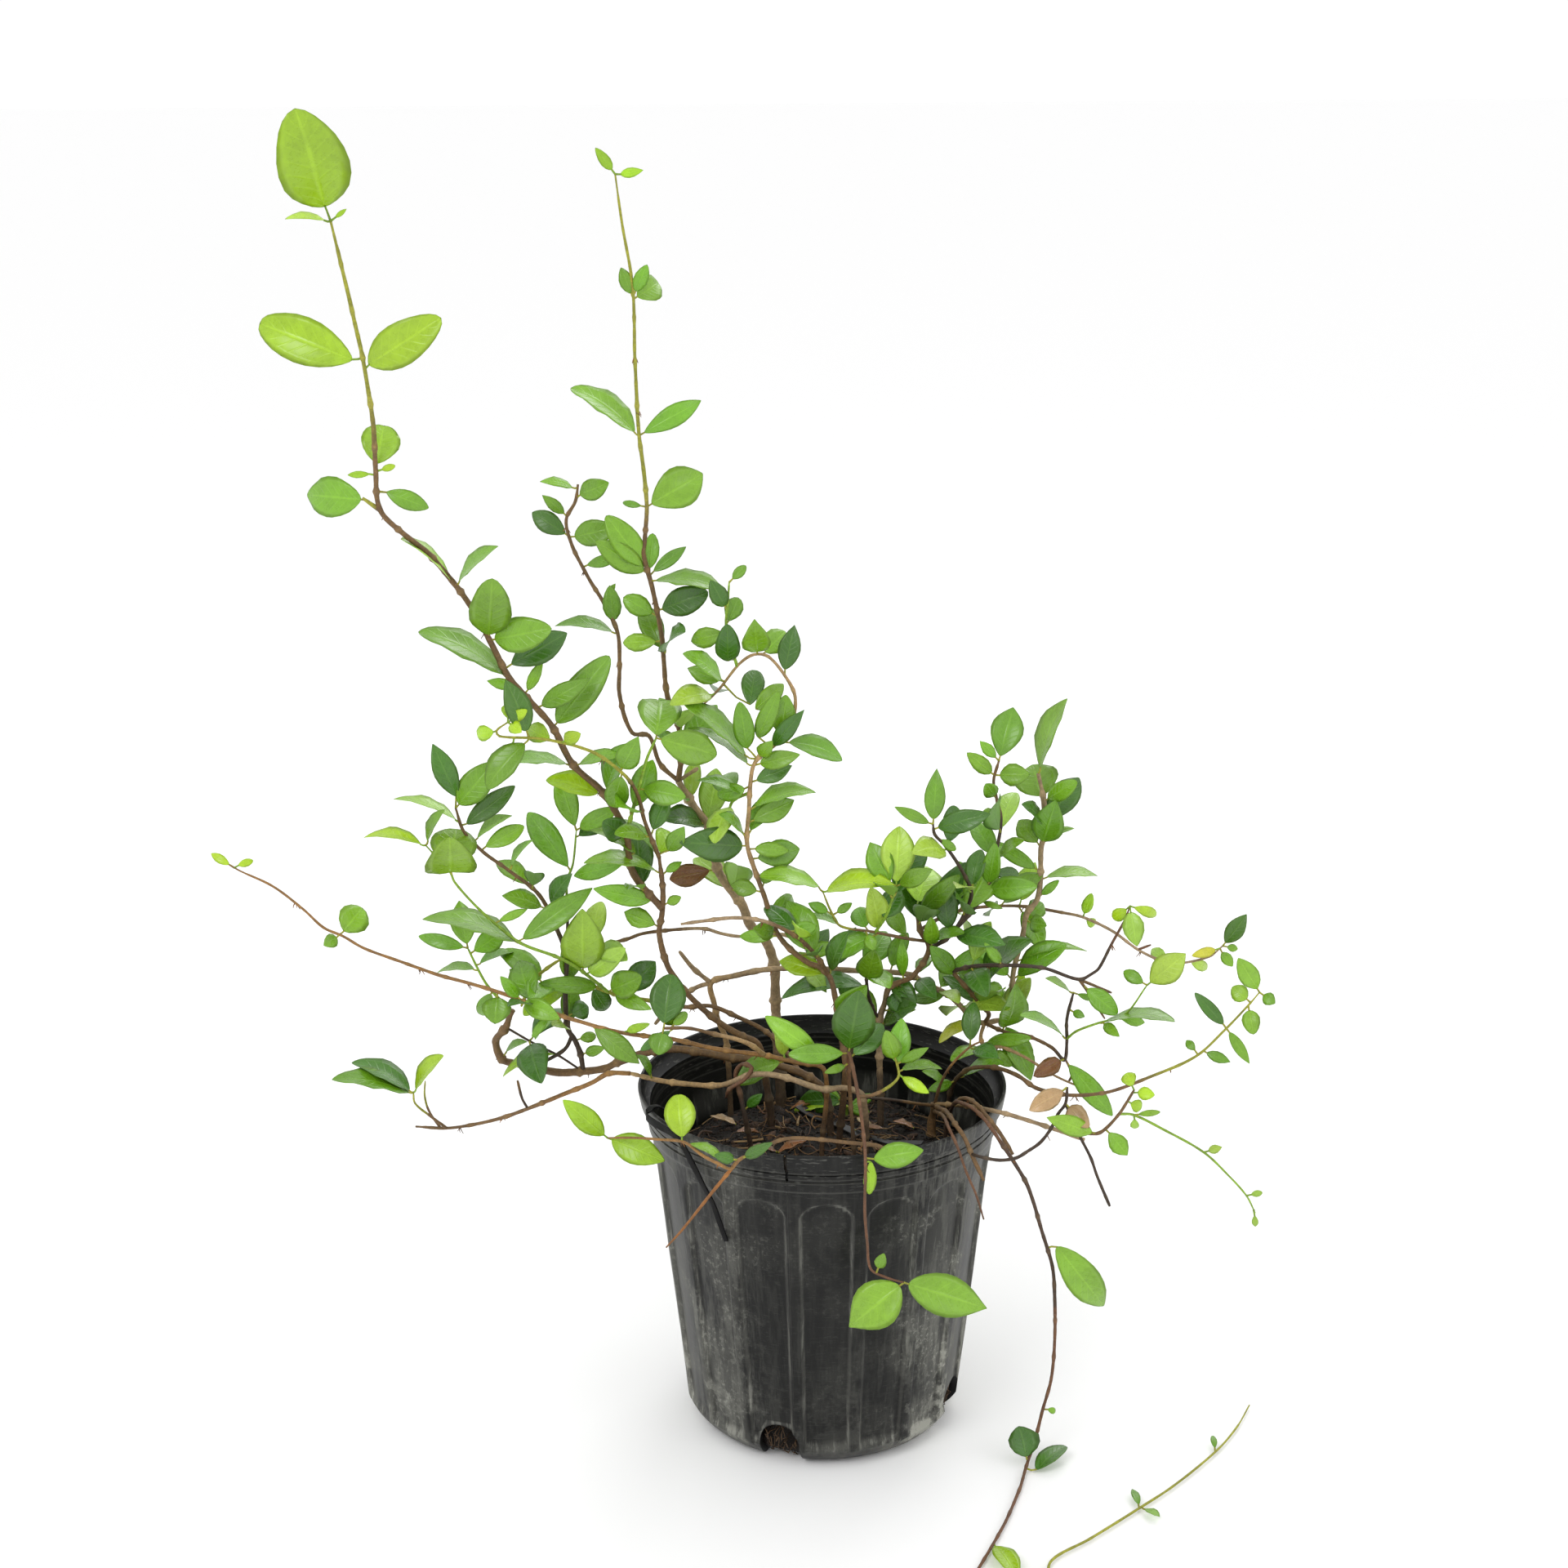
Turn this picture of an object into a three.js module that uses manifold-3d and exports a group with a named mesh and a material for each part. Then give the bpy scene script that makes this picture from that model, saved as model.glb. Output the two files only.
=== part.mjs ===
// A potted Asiatic jasmine: a black nursery can of bark soil with leafy vines, millimetres, +Z up.
// The origin is the centre of the can's flat base, the front is towards -Y.
import * as THREE from "three";
import { mergeVertices } from "three/addons/utils/BufferGeometryUtils.js";
import Module from "manifold-3d";

const wasm = await Module();
wasm.setup();

// The can
const POT_HEIGHT = 165;
const LIP_RADIUS = 85;
const LIP_BAND = 8;
const WALL_TOP_RADIUS = 81;
const WALL_LOW_RADIUS = 65;
const WALL_LOW_HEIGHT = 9;
const FOOT_RADIUS = 54;
const WALL = 1.8;
const FLOOR = 3;
const FLOOR_CURVE = 2;
const RING_HEIGHTS = [151, 145];
const RING_DEPTH = 0.8;
const FLUTE_COUNT = 16;
const FLUTE_HALF_ANGLE = 8;
const FLUTE_CHAMFER_ANGLE = 1.3;
const FLUTE_DEPTH = 1.8;
const FLUTE_TOP = 140;
const FLUTE_ARCH = 9;
const FLUTE_BOTTOM = 12;
const FIRST_FLUTE_ANGLE = 1.5;
const DRAIN_COUNT = 4;
const DRAIN_FIRST_ANGLE = -18;
const DRAIN_WIDTH = 19;
const DRAIN_TOP = 21;
const SLIT_ANGLE = -11;
const SLIT_WIDTH = 1.2;
const SLIT_DEPTH = 14;

// Two strips of plastic tie, one over the soil and one over the rim at the left
const STRIP_THICKNESS = 0.8;
const STRIP_FRONT = [
  [-11.1, 32, 138], [-1.7, 22, 136.4], [8.1, 13, 136.7], [16.9, 5, 136], [25.5, -1, 135.8], [33, -5, 135.6],
  [46.6, -10, 137.8],
];
const STRIP_LEFT = [
  [-70.5, -30, 163], [-74.3, -31.8, 166.1], [-77, -33.5, 166.1], [-78.8, -38, 163.5], [-66.3, -55, 162.9],
  [-62, -60, 160.4], [-56.5, -62.5, 150.1], [-52.2, -63, 140.7], [-48.7, -64, 134], [-45.5, -64.5, 124.2],
  [-42.7, -65, 115.5],
];

// The soil
const SOIL_TOP = 130;
const SOIL_GAP = 0.4;
const SOIL_MOUND = 6;
const HOLE_CLEARANCE = 0.4;
const HOLE_FLOOR = 104;

// The vines
const EYE_Y = -1055;
const EYE_Z = 615;
const BLADE_THICKNESS = 0.95;
const PETIOLE_RADIUS = 0.7;
const BLADE_RATIO = 2.0;
const LONG_PETIOLE = 3;
const MIDDLE_LEAF = 20;
const FLOOR_LEAF_HEIGHT = 12;
const ROUTE_TOLERANCE = 0.7;
const SIMPLIFY = 0.12;

// Points of the vines are pairs [x, z] on the upright plane through the can's axis, seen from a point in
// front of the can at (0, EYE_Y, EYE_Z). A third number is the depth y, and place() moves the point along
// the sight line to that depth.
function place(x, z, depth) {
  const scale = (depth - EYE_Y) / -EYE_Y;
  return new THREE.Vector3(x * scale, depth, EYE_Z + (z - EYE_Z) * scale);
}

// The plane pair of a real point.
function seen(x, y, z) {
  const scale = (y - EYE_Y) / -EYE_Y;
  return [x / scale, EYE_Z + (z - EYE_Z) / scale, y];
}

// Each vine has stems and leaves. A stem is { root, girth, route } with its hole in the soil at root, or
// { girth, route } when it grows from the nearest earlier stem of its vine. Girth is the radius at both ends.
// A leaf is [base x, base z, tip x, tip z, width as seen, depth of the tip against its base].
const VINES = {
  stem_leader: {
    colour: 0x7a6a4a,
    stems: [
      {
        root: [-24, 17],
        girth: [1.7, 1.0],
        route: [[-27.5, 174, 17], [-29.7, 183.5, 15], [-36.5, 187], [-44, 191.6], [-50.8, 196.8, 9],
          [-61.2, 207.5], [-66.3, 214.6], [-70.5, 221.7, 4], [-74, 237], [-72.5, 248, 0], [-72, 259.5],
          [-73.3, 274, -6]],
      },
      {
        girth: [1.5, 0.9],
        route: [[-73, 249.5], [-83, 262.5], [-86.8, 271], [-88, 285, -8], [-98, 304.7, -14],
          [-111, 317.7], [-119.5, 335], [-126.5, 344, -22], [-138, 357.5], [-145.5, 373.5], [-152, 387],
          [-160, 399.5, -34], [-171.6, 414], [-181.7, 422.5, -42], [-191.5, 433], [-192.6, 450, -46],
          [-192.6, 469], [-195, 494, -52], [-198, 513], [-203, 540], [-206, 556, -58]],
      },
      { girth: [0.9, 0.8], route: [[-191.5, 433], [-199, 438.5]] },
      {
        girth: [0.9, 0.6],
        route: [[-73.3, 274], [-79.6, 291.5, -14], [-81.5, 300.5], [-84.2, 307.5], [-89.2, 314, -30],
          [-100, 322.5], [-108.4, 326, -38], [-115.8, 328], [-126.8, 330, -44], [-143.5, 331],
          [-144.8, 333.5], [-139.5, 337.5, -44]],
      },
      { girth: [0.8, 0.7], route: [[-88, 285], [-84, 299, -14], [-78, 320, -16], [-73.5, 330, -16]] },
    ],
    leaves: [
      [-208, 562, -217.5, 602, 28], [-208, 557, -225, 558.5, 3], [-205, 557, -199, 561, 2],
      [-200, 498, -240, 514, 19], [-193, 495, -162, 515, 17], [-192.5, 451, -188, 470.5, 16, 12],
      [-193, 449, -205, 448.5, 3], [-192, 450, -184, 452.5, 3], [-199, 436, -224, 440, 17],
      [-188.5, 441, -170.5, 434, 8], [-160, 400, -182.5, 421, 3.5], [-160, 400, -141.5, 417.5, 5],
      [-145.5, 376, -144, 402, 17.6], [-144, 376, -119, 380, 15], [-138, 358, -176, 381, 10.5],
      [-137, 364, -112, 378, 13], [-135, 353, -148, 356.5, 5], [-131, 350, -123, 366, 5],
      [-126, 344, -103, 357, 9], [-119, 335, -93.5, 367.5, 14], [-111, 318, -144.5, 319.5, 5.5],
      [-110, 318, -90, 323, 5.5], [-72.5, 275, -67, 287, 12.5], [-69, 277, -62, 288, 8],
      [-75, 275, -89, 293, 4.5], [-75, 267, -106.5, 274.5, 6], [-72, 251, -64, 255, 4.5],
      [-71, 266, -63, 272, 4], [-75, 241, -90, 248, 9], [-86, 284, -98, 291, 11],
      [-84, 276, -103, 289, 6], [-88, 272, -113, 265, 8], [-76, 252, -103, 259, 9, -8],
      [-80, 306, -61, 302.5, 11], [-72.5, 331, -71, 348, 18], [-72, 330, -46, 322, 14],
      [-137, 330, -139, 320.5, 5], [-145, 333, -154, 332, 7], [-119.5, 329, -131, 335, 9],
      [-116, 328, -107.5, 332, 6.5], [-89, 315.5, -82, 329.5, 10.5], [-89, 314, -93.5, 297, 10.5],
      [-140, 338, -139, 346, 6], [-139, 338, -131, 343, 5], [-139, 337, -134, 333, 6],
    ],
  },
  stem_spire: {
    colour: 0x8c7466,
    stems: [
      {
        root: [-20, 46],
        girth: [2.5, 1.9],
        route: [[-21, 197.5, 46], [-21.3, 212], [-21.5, 221], [-25, 233, 45], [-32.6, 242], [-36, 251],
          [-42, 260], [-47, 268.5], [-50.3, 287, 40], [-57, 297.5], [-64, 310, 37]],
      },
      {
        girth: [1.5, 0.9],
        route: [[-64, 310], [-62, 325, 36], [-63.6, 336.5, 34], [-68.2, 349.7], [-70, 376, 28],
          [-73.6, 397.5], [-77, 412], [-76.5, 419.5, 22], [-75.4, 434], [-76.4, 450.5], [-78, 465],
          [-78.6, 479.5, 14], [-79, 498.7], [-79, 523], [-80, 535, 6], [-83, 553.5], [-85.5, 574.5, 2]],
      },
      {
        girth: [1.3, 0.9],
        route: [[-64, 310], [-72, 318, 40], [-76.7, 331], [-84.2, 332.5, 44], [-89.3, 349.7],
          [-89, 363.8, 50], [-89.5, 378], [-95.5, 392], [-100.2, 400.2, 56], [-104, 407.5], [-108.7, 418],
          [-110.6, 428.5, 60], [-106.3, 436.7], [-105, 444, 62]],
      },
      { girth: [1.0, 0.9], route: [[-64, 310], [-55, 316, 38]] },
    ],
    leaves: [
      [-85.5, 574.5, -93.3, 585, 4.5], [-85, 574, -74, 576, 4], [-79, 523, -67.5, 530, 11],
      [-79, 523, -84, 536, 6], [-79, 524, -73, 537, 6], [-78, 465, -106, 487, 9.5],
      [-78, 465, -51, 480, 9], [-75.4, 434, -50, 449, 17], [-75.4, 434, -86, 436, 3],
      [-76, 406, -93, 430, 12], [-76, 404, -98, 419, 11], [-75.5, 404, -73, 422.5, 7],
      [-75, 404, -58.5, 416.5, 5.5], [-73.5, 402, -42, 399, 7], [-71, 385.5, -86.5, 394, 9],
      [-70, 388, -50, 396, 12], [-70.5, 374, -87.5, 373.5, 8], [-105, 438.5, -92, 444.5, 9],
      [-105, 442, -121.2, 446, 4], [-110, 421, -125.6, 432, 9], [-110, 430, -120.3, 439, 5],
      [-107, 421, -88, 425, 11], [-104, 408, -88, 412, 5], [-89.5, 378, -116.6, 383.3, 5],
      [-89, 382, -92.4, 399.3, 8], [-96, 392, -90, 400, 3], [-49, 268, -69, 263.5, 10],
    ],
  },
  stem_loop: {
    colour: 0x9a7c6a,
    stems: [
      {
        root: [8, -12],
        girth: [1.5, 0.8],
        route: [[11, 172, -16], [9, 188], [6.5, 204.4, -10], [4, 215.6], [0, 220.5], [-6.5, 223.5, -6],
          [-16.4, 232], [-22.2, 242], [-25.4, 254, 0], [-30.3, 268.5], [-33.5, 281], [-32.6, 295, 2],
          [-31, 314], [-28.4, 320], [-20.4, 326.8, 0], [-14.2, 330.6], [-12.4, 337], [-11.4, 348.7],
          [-15, 357], [-23, 367, 6], [-29.5, 368], [-36, 363.8], [-45, 352.5, 12], [-56.7, 341, 16]],
      },
      { girth: [0.9, 0.7], route: [[-37, 363], [-41.5, 380, 8], [-40.5, 393], [-40, 400.5, 6]] },
      {
        girth: [1.2, 0.9],
        route: [[3.5, 216.7], [-1.2, 225, -12], [-8.8, 233.7], [-16.5, 239, -16], [-26.7, 243.5],
          [-39.5, 245, -16], [-54, 243.5], [-64, 242, -12]],
      },
      {
        girth: [0.9, 0.8],
        route: [[-31.8, 305], [-40, 300, 8], [-42, 290, 10]],
      },
    ],
    leaves: [
      [-41, 365, -41, 380.5, 10.5, -12], [-28, 368, -29, 383, 12], [-26, 367, -15, 379, 11],
      [-16, 359, -11.5, 381, 9.5], [-42, 378, -57.5, 374, 9], [-41, 381, -36, 394, 8],
      [-41, 388, -48, 401, 8], [-40, 400.5, -32.5, 408, 4.5], [-43, 356, -60, 369, 7, -14],
      [-42, 355, -59, 362, 8], [-31.5, 345, -29, 361.5, 10, 14], [-29, 343, -16, 355, 8, 10],
      [-28, 330, -19, 350.5, 8], [-33, 325, -36, 346, 9], [-34, 322, -60.5, 347, 8, -6],
      [-33, 318, -57.5, 337.5, 5.5, 8], [-24, 326, -8, 342, 7.5, -10], [-29, 321, -22, 328, 7],
      [-31, 318, -10, 322, 8], [-33.5, 278, -14.5, 277, 7], [-31, 273, -9.5, 278, 12],
      [-32, 290, -12, 301, 10], [-32, 297, -3, 307, 7], [-31, 309, -13, 317, 8], [-32, 307, -47, 303, 8],
      [-34, 304, -55, 311, 5], [-34, 279, -63, 281, 15, -16], [-27, 257, -41, 261, 8],
      [-27, 259, -24, 267, 6], [-24, 250, -11, 251, 11], [-15, 238, -2, 241, 7], [-20, 238, -31, 240, 9],
      [-19, 236, -38, 236, 6], [-10, 226, 6, 232, 7], [8, 195, 20, 211, 13],
    ],
  },
  stem_west: {
    colour: 0x86664a,
    stems: [
      {
        root: [4, 4],
        girth: [2.0, 2.1],
        route: [[1.2, 160, 4], [-8.4, 168, 5], [-20, 172.6], [-25.7, 175.6, 9], [-40.8, 176.2],
          [-55.2, 179, 14], [-68.7, 180.8], [-83.3, 178.5, 18], [-89.2, 176], [-95, 174],
          [-100.8, 171, 19], [-112.5, 169.5], [-122.2, 169, 18], [-131.9, 171], [-142.5, 173.6, 17],
          [-148.3, 175.7], [-151, 184.4, 14], [-148.6, 188.5], [-146, 191.6, 10], [-144, 197.3],
          [-142.5, 200, 8]],
      },
      {
        girth: [1.5, 0.8],
        route: [[-110, 170], [-111.8, 177.8, 17], [-114.2, 185], [-117.3, 191.1, 13], [-118, 207, 10],
          [-117, 226, 6], [-120.7, 239.5], [-128.3, 256, 0], [-141.8, 268], [-152.7, 276.5, -8],
          [-161.4, 286.5], [-164.6, 297.5, -12]],
      },
      {
        girth: [0.9, 0.7],
        route: [[-117, 226], [-115.7, 245.5, 10], [-115.5, 262.5], [-112.5, 271, 15], [-110.5, 287, 18]],
      },
      {
        girth: [1.2, 1.2],
        route: [[-10, 169], [-17, 180, 18], [-26.7, 190.1, 24], [-39.2, 196.8], [-50.7, 201.9, 26],
          [-63.2, 201.6], [-78, 204.5, 26], [-88.5, 206.2], [-97, 208.5, 22], [-106, 212],
          [-120, 213.7, 12], [-134.5, 212, 6], [-131, 216.5, 4], [-122, 223.5, 6], [-117, 226, 6]],
      },
      { girth: [1.1, 1.0], route: [[-134.5, 212], [-138.5, 202, 8]] },
      {
        girth: [1.0, 0.9],
        route: [[-117, 226], [-104, 231, 10], [-89, 234.7, 13], [-82.3, 237.3], [-73, 238.7, 14],
          [-53.8, 239.8], [-45.3, 237.3, 18], [-36.8, 236], [-18, 237, 22], [-10, 233, 22]],
      },
      {
        girth: [1.0, 0.8],
        route: [[-99, 209], [-107.3, 217, 4], [-113.8, 222, -4], [-121, 226, -8], [-137.8, 233, -14],
          [-149, 242.5], [-158, 251.5, -20], [-166.7, 262.5], [-168.4, 267, -24], [-179, 280, -28]],
      },
      {
        girth: [0.9, 0.7],
        route: [[-143.5, 198], [-149, 206, 14], [-153.6, 212], [-157, 218.5, 14], [-162, 230.5, 12]],
      },
      { girth: [0.7, 0.7], route: [[-145.5, 192], [-133, 183.4, 10], [-122.4, 177.7], [-113, 171, 18]] },
      { girth: [1.0, 0.9], route: [[-116.6, 187], [-119, 180.8, 12], [-129, 174.2, 8]] },
    ],
    leaves: [
      [-164, 303, -173.4, 327, 10], [-163, 298, -146.6, 318.5, 13], [-160, 290, -137.4, 308, 9, 8],
      [-163, 291, -191.4, 304, 4], [-156, 283, -140, 295, 4.5], [-153, 279, -134, 289, 8, 6],
      [-141.8, 268, -131.3, 283.5, 3], [-114, 268, -132.5, 296, 12, 12], [-111, 289, -118, 313.5, 10],
      [-110, 288, -91.5, 297.5, 8], [-110, 283, -97, 294, 9, 12], [-180, 281, -206.5, 286, 5],
      [-179, 280, -170.3, 297, 4], [-168, 266, -168, 282, 22, -20], [-168, 267, -165, 289, 20, 16],
      [-138, 233, -181, 247.5, 9.5], [-138, 234, -104, 259.5, 11], [-108.5, 220, -109, 247, 19, -14],
      [-107, 219, -91, 229.5, 10.5], [-99, 208, -83, 216.5, 12.5, -8], [-97, 208, -78.7, 200.5, 7, -12],
      [-92, 209, -76, 224, 12, 8], [-150, 242, -133.8, 249.5, 4, 6], [-162, 230.5, -184.8, 236.5, 6.5],
      [-162, 231, -165, 253.5, 11, 6], [-161, 228, -145.4, 238, 10, 10], [-159, 222, -140, 230, 4, 12],
      [-158, 220, -177.4, 220, 4, 6], [-134, 214, -143, 220, 5, -4], [-101.5, 211.5, -129, 213.3, 8, -14],
      [-115, 185, -104, 187.5, 5, 6], [-112, 178, -101, 181.3, 5, -4], [-148, 178, -137, 185, 3, -6],
      [-122, 179, -149, 169.5, 4, -8], [-119, 197, -107, 202, 9, 8], [-118, 200, -134, 187, 4, -4],
      [-78, 204.5, -66, 193, 8, 10], [-106, 212, -98.5, 199.5, 9, 8],
    ],
  },
  stem_west_runner: {
    colour: 0xa07a4a,
    stems: [
      {
        root: [0, -20],
        girth: [1.4, 0.8],
        route: [[1.2, 170, -20], [-12, 174], [-26.3, 177.5, -20], [-49.4, 180.8], [-68.8, 185.5, -22],
          [-84, 187.6], [-98.4, 190.1, -20], [-108, 193.2], [-120.5, 197.4, -16], [-137, 204.4],
          [-151, 209.8, -14], [-164.7, 214.1], [-176, 217.4, -10], [-192.9, 223.9], [-209.8, 230.6, -2],
          [-219.2, 236.5], [-227.7, 240.6, 4], [-236.5, 249.5, 8], [-249.6, 260.5, 12], [-264.2, 268, 18],
          [-269, 271, 18]],
      },
      {
        girth: [1.3, 0.8],
        route: [[-27, 177.8], [-35, 184, -26], [-51, 188.5, -28], [-61.8, 191.1, -32], [-73, 191, -34]],
      },
    ],
    leaves: [
      [-267, 270, -277, 276.5, 4], [-267, 270, -257.8, 273, 3.5], [-219.5, 238, -209, 250.5, 14, 12],
      [-220, 237, -228, 232, 6.5], [-149, 209, -151, 193.5, 13, -8], [-152, 208, -158, 197, 7, 8],
      [-138.5, 206, -121.5, 196, 9, -10], [-138, 206, -147, 216, 6, -8],
      [-107, 192.5, -85, 173.8, 10, -10], [-92, 189.5, -80, 193, 4, -6], [-125, 199, -134, 186.5, 4, -6],
      [-73.5, 191, -69, 218, 16], [-73, 190, -76, 178, 11, -8], [-70, 190, -62, 199, 5, 6],
      [-68, 190, -84, 180, 5, -6], [-176, 217.5, -188, 214, 4, -4], [-199, 226, -205, 234, 4, 6],
    ],
  },
  stem_west_low: {
    colour: 0xb59a74,
    stems: [
      {
        root: [20, -26],
        girth: [1.7, 1.8],
        route: [[19, 157, -28], [10.8, 161.2], [0.3, 160.6, -30], [-15.9, 166.3], [-25.4, 168, -26],
          [-34, 167.4], [-46.3, 162.7, -20], [-61.8, 163.2], [-75.5, 165, -10], [-89, 168.6, -4]],
      },
      {
        girth: [1.4, 0.8],
        route: [[-89, 168.6], [-99, 168.5, -4], [-106.8, 164], [-119.6, 158.5, 0], [-137.3, 150.9, 4],
          [-149.2, 146.4], [-162, 143, 8], [-175.7, 141], [-190.3, 141.8, 12]],
      },
      { girth: [0.8, 0.7], route: [[-175.7, 141], [-183, 147, 4], [-190, 153.6, -2], [-190.5, 159, -4]] },
      {
        girth: [0.7, 0.6],
        route: [[-179, 141], [-183.7, 149.8, 14], [-185.3, 157.4], [-184.7, 164.9, 18]],
      },
      { girth: [0.7, 0.8], route: [[-137.3, 150.9], [-139.8, 156], [-141.6, 164.9, 0]] },
      {
        root: [-33, -16],
        girth: [1.4, 1.3],
        route: [[-35.9, 146.5, -20], [-38, 158], [-40, 168, -16], [-37, 173.1, -18], [-32.6, 171, -24],
          [-36, 165.5, -28], [-43, 160.5, -29], [-44.5, 156.5, -25]],
      },
    ],
    leaves: [
      [-190.5, 158.5, -227.5, 167.6, 8.5, -8], [-190.5, 160, -218, 175.5, 8.5, 8],
      [-190, 159, -176.5, 177.8, 6, -6], [-36, 150, -28, 158, 5, -4], [-78, 166, -85, 178, 4, -8],
    ],
  },
  stem_bush: {
    colour: 0x8a6e5a,
    stems: [
      {
        root: [-44, 34],
        girth: [1.5, 1.5],
        route: [[-44.2, 185, 34], [-47.5, 194.3], [-49.3, 202.5, 34], [-50.8, 213.4, 32], [-40.6, 216.7],
          [-25, 219.9, 29], [-6.6, 220.5, 26], [18.8, 219, 26], [40, 217.3, 28], [49.3, 212],
          [58, 207.4, 30], [64, 202], [69.3, 195.5, 32], [75, 193.5, 32], [81, 194.7], [86.5, 194, 33],
          [90.7, 197.4], [89, 204.6, 36], [87.6, 212], [88.3, 221, 38], [91.7, 235.5], [93.5, 247, 40],
          [97.8, 253], [99.3, 262, 44], [99.2, 278], [100.8, 285.5, 48], [100, 300], [97.2, 313, 50]],
      },
      { girth: [1.0, 1.0], route: [[-50.8, 213.4], [-59, 220.7, 30], [-65, 228.7, 26]] },
      {
        root: [28, 22],
        girth: [1.9, 1.3],
        route: [[26.8, 195.3, 22], [29.1, 203.4], [31, 211, 20], [36.4, 213.8], [42, 216.6, 19],
          [49.2, 229.5, 18], [45, 239], [43.6, 251, 16]],
      },
      { girth: [1.0, 0.9], route: [[26.8, 196], [24, 200, 20], [21.4, 208, 14], [20.5, 216, 10]] },
      {
        girth: [1.3, 1.2],
        route: [[75, 193.5], [77, 198, 30], [71.4, 205, 26], [59.6, 219, 20], [49.2, 229.5, 18]],
      },
      {
        girth: [1.2, 0.8],
        route: [[49.2, 229.5], [60, 237.6, 14], [68, 254.7, 10], [66, 263], [56.4, 278.9, 2],
          [51.2, 284.6], [50.4, 289.5, -2]],
      },
      {
        girth: [1.0, 0.8],
        route: [[61, 239.5], [69.4, 249, 18], [75.5, 259.5, 20], [79, 276], [81, 291.4, 26],
          [78.8, 301.3], [77.3, 309.7, 26], [79.5, 319, 24]],
      },
      {
        girth: [0.9, 0.7],
        route: [[46.5, 232], [38.2, 235, 10], [23, 238.2, 6], [8.7, 241, 2], [4.5, 247.8], [0.7, 257.5, 0]],
      },
      {
        girth: [0.9, 0.7],
        route: [[24, 238], [30, 247, -2], [34, 260, -6]],
      },
      {
        girth: [1.0, 0.7],
        route: [[45, 239], [53.3, 244.4, 26], [60, 247.4], [71.7, 249.8, 40], [91, 250.3, 56],
          [109.3, 247.3], [119, 245, 64], [132.5, 238.3], [144.5, 229.3, 70], [155.6, 223.6],
          [160.6, 222.2, 74], [177, 225.8], [183, 231, 78]],
      },
      { girth: [0.8, 0.8], route: [[144.5, 229.3], [150.3, 231.6, 72]] },
      {
        girth: [1.2, 0.8],
        route: [[59.6, 219], [71, 221.5, 10], [89.7, 221.6, 2], [102.3, 220.2], [118.2, 214.8, -6],
          [124, 217.7], [127, 220.3, -8], [132.3, 231.8], [138, 243.6, -12], [140.2, 250.3, -14]],
      },
      { girth: [0.8, 0.7], route: [[118.2, 214.8], [133, 208.3, 4]] },
      { girth: [0.8, 0.6], route: [[118.2, 214.8], [124.2, 205.6, -4], [130.4, 195.5, -4]] },
      {
        girth: [1.1, 0.8],
        route: [[75, 193.5], [86, 188.5, 20], [94, 187.5, 14], [106.5, 181.1, 6], [112.2, 175, 4],
          [113.2, 184], [113, 195.4, 2], [115.6, 208.3, 2]],
      },
      { girth: [0.7, 0.7], route: [[112.6, 176], [116, 168, 6], [114.5, 164, 8]] },
      {
        girth: [1.1, 0.7],
        route: [[75, 193.5], [73.5, 186, 26], [76.2, 181], [83, 181.5, 14], [94, 176.5, 8], [108, 167.3],
          [121, 161, 2]],
      },
      {
        girth: [0.7, 0.6],
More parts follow.
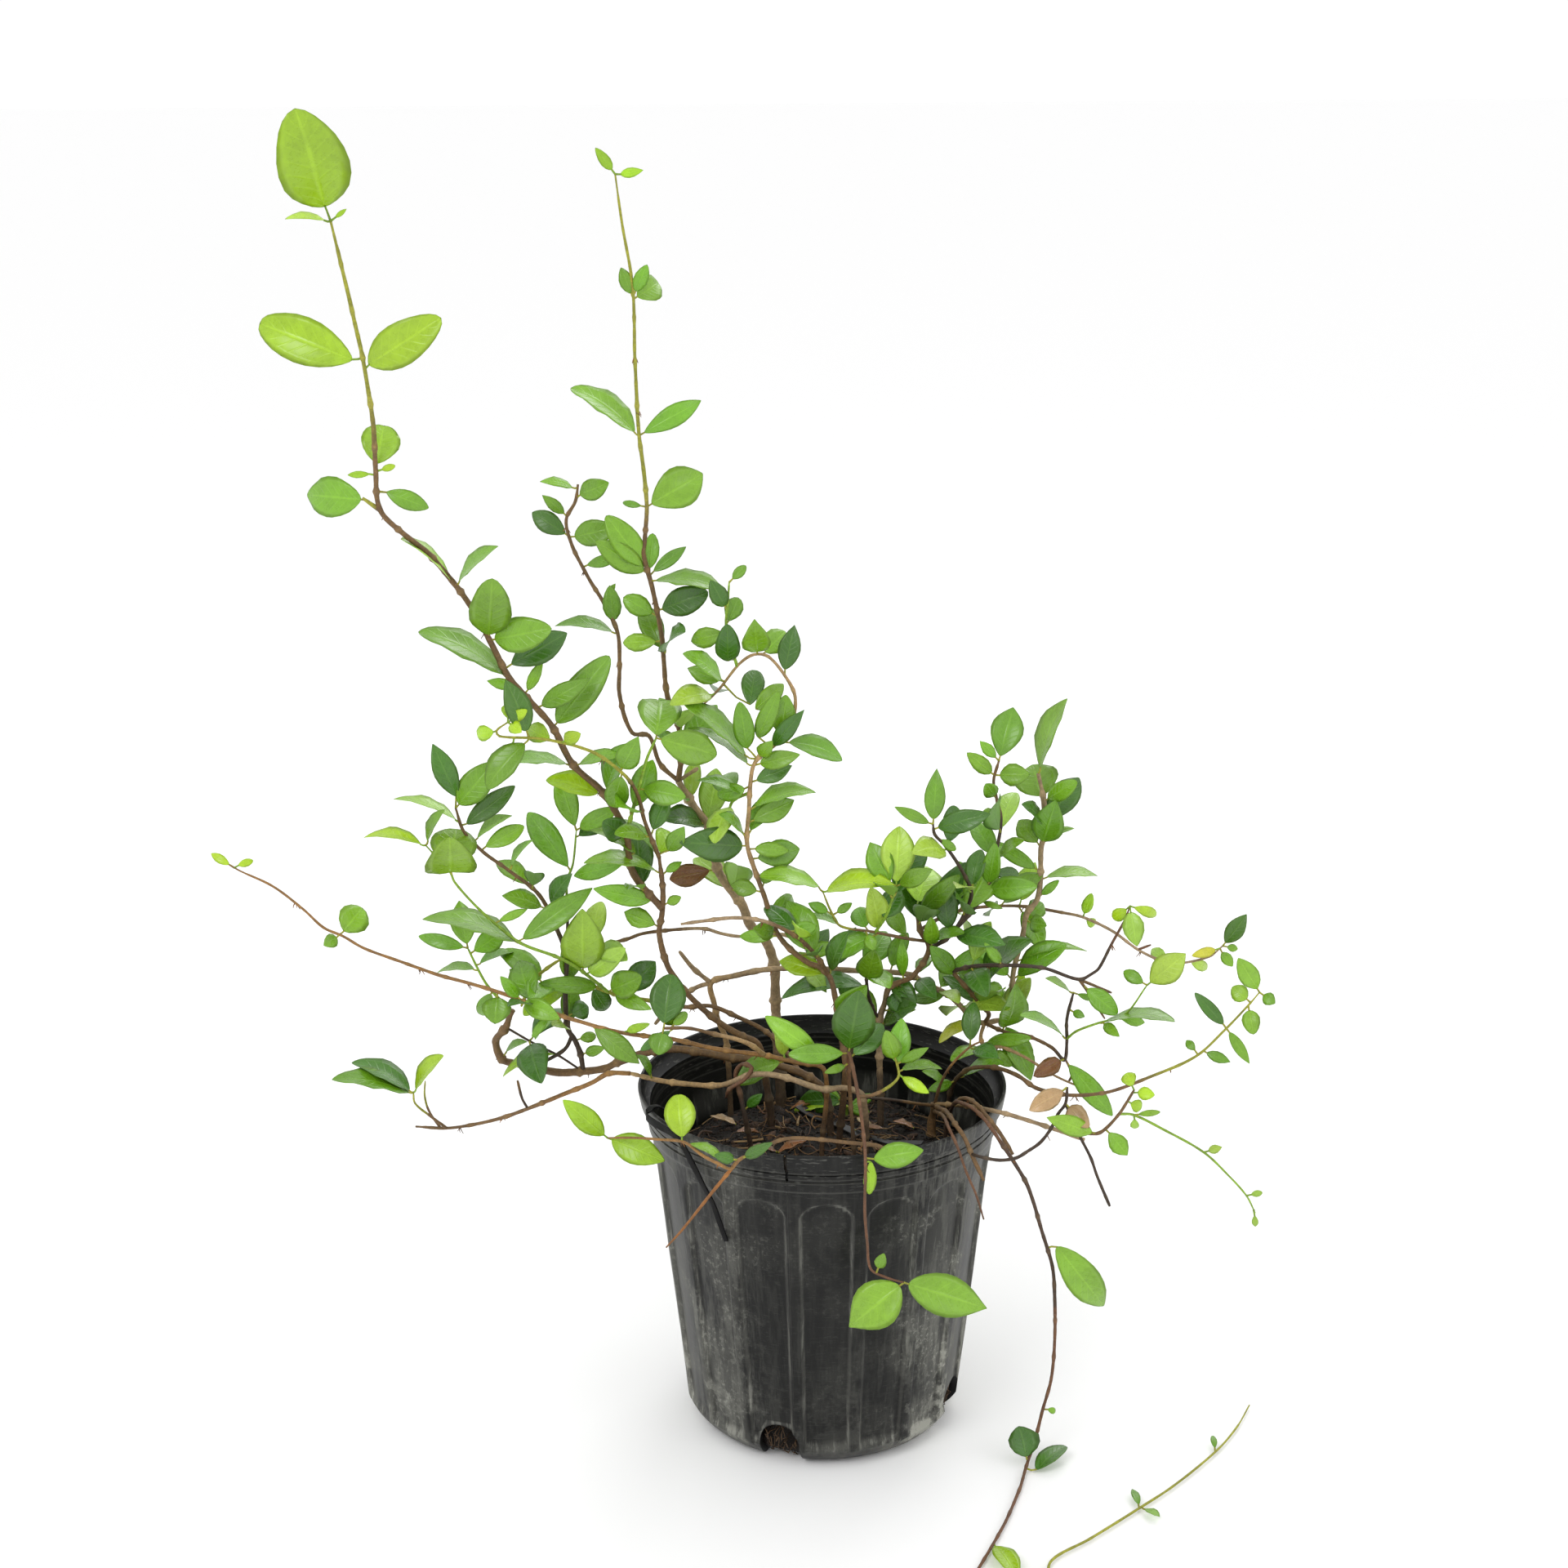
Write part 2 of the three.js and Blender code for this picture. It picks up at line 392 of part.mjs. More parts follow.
        route: [[113.4, 186], [117.8, 189.5, -4], [127.8, 193.5, -8], [139, 197, -10], [149.3, 212, -16]],
      },
    ],
    leaves: [
      [44, 252.5, 48, 270.5, 18], [-1, 260, -27.5, 265.5, 7.5, -10], [2, 258, 32, 263, 9, -12],
      [31, 262, 22, 281, 12, 6], [34.5, 262, 35.3, 288.5, 15, 8], [35, 261, 50, 268, 8, -8],
      [27, 243, 36, 259, 11, 10], [46, 247, 62.6, 265, 9, -8], [57, 250, 69, 262, 5, -14],
      [5, 247, -6, 252, 5], [5, 246, 14, 252, 4], [10, 241, -6.7, 247, 4, 8], [21, 239, 16, 250, 9, 12],
      [40, 236, 30, 250, 8, 14], [48, 233, 64.8, 238, 5, -10], [50, 231, 50, 244, 7, -12],
      [20, 238, 24, 229, 6, -6], [21, 214, 24, 229, 12, -8], [37, 215, 36.5, 233.8, 5.5, -6],
      [62, 216, 50, 231, 9, -12], [58, 222, 82, 229, 9, 14], [70, 208, 94, 235, 9.5, -16],
      [19, 212, -18.8, 208, 8.5, 2], [33, 211, 37, 198, 10, -6], [28, 200, 42.5, 200, 5, -10],
      [58, 207, 40, 205, 6, 12], [72, 192.5, 54, 185.7, 5, -10], [75, 184, 96, 186, 6.5, -14],
      [76, 181, 60, 176, 5, -14], [78, 181, 88, 172, 6, -6], [69, 206, 84, 210, 9, 10],
      [60, 218, 78, 216, 8, 10], [87, 199, 80, 210, 7, 12], [89, 201, 92, 219, 4.5, 10],
      [50.6, 291.8, 51.8, 315, 9], [50.5, 289, 33.3, 297.5, 5], [52, 287.5, 75, 294, 10, -10],
      [53, 284, 61, 277, 4], [79.5, 320, 85.5, 344, 14], [79, 320, 71, 328, 5],
      [77.5, 312, 65.5, 322.5, 7], [78.5, 312, 93, 312.7, 10, -6], [79, 301, 74, 308, 7, -4],
      [80.5, 293, 72.5, 295, 5], [97.2, 314, 107.5, 348, 8.5], [99.7, 300, 94, 318, 19, 16],
      [100, 300, 114, 309, 8, -12], [99.4, 279, 105, 299.4, 14, -8], [99, 278.6, 88.7, 291.3, 10, 8],
      [99.5, 281, 113.6, 287.9, 3], [99, 267, 77, 281, 6.5, 8], [99.5, 264, 125, 266.2, 5],
      [98, 254, 107.6, 262.7, 4], [75, 258, 97.6, 260, 10.5, -12], [75.5, 260, 78.5, 279.8, 8, -10],
      [74, 256, 62, 272, 6, 10], [77, 266, 90, 266, 6, 10], [72, 253, 82, 249.3, 3, -8],
      [93, 245, 101, 252, 9, 10], [93, 243, 102, 241, 8, -10], [119, 245, 122.5, 256, 5],
      [119.5, 245, 125, 241, 4.5], [183, 231, 193.5, 246, 8], [182, 229, 169.5, 226.3, 4.5, -8],
      [183, 231, 190, 229.5, 3.5], [182, 229, 188, 221, 5], [168, 223, 177.3, 220, 5, 10],
      [159, 223, 150, 230, 6, 12], [140, 250, 132.5, 244, 6], [141, 249.5, 144, 231, 9.5, -8],
      [140.7, 250.3, 153.5, 245.8, 5, 8], [120.5, 212, 136, 197.8, 9, -8], [90, 224, 121, 231, 3.5, 4],
      [113, 186, 92, 198, 3.5, -10], [128, 193.5, 161.5, 198, 4.5, -14], [136, 196, 149.5, 193.5, 5, 4],
      [129, 194, 137, 187, 5, -14], [149.3, 212, 166, 227, 13, -6], [149, 212, 138, 219, 6, 6],
      [115.6, 208.3, 125, 205, 3, 4], [113, 200, 121, 196.5, 4, -6], [115, 208, 103, 215.8, 3, -6],
      [112.5, 174, 135.7, 146.7, 9.5, -8], [112, 176, 99, 167.5, 8, -10], [83, 223, 75, 232, 5, -8],
    ],
  },
  stem_crown_right: {
    colour: 0x8d7350,
    stems: [
      {
        root: [52, 16],
        girth: [2.6, 1.8],
        route: [[51.8, 148, 15], [52.6, 153, 10]],
      },
      {
        girth: [1.1, 0.8],
        route: [[52.3, 150], [56.6, 147, -22], [59.5, 140.5, -60], [63, 132.5, -69], [67.9, 118.2, -71],
          [72.5, 107, -68], [76.3, 94.2, -64]],
      },
      {
        girth: [1.2, 1.1],
        route: [[52.5, 152], [58, 149, -20], [63, 141.8, -57], [66.5, 136.5, -64], [70.1, 127.7, -68],
          [76, 114.2, -68]],
      },
      {
        girth: [1.2, 1.1],
        route: [[52.6, 153], [64, 152.5, -4], [72, 151.3, -26], [79, 149.8, -41], [87.8, 147.6, -43],
          [108.9, 140.2, -42], [122.6, 135, -40]],
      },
      {
        girth: [0.9, 0.8],
        route: [[69.8, 128.4], [75.4, 126, -74], [83.3, 124.5, -74], [90.6, 125.5, -72],
          [96.4, 129.1, -66], [102.3, 133.8, -60], [107, 140.7, -56], [110, 148, -54],
          [113.4, 153.2, -52], [114, 161.5, -50]],
      },
      {
        girth: [0.8, 0.8],
        route: [[113.2, 153], [119.5, 138.7, -54], [126, 125.5], [129, 116.7, -56], [135.5, 101, -56]],
      },
      {
        girth: [0.9, 0.7],
        route: [[119.5, 138.7], [128.3, 138, -56], [132.2, 140.3], [138.5, 148, -60], [141.5, 153.2],
          [145, 160, -62]],
      },
      {
        girth: [0.7, 0.6],
        route: [[138.5, 148], [145.2, 147.5, -56], [159.2, 140.2], [178.6, 128.5, -50], [190.8, 116.5],
          [199.5, 106.3], [204, 97.5, -46]],
      },
    ],
    leaves: [
      [113.5, 161, 97, 150, 9, -8], [114, 153, 124.4, 141.3, 9, -10], [128, 138, 105.5, 146, 9, -12],
      [145, 160, 141, 169, 7], [145, 159, 154.5, 157.5, 6, -5], [142.5, 154, 149, 151, 5.5, 4],
      [132, 141, 143, 127, 8.5, -6], [145.2, 147.5, 157.7, 149, 3], [145.5, 147, 146, 140, 4],
      [178.6, 128.5, 187, 131.2, 4], [203, 98, 204.5, 90, 3], [199.5, 106.3, 207, 108, 3],
    ],
  },
  stem_east_long: {
    colour: 0x84684a,
    stems: [
      {
        root: [60, 26],
        girth: [1.4, 0.8],
        route: [[61, 163, 22], [67.2, 170, 14], [73, 171.5, 8], [81.2, 171.2, 2], [91.5, 167, -4],
          [99.3, 161.2, -10], [107, 159, -16], [114.5, 157.5, -22], [123.7, 157.6, -24],
          [134.8, 159.5, -22], [150.4, 165.8, -22], [172.6, 176.6, -24], [185.3, 189.4, -26],
          [197, 203.3, -28], [200.8, 208.4, -28]],
      },
    ],
    leaves: [
      [174, 178, 168, 185, 4, 6], [175.5, 179.5, 189, 174, 5, -4], [186.5, 191, 171.4, 208, 6, 4],
      [187, 190.5, 198, 173, 5, -4], [197, 203.5, 188, 211, 8, 6], [196, 202, 199, 188, 8, -8],
      [201, 209, 208, 203, 6], [201, 209.5, 191, 224, 9, -6], [62, 165, 49.7, 160, 5.5, -10],
      [63, 167, 84, 174, 5, -12], [60.5, 160, 47, 170, 4, -6],
    ],
  },
  stem_floor_runner: {
    colour: 0x8a5c40,
    stems: [
      {
        root: [58, 2],
        girth: [1.5, 0.9],
        route: [[61.4, 153, -8], [66.5, 153, -32], [71.5, 150, -46], [77, 144, -55], [85, 131.4, -59],
          [90.8, 122.4, -59], [97.3, 109.7, -59], [104.8, 85, -57], [109.4, 68.8, -54],
          [110.9, 50.9, -52], [111.3, 29.7, -50], [110, 8.5, -49], [106.5, -7, -50], [103, -24, -54],
          seen(94, -62, 3), seen(88.7, -82.3, 1.6), seen(80.3, -108.9, 1.6), seen(73.6, -126.3, 1.6),
          seen(62, -156, 1.6), seen(60, -172, 1.6), seen(67, -185, 1.6), seen(79, -187, 1.6),
          seen(90, -174, 1.6), seen(95, -155, 1.6), seen(98, -138, 1.6), seen(115.8, -122, 1.6),
          seen(139.5, -99, 1.6), seen(158.3, -79.8, 1.6), seen(182.3, -50.3, 1.6), seen(195, -29.7, 1.6),
          seen(204, -10.2, 1.6)],
      },
      {
        girth: [1.2, 1.0],
        route: [[61.4, 153], [66.2, 156, -20], [72, 153, -38], [78, 145.5, -48], [83, 138.5, -50],
          [89.5, 127.5, -52]],
      },
    ],
    leaves: [
      [111, 80, 136, 46.5, 15.5], [106, -6, 113, -8, 3], [101, -36, 95, -16, 16, 10],
      [104, -40, 118.3, -27, 10, 14], [83.5, -81, 96, -100, 11, -27], [156, -62, 151, -50.5, 4, 14],
      [157, -62.5, 165, -66, 5, -9], [191, -30, 189, -21, 3, 10],
    ],
  },
  stem_front: {
    colour: 0x7c5a40,
    stems: [
      {
        root: [15, -38],
        girth: [1.5, 1.0],
        route: [[13, 160, -38], [12.5, 178.5, -43], [15.1, 168, -54], [17.5, 153.5, -66], [19, 142, -78],
          [20.2, 129.8, -86.5], [20.4, 119.3, -91], [20.2, 98, -92], [21.4, 81.7, -92], [23.2, 68, -92],
          [31, 63.5, -94], [38.8, 61, -95]],
      },
      { girth: [1.0, 0.8], route: [[17, 156], [26, 158.5, -58], [35.5, 166.4, -52], [34.5, 175, -50]] },
    ],
    leaves: [
      [13, 180, 17, 208, 19, -7], [12, 178.5, -15, 178, 9, -6], [-2, 178, -26, 197, 9, 6],
      [14, 176, 28.5, 193, 11, 8], [13, 173, 2, 169, 4, -10], [34.5, 174, 30, 189, 9, -4],
      [34.5, 173, 49, 181, 5, -6], [36, 170, 56, 173, 5, 8], [36, 168, 49.7, 158.6, 5.5, -8],
      [35, 171, 37, 196, 10, 10], [24.3, 125, 46.7, 129.5, 11.5, -6], [23, 124, 22.2, 106.5, 6, -3],
      [38.4, 60.8, 13, 37.3, 18, -3], [39.2, 60.8, 78.8, 47.3, 18, 6], [26, 67, 29.3, 76, 5.5, -2],
    ],
  },
  stem_front_left: {
    colour: 0xa0663a,
    stems: [
      {
        root: [30, -50],
        girth: [1.2, 0.8],
        route: [[31, 124, -66], [27.3, 131.4, -78], [11.7, 133.6, -80.5], [-8.7, 135.8, -80.5],
          [-17.4, 135.3, -81], [-25, 132.5, -83], [-31, 129, -86], [-39.2, 124.5, -89],
          [-42.6, 120.1, -90], [-48.5, 122.7, -86], [-56, 127, -80], [-64.5, 133.7, -72],
          [-76.8, 135.2, -63], [-88, 136, -54], [-100.5, 136, -44]],
      },
      {
        girth: [0.9, 0.7],
        route: [[-39.2, 124.5], [-50.7, 109.5, -86], [-66, 89, -76], [-74, 79.5, -70]],
      },
    ],
    leaves: [
      [-39, 127, -24, 133, 5.5, -6], [-40, 125, -50, 127, 5.5, -6], [-64, 134.5, -46, 125, 4, -8],
      [-65, 136, -67, 158.3, 14], [-100.5, 136, -74.5, 124.5, 13.5, -10], [-101, 136.5, -120, 154.5, 10.5],
    ],
  },
  sprout: {
    colour: 0x6a7a3a,
    stems: [{ root: [12, 30], girth: [1.0, 0.8], route: [[11, 152, 28], [9, 158, 24]] }],
    leaves: [
      [9, 155, -12, 152, 11, -8], [10, 153, -14, 146, 6, -12], [11, 152, 22, 149, 6, -6],
      [11, 153, -2, 162, 6, 8], [11.5, 151, 25, 158, 5, 8],
    ],
  },
  stem_back: {
    colour: 0x7c6448,
    stems: [
      {
        root: [14, 52],
        girth: [1.4, 0.8],
        route: [seen(15, 62, 165), seen(16, 76, 173), seen(17, 90, 168), seen(17, 98, 140),
          seen(14, 101, 100), seen(10, 103, 62)],
      },
      { girth: [0.9, 0.7], route: [seen(17, 98, 140), seen(30, 104, 128), seen(38, 108, 108)] },
    ],
    leaves: [
      [...seen(17, 97, 145).slice(0, 2), ...seen(-6, 106, 130).slice(0, 2), 14, 10],
      [...seen(14, 101, 102).slice(0, 2), ...seen(-10, 108, 88).slice(0, 2), 13, 6],
      [...seen(14, 101, 100).slice(0, 2), ...seen(34, 112, 84).slice(0, 2), 14, 10],
      [...seen(38, 108, 110).slice(0, 2), ...seen(52, 112, 94).slice(0, 2), 10, 8],
      [...seen(38, 108, 108).slice(0, 2), ...seen(30, 114, 90).slice(0, 2), 9, 6],
      [...seen(10, 103, 64).slice(0, 2), ...seen(-4, 110, 44).slice(0, 2), 12, 6],
      [...seen(10, 103, 62).slice(0, 2), ...seen(24, 108, 42).slice(0, 2), 12, 4],
    ],
  },
};

// Geometry helpers

function geometryOf(points, faces) {
  const geometry = new THREE.BufferGeometry();
  geometry.setAttribute("position", new THREE.Float32BufferAttribute(points.flatMap((p) => p.toArray()), 3));
  geometry.setIndex(faces);
  return geometry;
}

function solidOf(geometry) {
  const bare = geometry.clone();
  bare.deleteAttribute("normal");
  bare.deleteAttribute("uv");
  const merged = mergeVertices(bare, 1e-4);
  const solid = new wasm.Manifold(
    new wasm.Mesh({
      numProp: 3,
      vertProperties: new Float32Array(merged.attributes.position.array),
      triVerts: new Uint32Array(merged.index.array),
    }),
  );
  return solid;
}

function geometryFrom(solid) {
  const mesh = solid.getMesh();
  const geometry = new THREE.BufferGeometry();
  geometry.setAttribute("position", new THREE.BufferAttribute(new Float32Array(mesh.vertProperties), 3));
  geometry.setIndex(new THREE.BufferAttribute(new Uint32Array(mesh.triVerts), 1));
  return geometry;
}

// Joins rings of vertices, each ring seen counter-clockwise from its far side, and closes both ends.
function skin(rings) {
  const points = [];
  const faces = [];
  const starts = rings.map((ring) => {
    const start = points.length;
    points.push(...ring);
    return start;
  });
  for (let k = 0; k + 1 < rings.length; k++) {
    const [a, b] = [rings[k].length, rings[k + 1].length];
    let [i, j] = [0, 0];
    while (i < a || j < b) {
      const p = starts[k] + (i % a);
      const q = starts[k + 1] + (j % b);
      const stepLow = j === b || (i < a && (i + 0.5) / a <= (j + 0.5) / b);
      if (stepLow) {
        faces.push(p, starts[k] + ((i + 1) % a), q);
        i++;
      } else {
        faces.push(p, starts[k + 1] + ((j + 1) % b), q);
        j++;
      }
    }
  }
  const last = rings.length - 1;
  for (let i = 1; i + 1 < rings[0].length; i++) faces.push(starts[0], starts[0] + i + 1, starts[0] + i);
  const end = starts[last];
  for (let i = 1; i + 1 < rings[last].length; i++) faces.push(end, end + i, end + i + 1);
  return geometryOf(points, faces.filter((_, n) => {
    const t = n - (n % 3);
    return faces[t] !== faces[t + 1] && faces[t + 1] !== faces[t + 2] && faces[t] !== faces[t + 2];
  }));
}

// Leaves out the points that lie within ROUTE_TOLERANCE of a straight run between the points it keeps.
function thin(points) {
  if (points.length < 3) return points;
  const run = new THREE.Line3(points[0], points[points.length - 1]);
  let far = 0;
  let worst = 0;
  for (let i = 1; i + 1 < points.length; i++) {
    const gap = points[i].distanceTo(run.closestPointToPoint(points[i], true, new THREE.Vector3()));
    if (gap > worst) [far, worst] = [i, gap];
  }
  if (worst < ROUTE_TOLERANCE) return [points[0], points[points.length - 1]];
  return [...thin(points.slice(0, far + 1)).slice(0, -1), ...thin(points.slice(far))];
}

// A tube of few sides through the points, with the radius changing evenly along it.
function tube(points, girth) {
  const sides = Math.max(...girth) > 1.6 ? 5 : 4;
  const lengths = [0];
  for (let i = 1; i < points.length; i++) lengths.push(lengths[i - 1] + points[i].distanceTo(points[i - 1]));
  const total = lengths[lengths.length - 1];
  let side = new THREE.Vector3(0.3, -1, 0.2).normalize();
  const rings = points.map((p, i) => {
    const ahead = points[Math.min(i + 1, points.length - 1)];
    const behind = points[Math.max(i - 1, 0)];
    const along = new THREE.Vector3().subVectors(ahead, behind).normalize();
    side = side.clone().addScaledVector(along, -side.dot(along)).normalize();
    const across = new THREE.Vector3().crossVectors(along, side);
    const radius = THREE.MathUtils.lerp(girth[0], girth[1], lengths[i] / total);
    return Array.from({ length: sides }, (_, k) => {
      const turn = (2 * Math.PI * k) / sides;
      const outwards = side.clone().multiplyScalar(Math.cos(turn)).addScaledVector(across, Math.sin(turn));
      return p.clone().addScaledVector(outwards, radius);
    });
  });
  return solidOf(skin(rings));
}

// The vines

// A number from 0 to 1 that is always the same for the same n.
function chance(n) {
  const value = Math.sin(n * 12.9898) * 43758.5453;
  return value - Math.floor(value);
}

// Gives every point of a route its depth: stated ones stay, the others are spaced evenly between them.
function withDepths(route, firstDepth) {
  const flat = route.map(([x, z, depth], i) => [x, z, i === 0 ? firstDepth ?? depth : depth]);
  const lengths = [0];
  for (let i = 1; i < flat.length; i++) {
    lengths.push(lengths[i - 1] + Math.hypot(flat[i][0] - flat[i - 1][0], flat[i][1] - flat[i - 1][1]));
  }
  const known = flat.map((p, i) => (p[2] === undefined ? -1 : i)).filter((i) => i >= 0);
  return flat.map(([x, z, depth], i) => {
    if (depth !== undefined) return [x, z, depth];
    const before = Math.max(...known.filter((k) => k < i));
    const after = known.find((k) => k > i);
    if (after === undefined) return [x, z, flat[before][2]];
    const share = (lengths[i] - lengths[before]) / (lengths[after] - lengths[before]);
    return [x, z, THREE.MathUtils.lerp(flat[before][2], flat[after][2], share)];
  });
}

// The nearest point of the stems to a pair [x, z], with its depth and the stem's radius there.
function nearest(stems, x, z) {
  let best = { gap: Infinity };
  for (const { path, radii } of stems) {
    for (let i = 0; i + 1 < path.length; i++) {
      const [ax, az, ad] = path[i];
      const [bx, bz, bd] = path[i + 1];
      const span = (bx - ax) ** 2 + (bz - az) ** 2 || 1;
      const t = THREE.MathUtils.clamp(((x - ax) * (bx - ax) + (z - az) * (bz - az)) / span, 0, 1);
      const point = [ax + (bx - ax) * t, az + (bz - az) * t, ad + (bd - ad) * t];
      const gap = Math.hypot(x - point[0], z - point[1]);
      if (gap < best.gap) best = { gap, point, radius: THREE.MathUtils.lerp(radii[i], radii[i + 1], t) };
    }
  }
  return best;
}

// One leaf: a petiole from inside the stem, then a folded blade that arches to its tip.
function leaf(stems, [x0, z0, x1, z1, width, lean], n) {
  const from = nearest(stems, x0, z0);
  const root = place(...from.point);
  const depth = from.point[2];
  const scale = (depth - EYE_Y) / -EYE_Y;
  const seenLength = Math.hypot(x1 - x0, z1 - z0) * scale;
  const seenWidth = width * scale;
  const towards = chance(n) < 0.5 ? -1 : 1;
  const hidden = Math.sqrt(Math.max(0, (1.75 * seenWidth) ** 2 - seenLength ** 2));
  const drift = lean ?? (hidden > 0 ? towards * hidden : (chance(n + 0.5) - 0.5) * 0.7 * seenLength);
  const tip = place(x1, z1, depth + drift);
  let base = place(x0, z0, depth);
  const neck = from.radius + 1.4;
  if (base.distanceTo(root) < neck) {
    base = root.clone().addScaledVector(new THREE.Vector3().subVectors(tip, root).normalize(), neck);
  }
  const along = new THREE.Vector3().subVectors(tip, base);
  const length = along.length();
  along.normalize();
  const toEye = new THREE.Vector3(-base.x, EYE_Y - base.y, EYE_Z - base.z).normalize();
  const nearFloor = base.z < FLOOR_LEAF_HEIGHT;
  const front = nearFloor ? new THREE.Vector3(0, 0, 1) : toEye;
  const facing = front.clone().addScaledVector(along, -front.dot(along)).normalize();
  const across = new THREE.Vector3().crossVectors(along, facing);
  const trueWidth = Math.max(seenWidth, length / BLADE_RATIO);
  const tilt = nearFloor ? 0 : Math.acos(THREE.MathUtils.clamp(seenWidth / trueWidth, 0, 1));
  const turn = tilt * (across.z < 0 ? -1 : 1);
  const up = facing.multiplyScalar(Math.cos(turn)).addScaledVector(across, Math.sin(turn));
  const out = new THREE.Vector3().crossVectors(up, along);
  const half = trueWidth / 2;
  const fold = 0.14 * half;
  const arch = 0.06 * length;
  const at = (share, side, lift) =>
    base.clone().addScaledVector(along, share * length).addScaledVector(out, side)
      .addScaledVector(up, lift + arch * 4 * share * (1 - share));
  const station = (share, wide, thick) => [
    at(share, half * wide, 0),
    at(share, 0, -fold * wide),
    at(share, -half * wide, 0),
    at(share, 0, -fold * wide - thick),
  ];
  const petioleAlong = new THREE.Vector3().subVectors(base, root).normalize();
  const petioleSide = new THREE.Vector3().crossVectors(petioleAlong, up);
  if (petioleSide.length() < 0.1) petioleSide.copy(out);
  petioleSide.normalize();
  const petioleUp = new THREE.Vector3().crossVectors(petioleSide, petioleAlong);
  const triangle = (p, s, u, r) => [
    p.clone().addScaledVector(s, -r).addScaledVector(u, 0.5 * r),
    p.clone().addScaledVector(s, r).addScaledVector(u, 0.5 * r),
    p.clone().addScaledVector(u, -0.9 * r),
  ];
  const rings = [];
  if (base.distanceTo(root) > from.radius + LONG_PETIOLE) {
    rings.push(triangle(root, petioleSide, petioleUp, PETIOLE_RADIUS));
  } else {
    rings.push([root.clone().addScaledVector(petioleAlong, -0.55 * from.radius)]);
  }
  rings.push(triangle(base, out.clone().negate(), up, 1.2 * PETIOLE_RADIUS));
  if (length < MIDDLE_LEAF) rings.push(station(0.44, 1, BLADE_THICKNESS));
  else rings.push(station(0.28, 0.93, BLADE_THICKNESS), station(0.66, 0.84, BLADE_THICKNESS));
  rings.push([at(1, 0, 0)]);
  return solidOf(skin(rings));
}

function growVine({ stems, leaves }, seed) {
  const grown = [];
  const solids = [];
  for (const { root, girth, route } of stems) {
    let path;
    if (root) {
      const foot = seen(root[0], root[1], HOLE_FLOOR + SOIL_GAP);
      const collar = seen(root[0], root[1], SOIL_TOP + SOIL_MOUND + 3);
      path = [foot, ...withDepths([collar, ...route])];
    } else {
      const start = nearest(grown, route[0][0], route[0][1]).point;
      path = withDepths([start, ...route.slice(1)], start[2]);
    }
    const points = path.map((p) => place(...p));
    solids.push(tube(root ? [points[0], ...thin(points.slice(1))] : thin(points), girth));
    const radii = path.map((_, i) => THREE.MathUtils.lerp(girth[0], girth[1], i / (path.length - 1)));
    grown.push({ path, radii });
  }
  leaves.forEach((entry, n) => solids.push(leaf(grown, entry, seed + n)));
  return wasm.Manifold.union(solids).simplify(SIMPLIFY);
}

// The can

function degrees(angle) {
  return (angle * Math.PI) / 180;
}

// The point of the can at an angle from the front, turning to the right.
function around(angle, radius, z) {
  return new THREE.Vector3(radius * Math.sin(degrees(angle)), -radius * Math.cos(degrees(angle)), z);
}

function wallRadius(z) {
  if (z <= WALL_LOW_HEIGHT) {
    return THREE.MathUtils.lerp(FOOT_RADIUS, WALL_LOW_RADIUS, Math.sqrt(z / WALL_LOW_HEIGHT));
  }
  const share = (z - WALL_LOW_HEIGHT) / (POT_HEIGHT - WALL_LOW_HEIGHT);
  return THREE.MathUtils.lerp(WALL_LOW_RADIUS, WALL_TOP_RADIUS + 0.8, share);
}

// The lip is knocked out of round: pulled in at the left front and out at the back right.
function lipShift(angle, z) {
  const ramp = THREE.MathUtils.smoothstep(z, POT_HEIGHT - 45, POT_HEIGHT);
  const oval = 0.9 * Math.cos(degrees(2 * (angle - 80)));
  const dent = -3.0 * Math.exp(-(((angle + 66) / 13) ** 2));
  return ramp * (oval + dent);
}

// The angles of the columns of vertices, five to each flute, the first and last of them on the ribs.
const columns = [];
for (let flute = 0; flute < FLUTE_COUNT; flute++) {
  const middle = FIRST_FLUTE_ANGLE + (360 / FLUTE_COUNT) * flute;
  const inner = FLUTE_HALF_ANGLE - FLUTE_CHAMFER_ANGLE;
  [-FLUTE_HALF_ANGLE, -inner, 0, inner, FLUTE_HALF_ANGLE].forEach((offset, k) => {
    columns.push({ angle: ((middle + offset + 180) % 360) - 180, k });
  });
}
const plainAngles = columns.filter(({ k }) => k === 0 || k === 4).map(({ angle }) => angle);

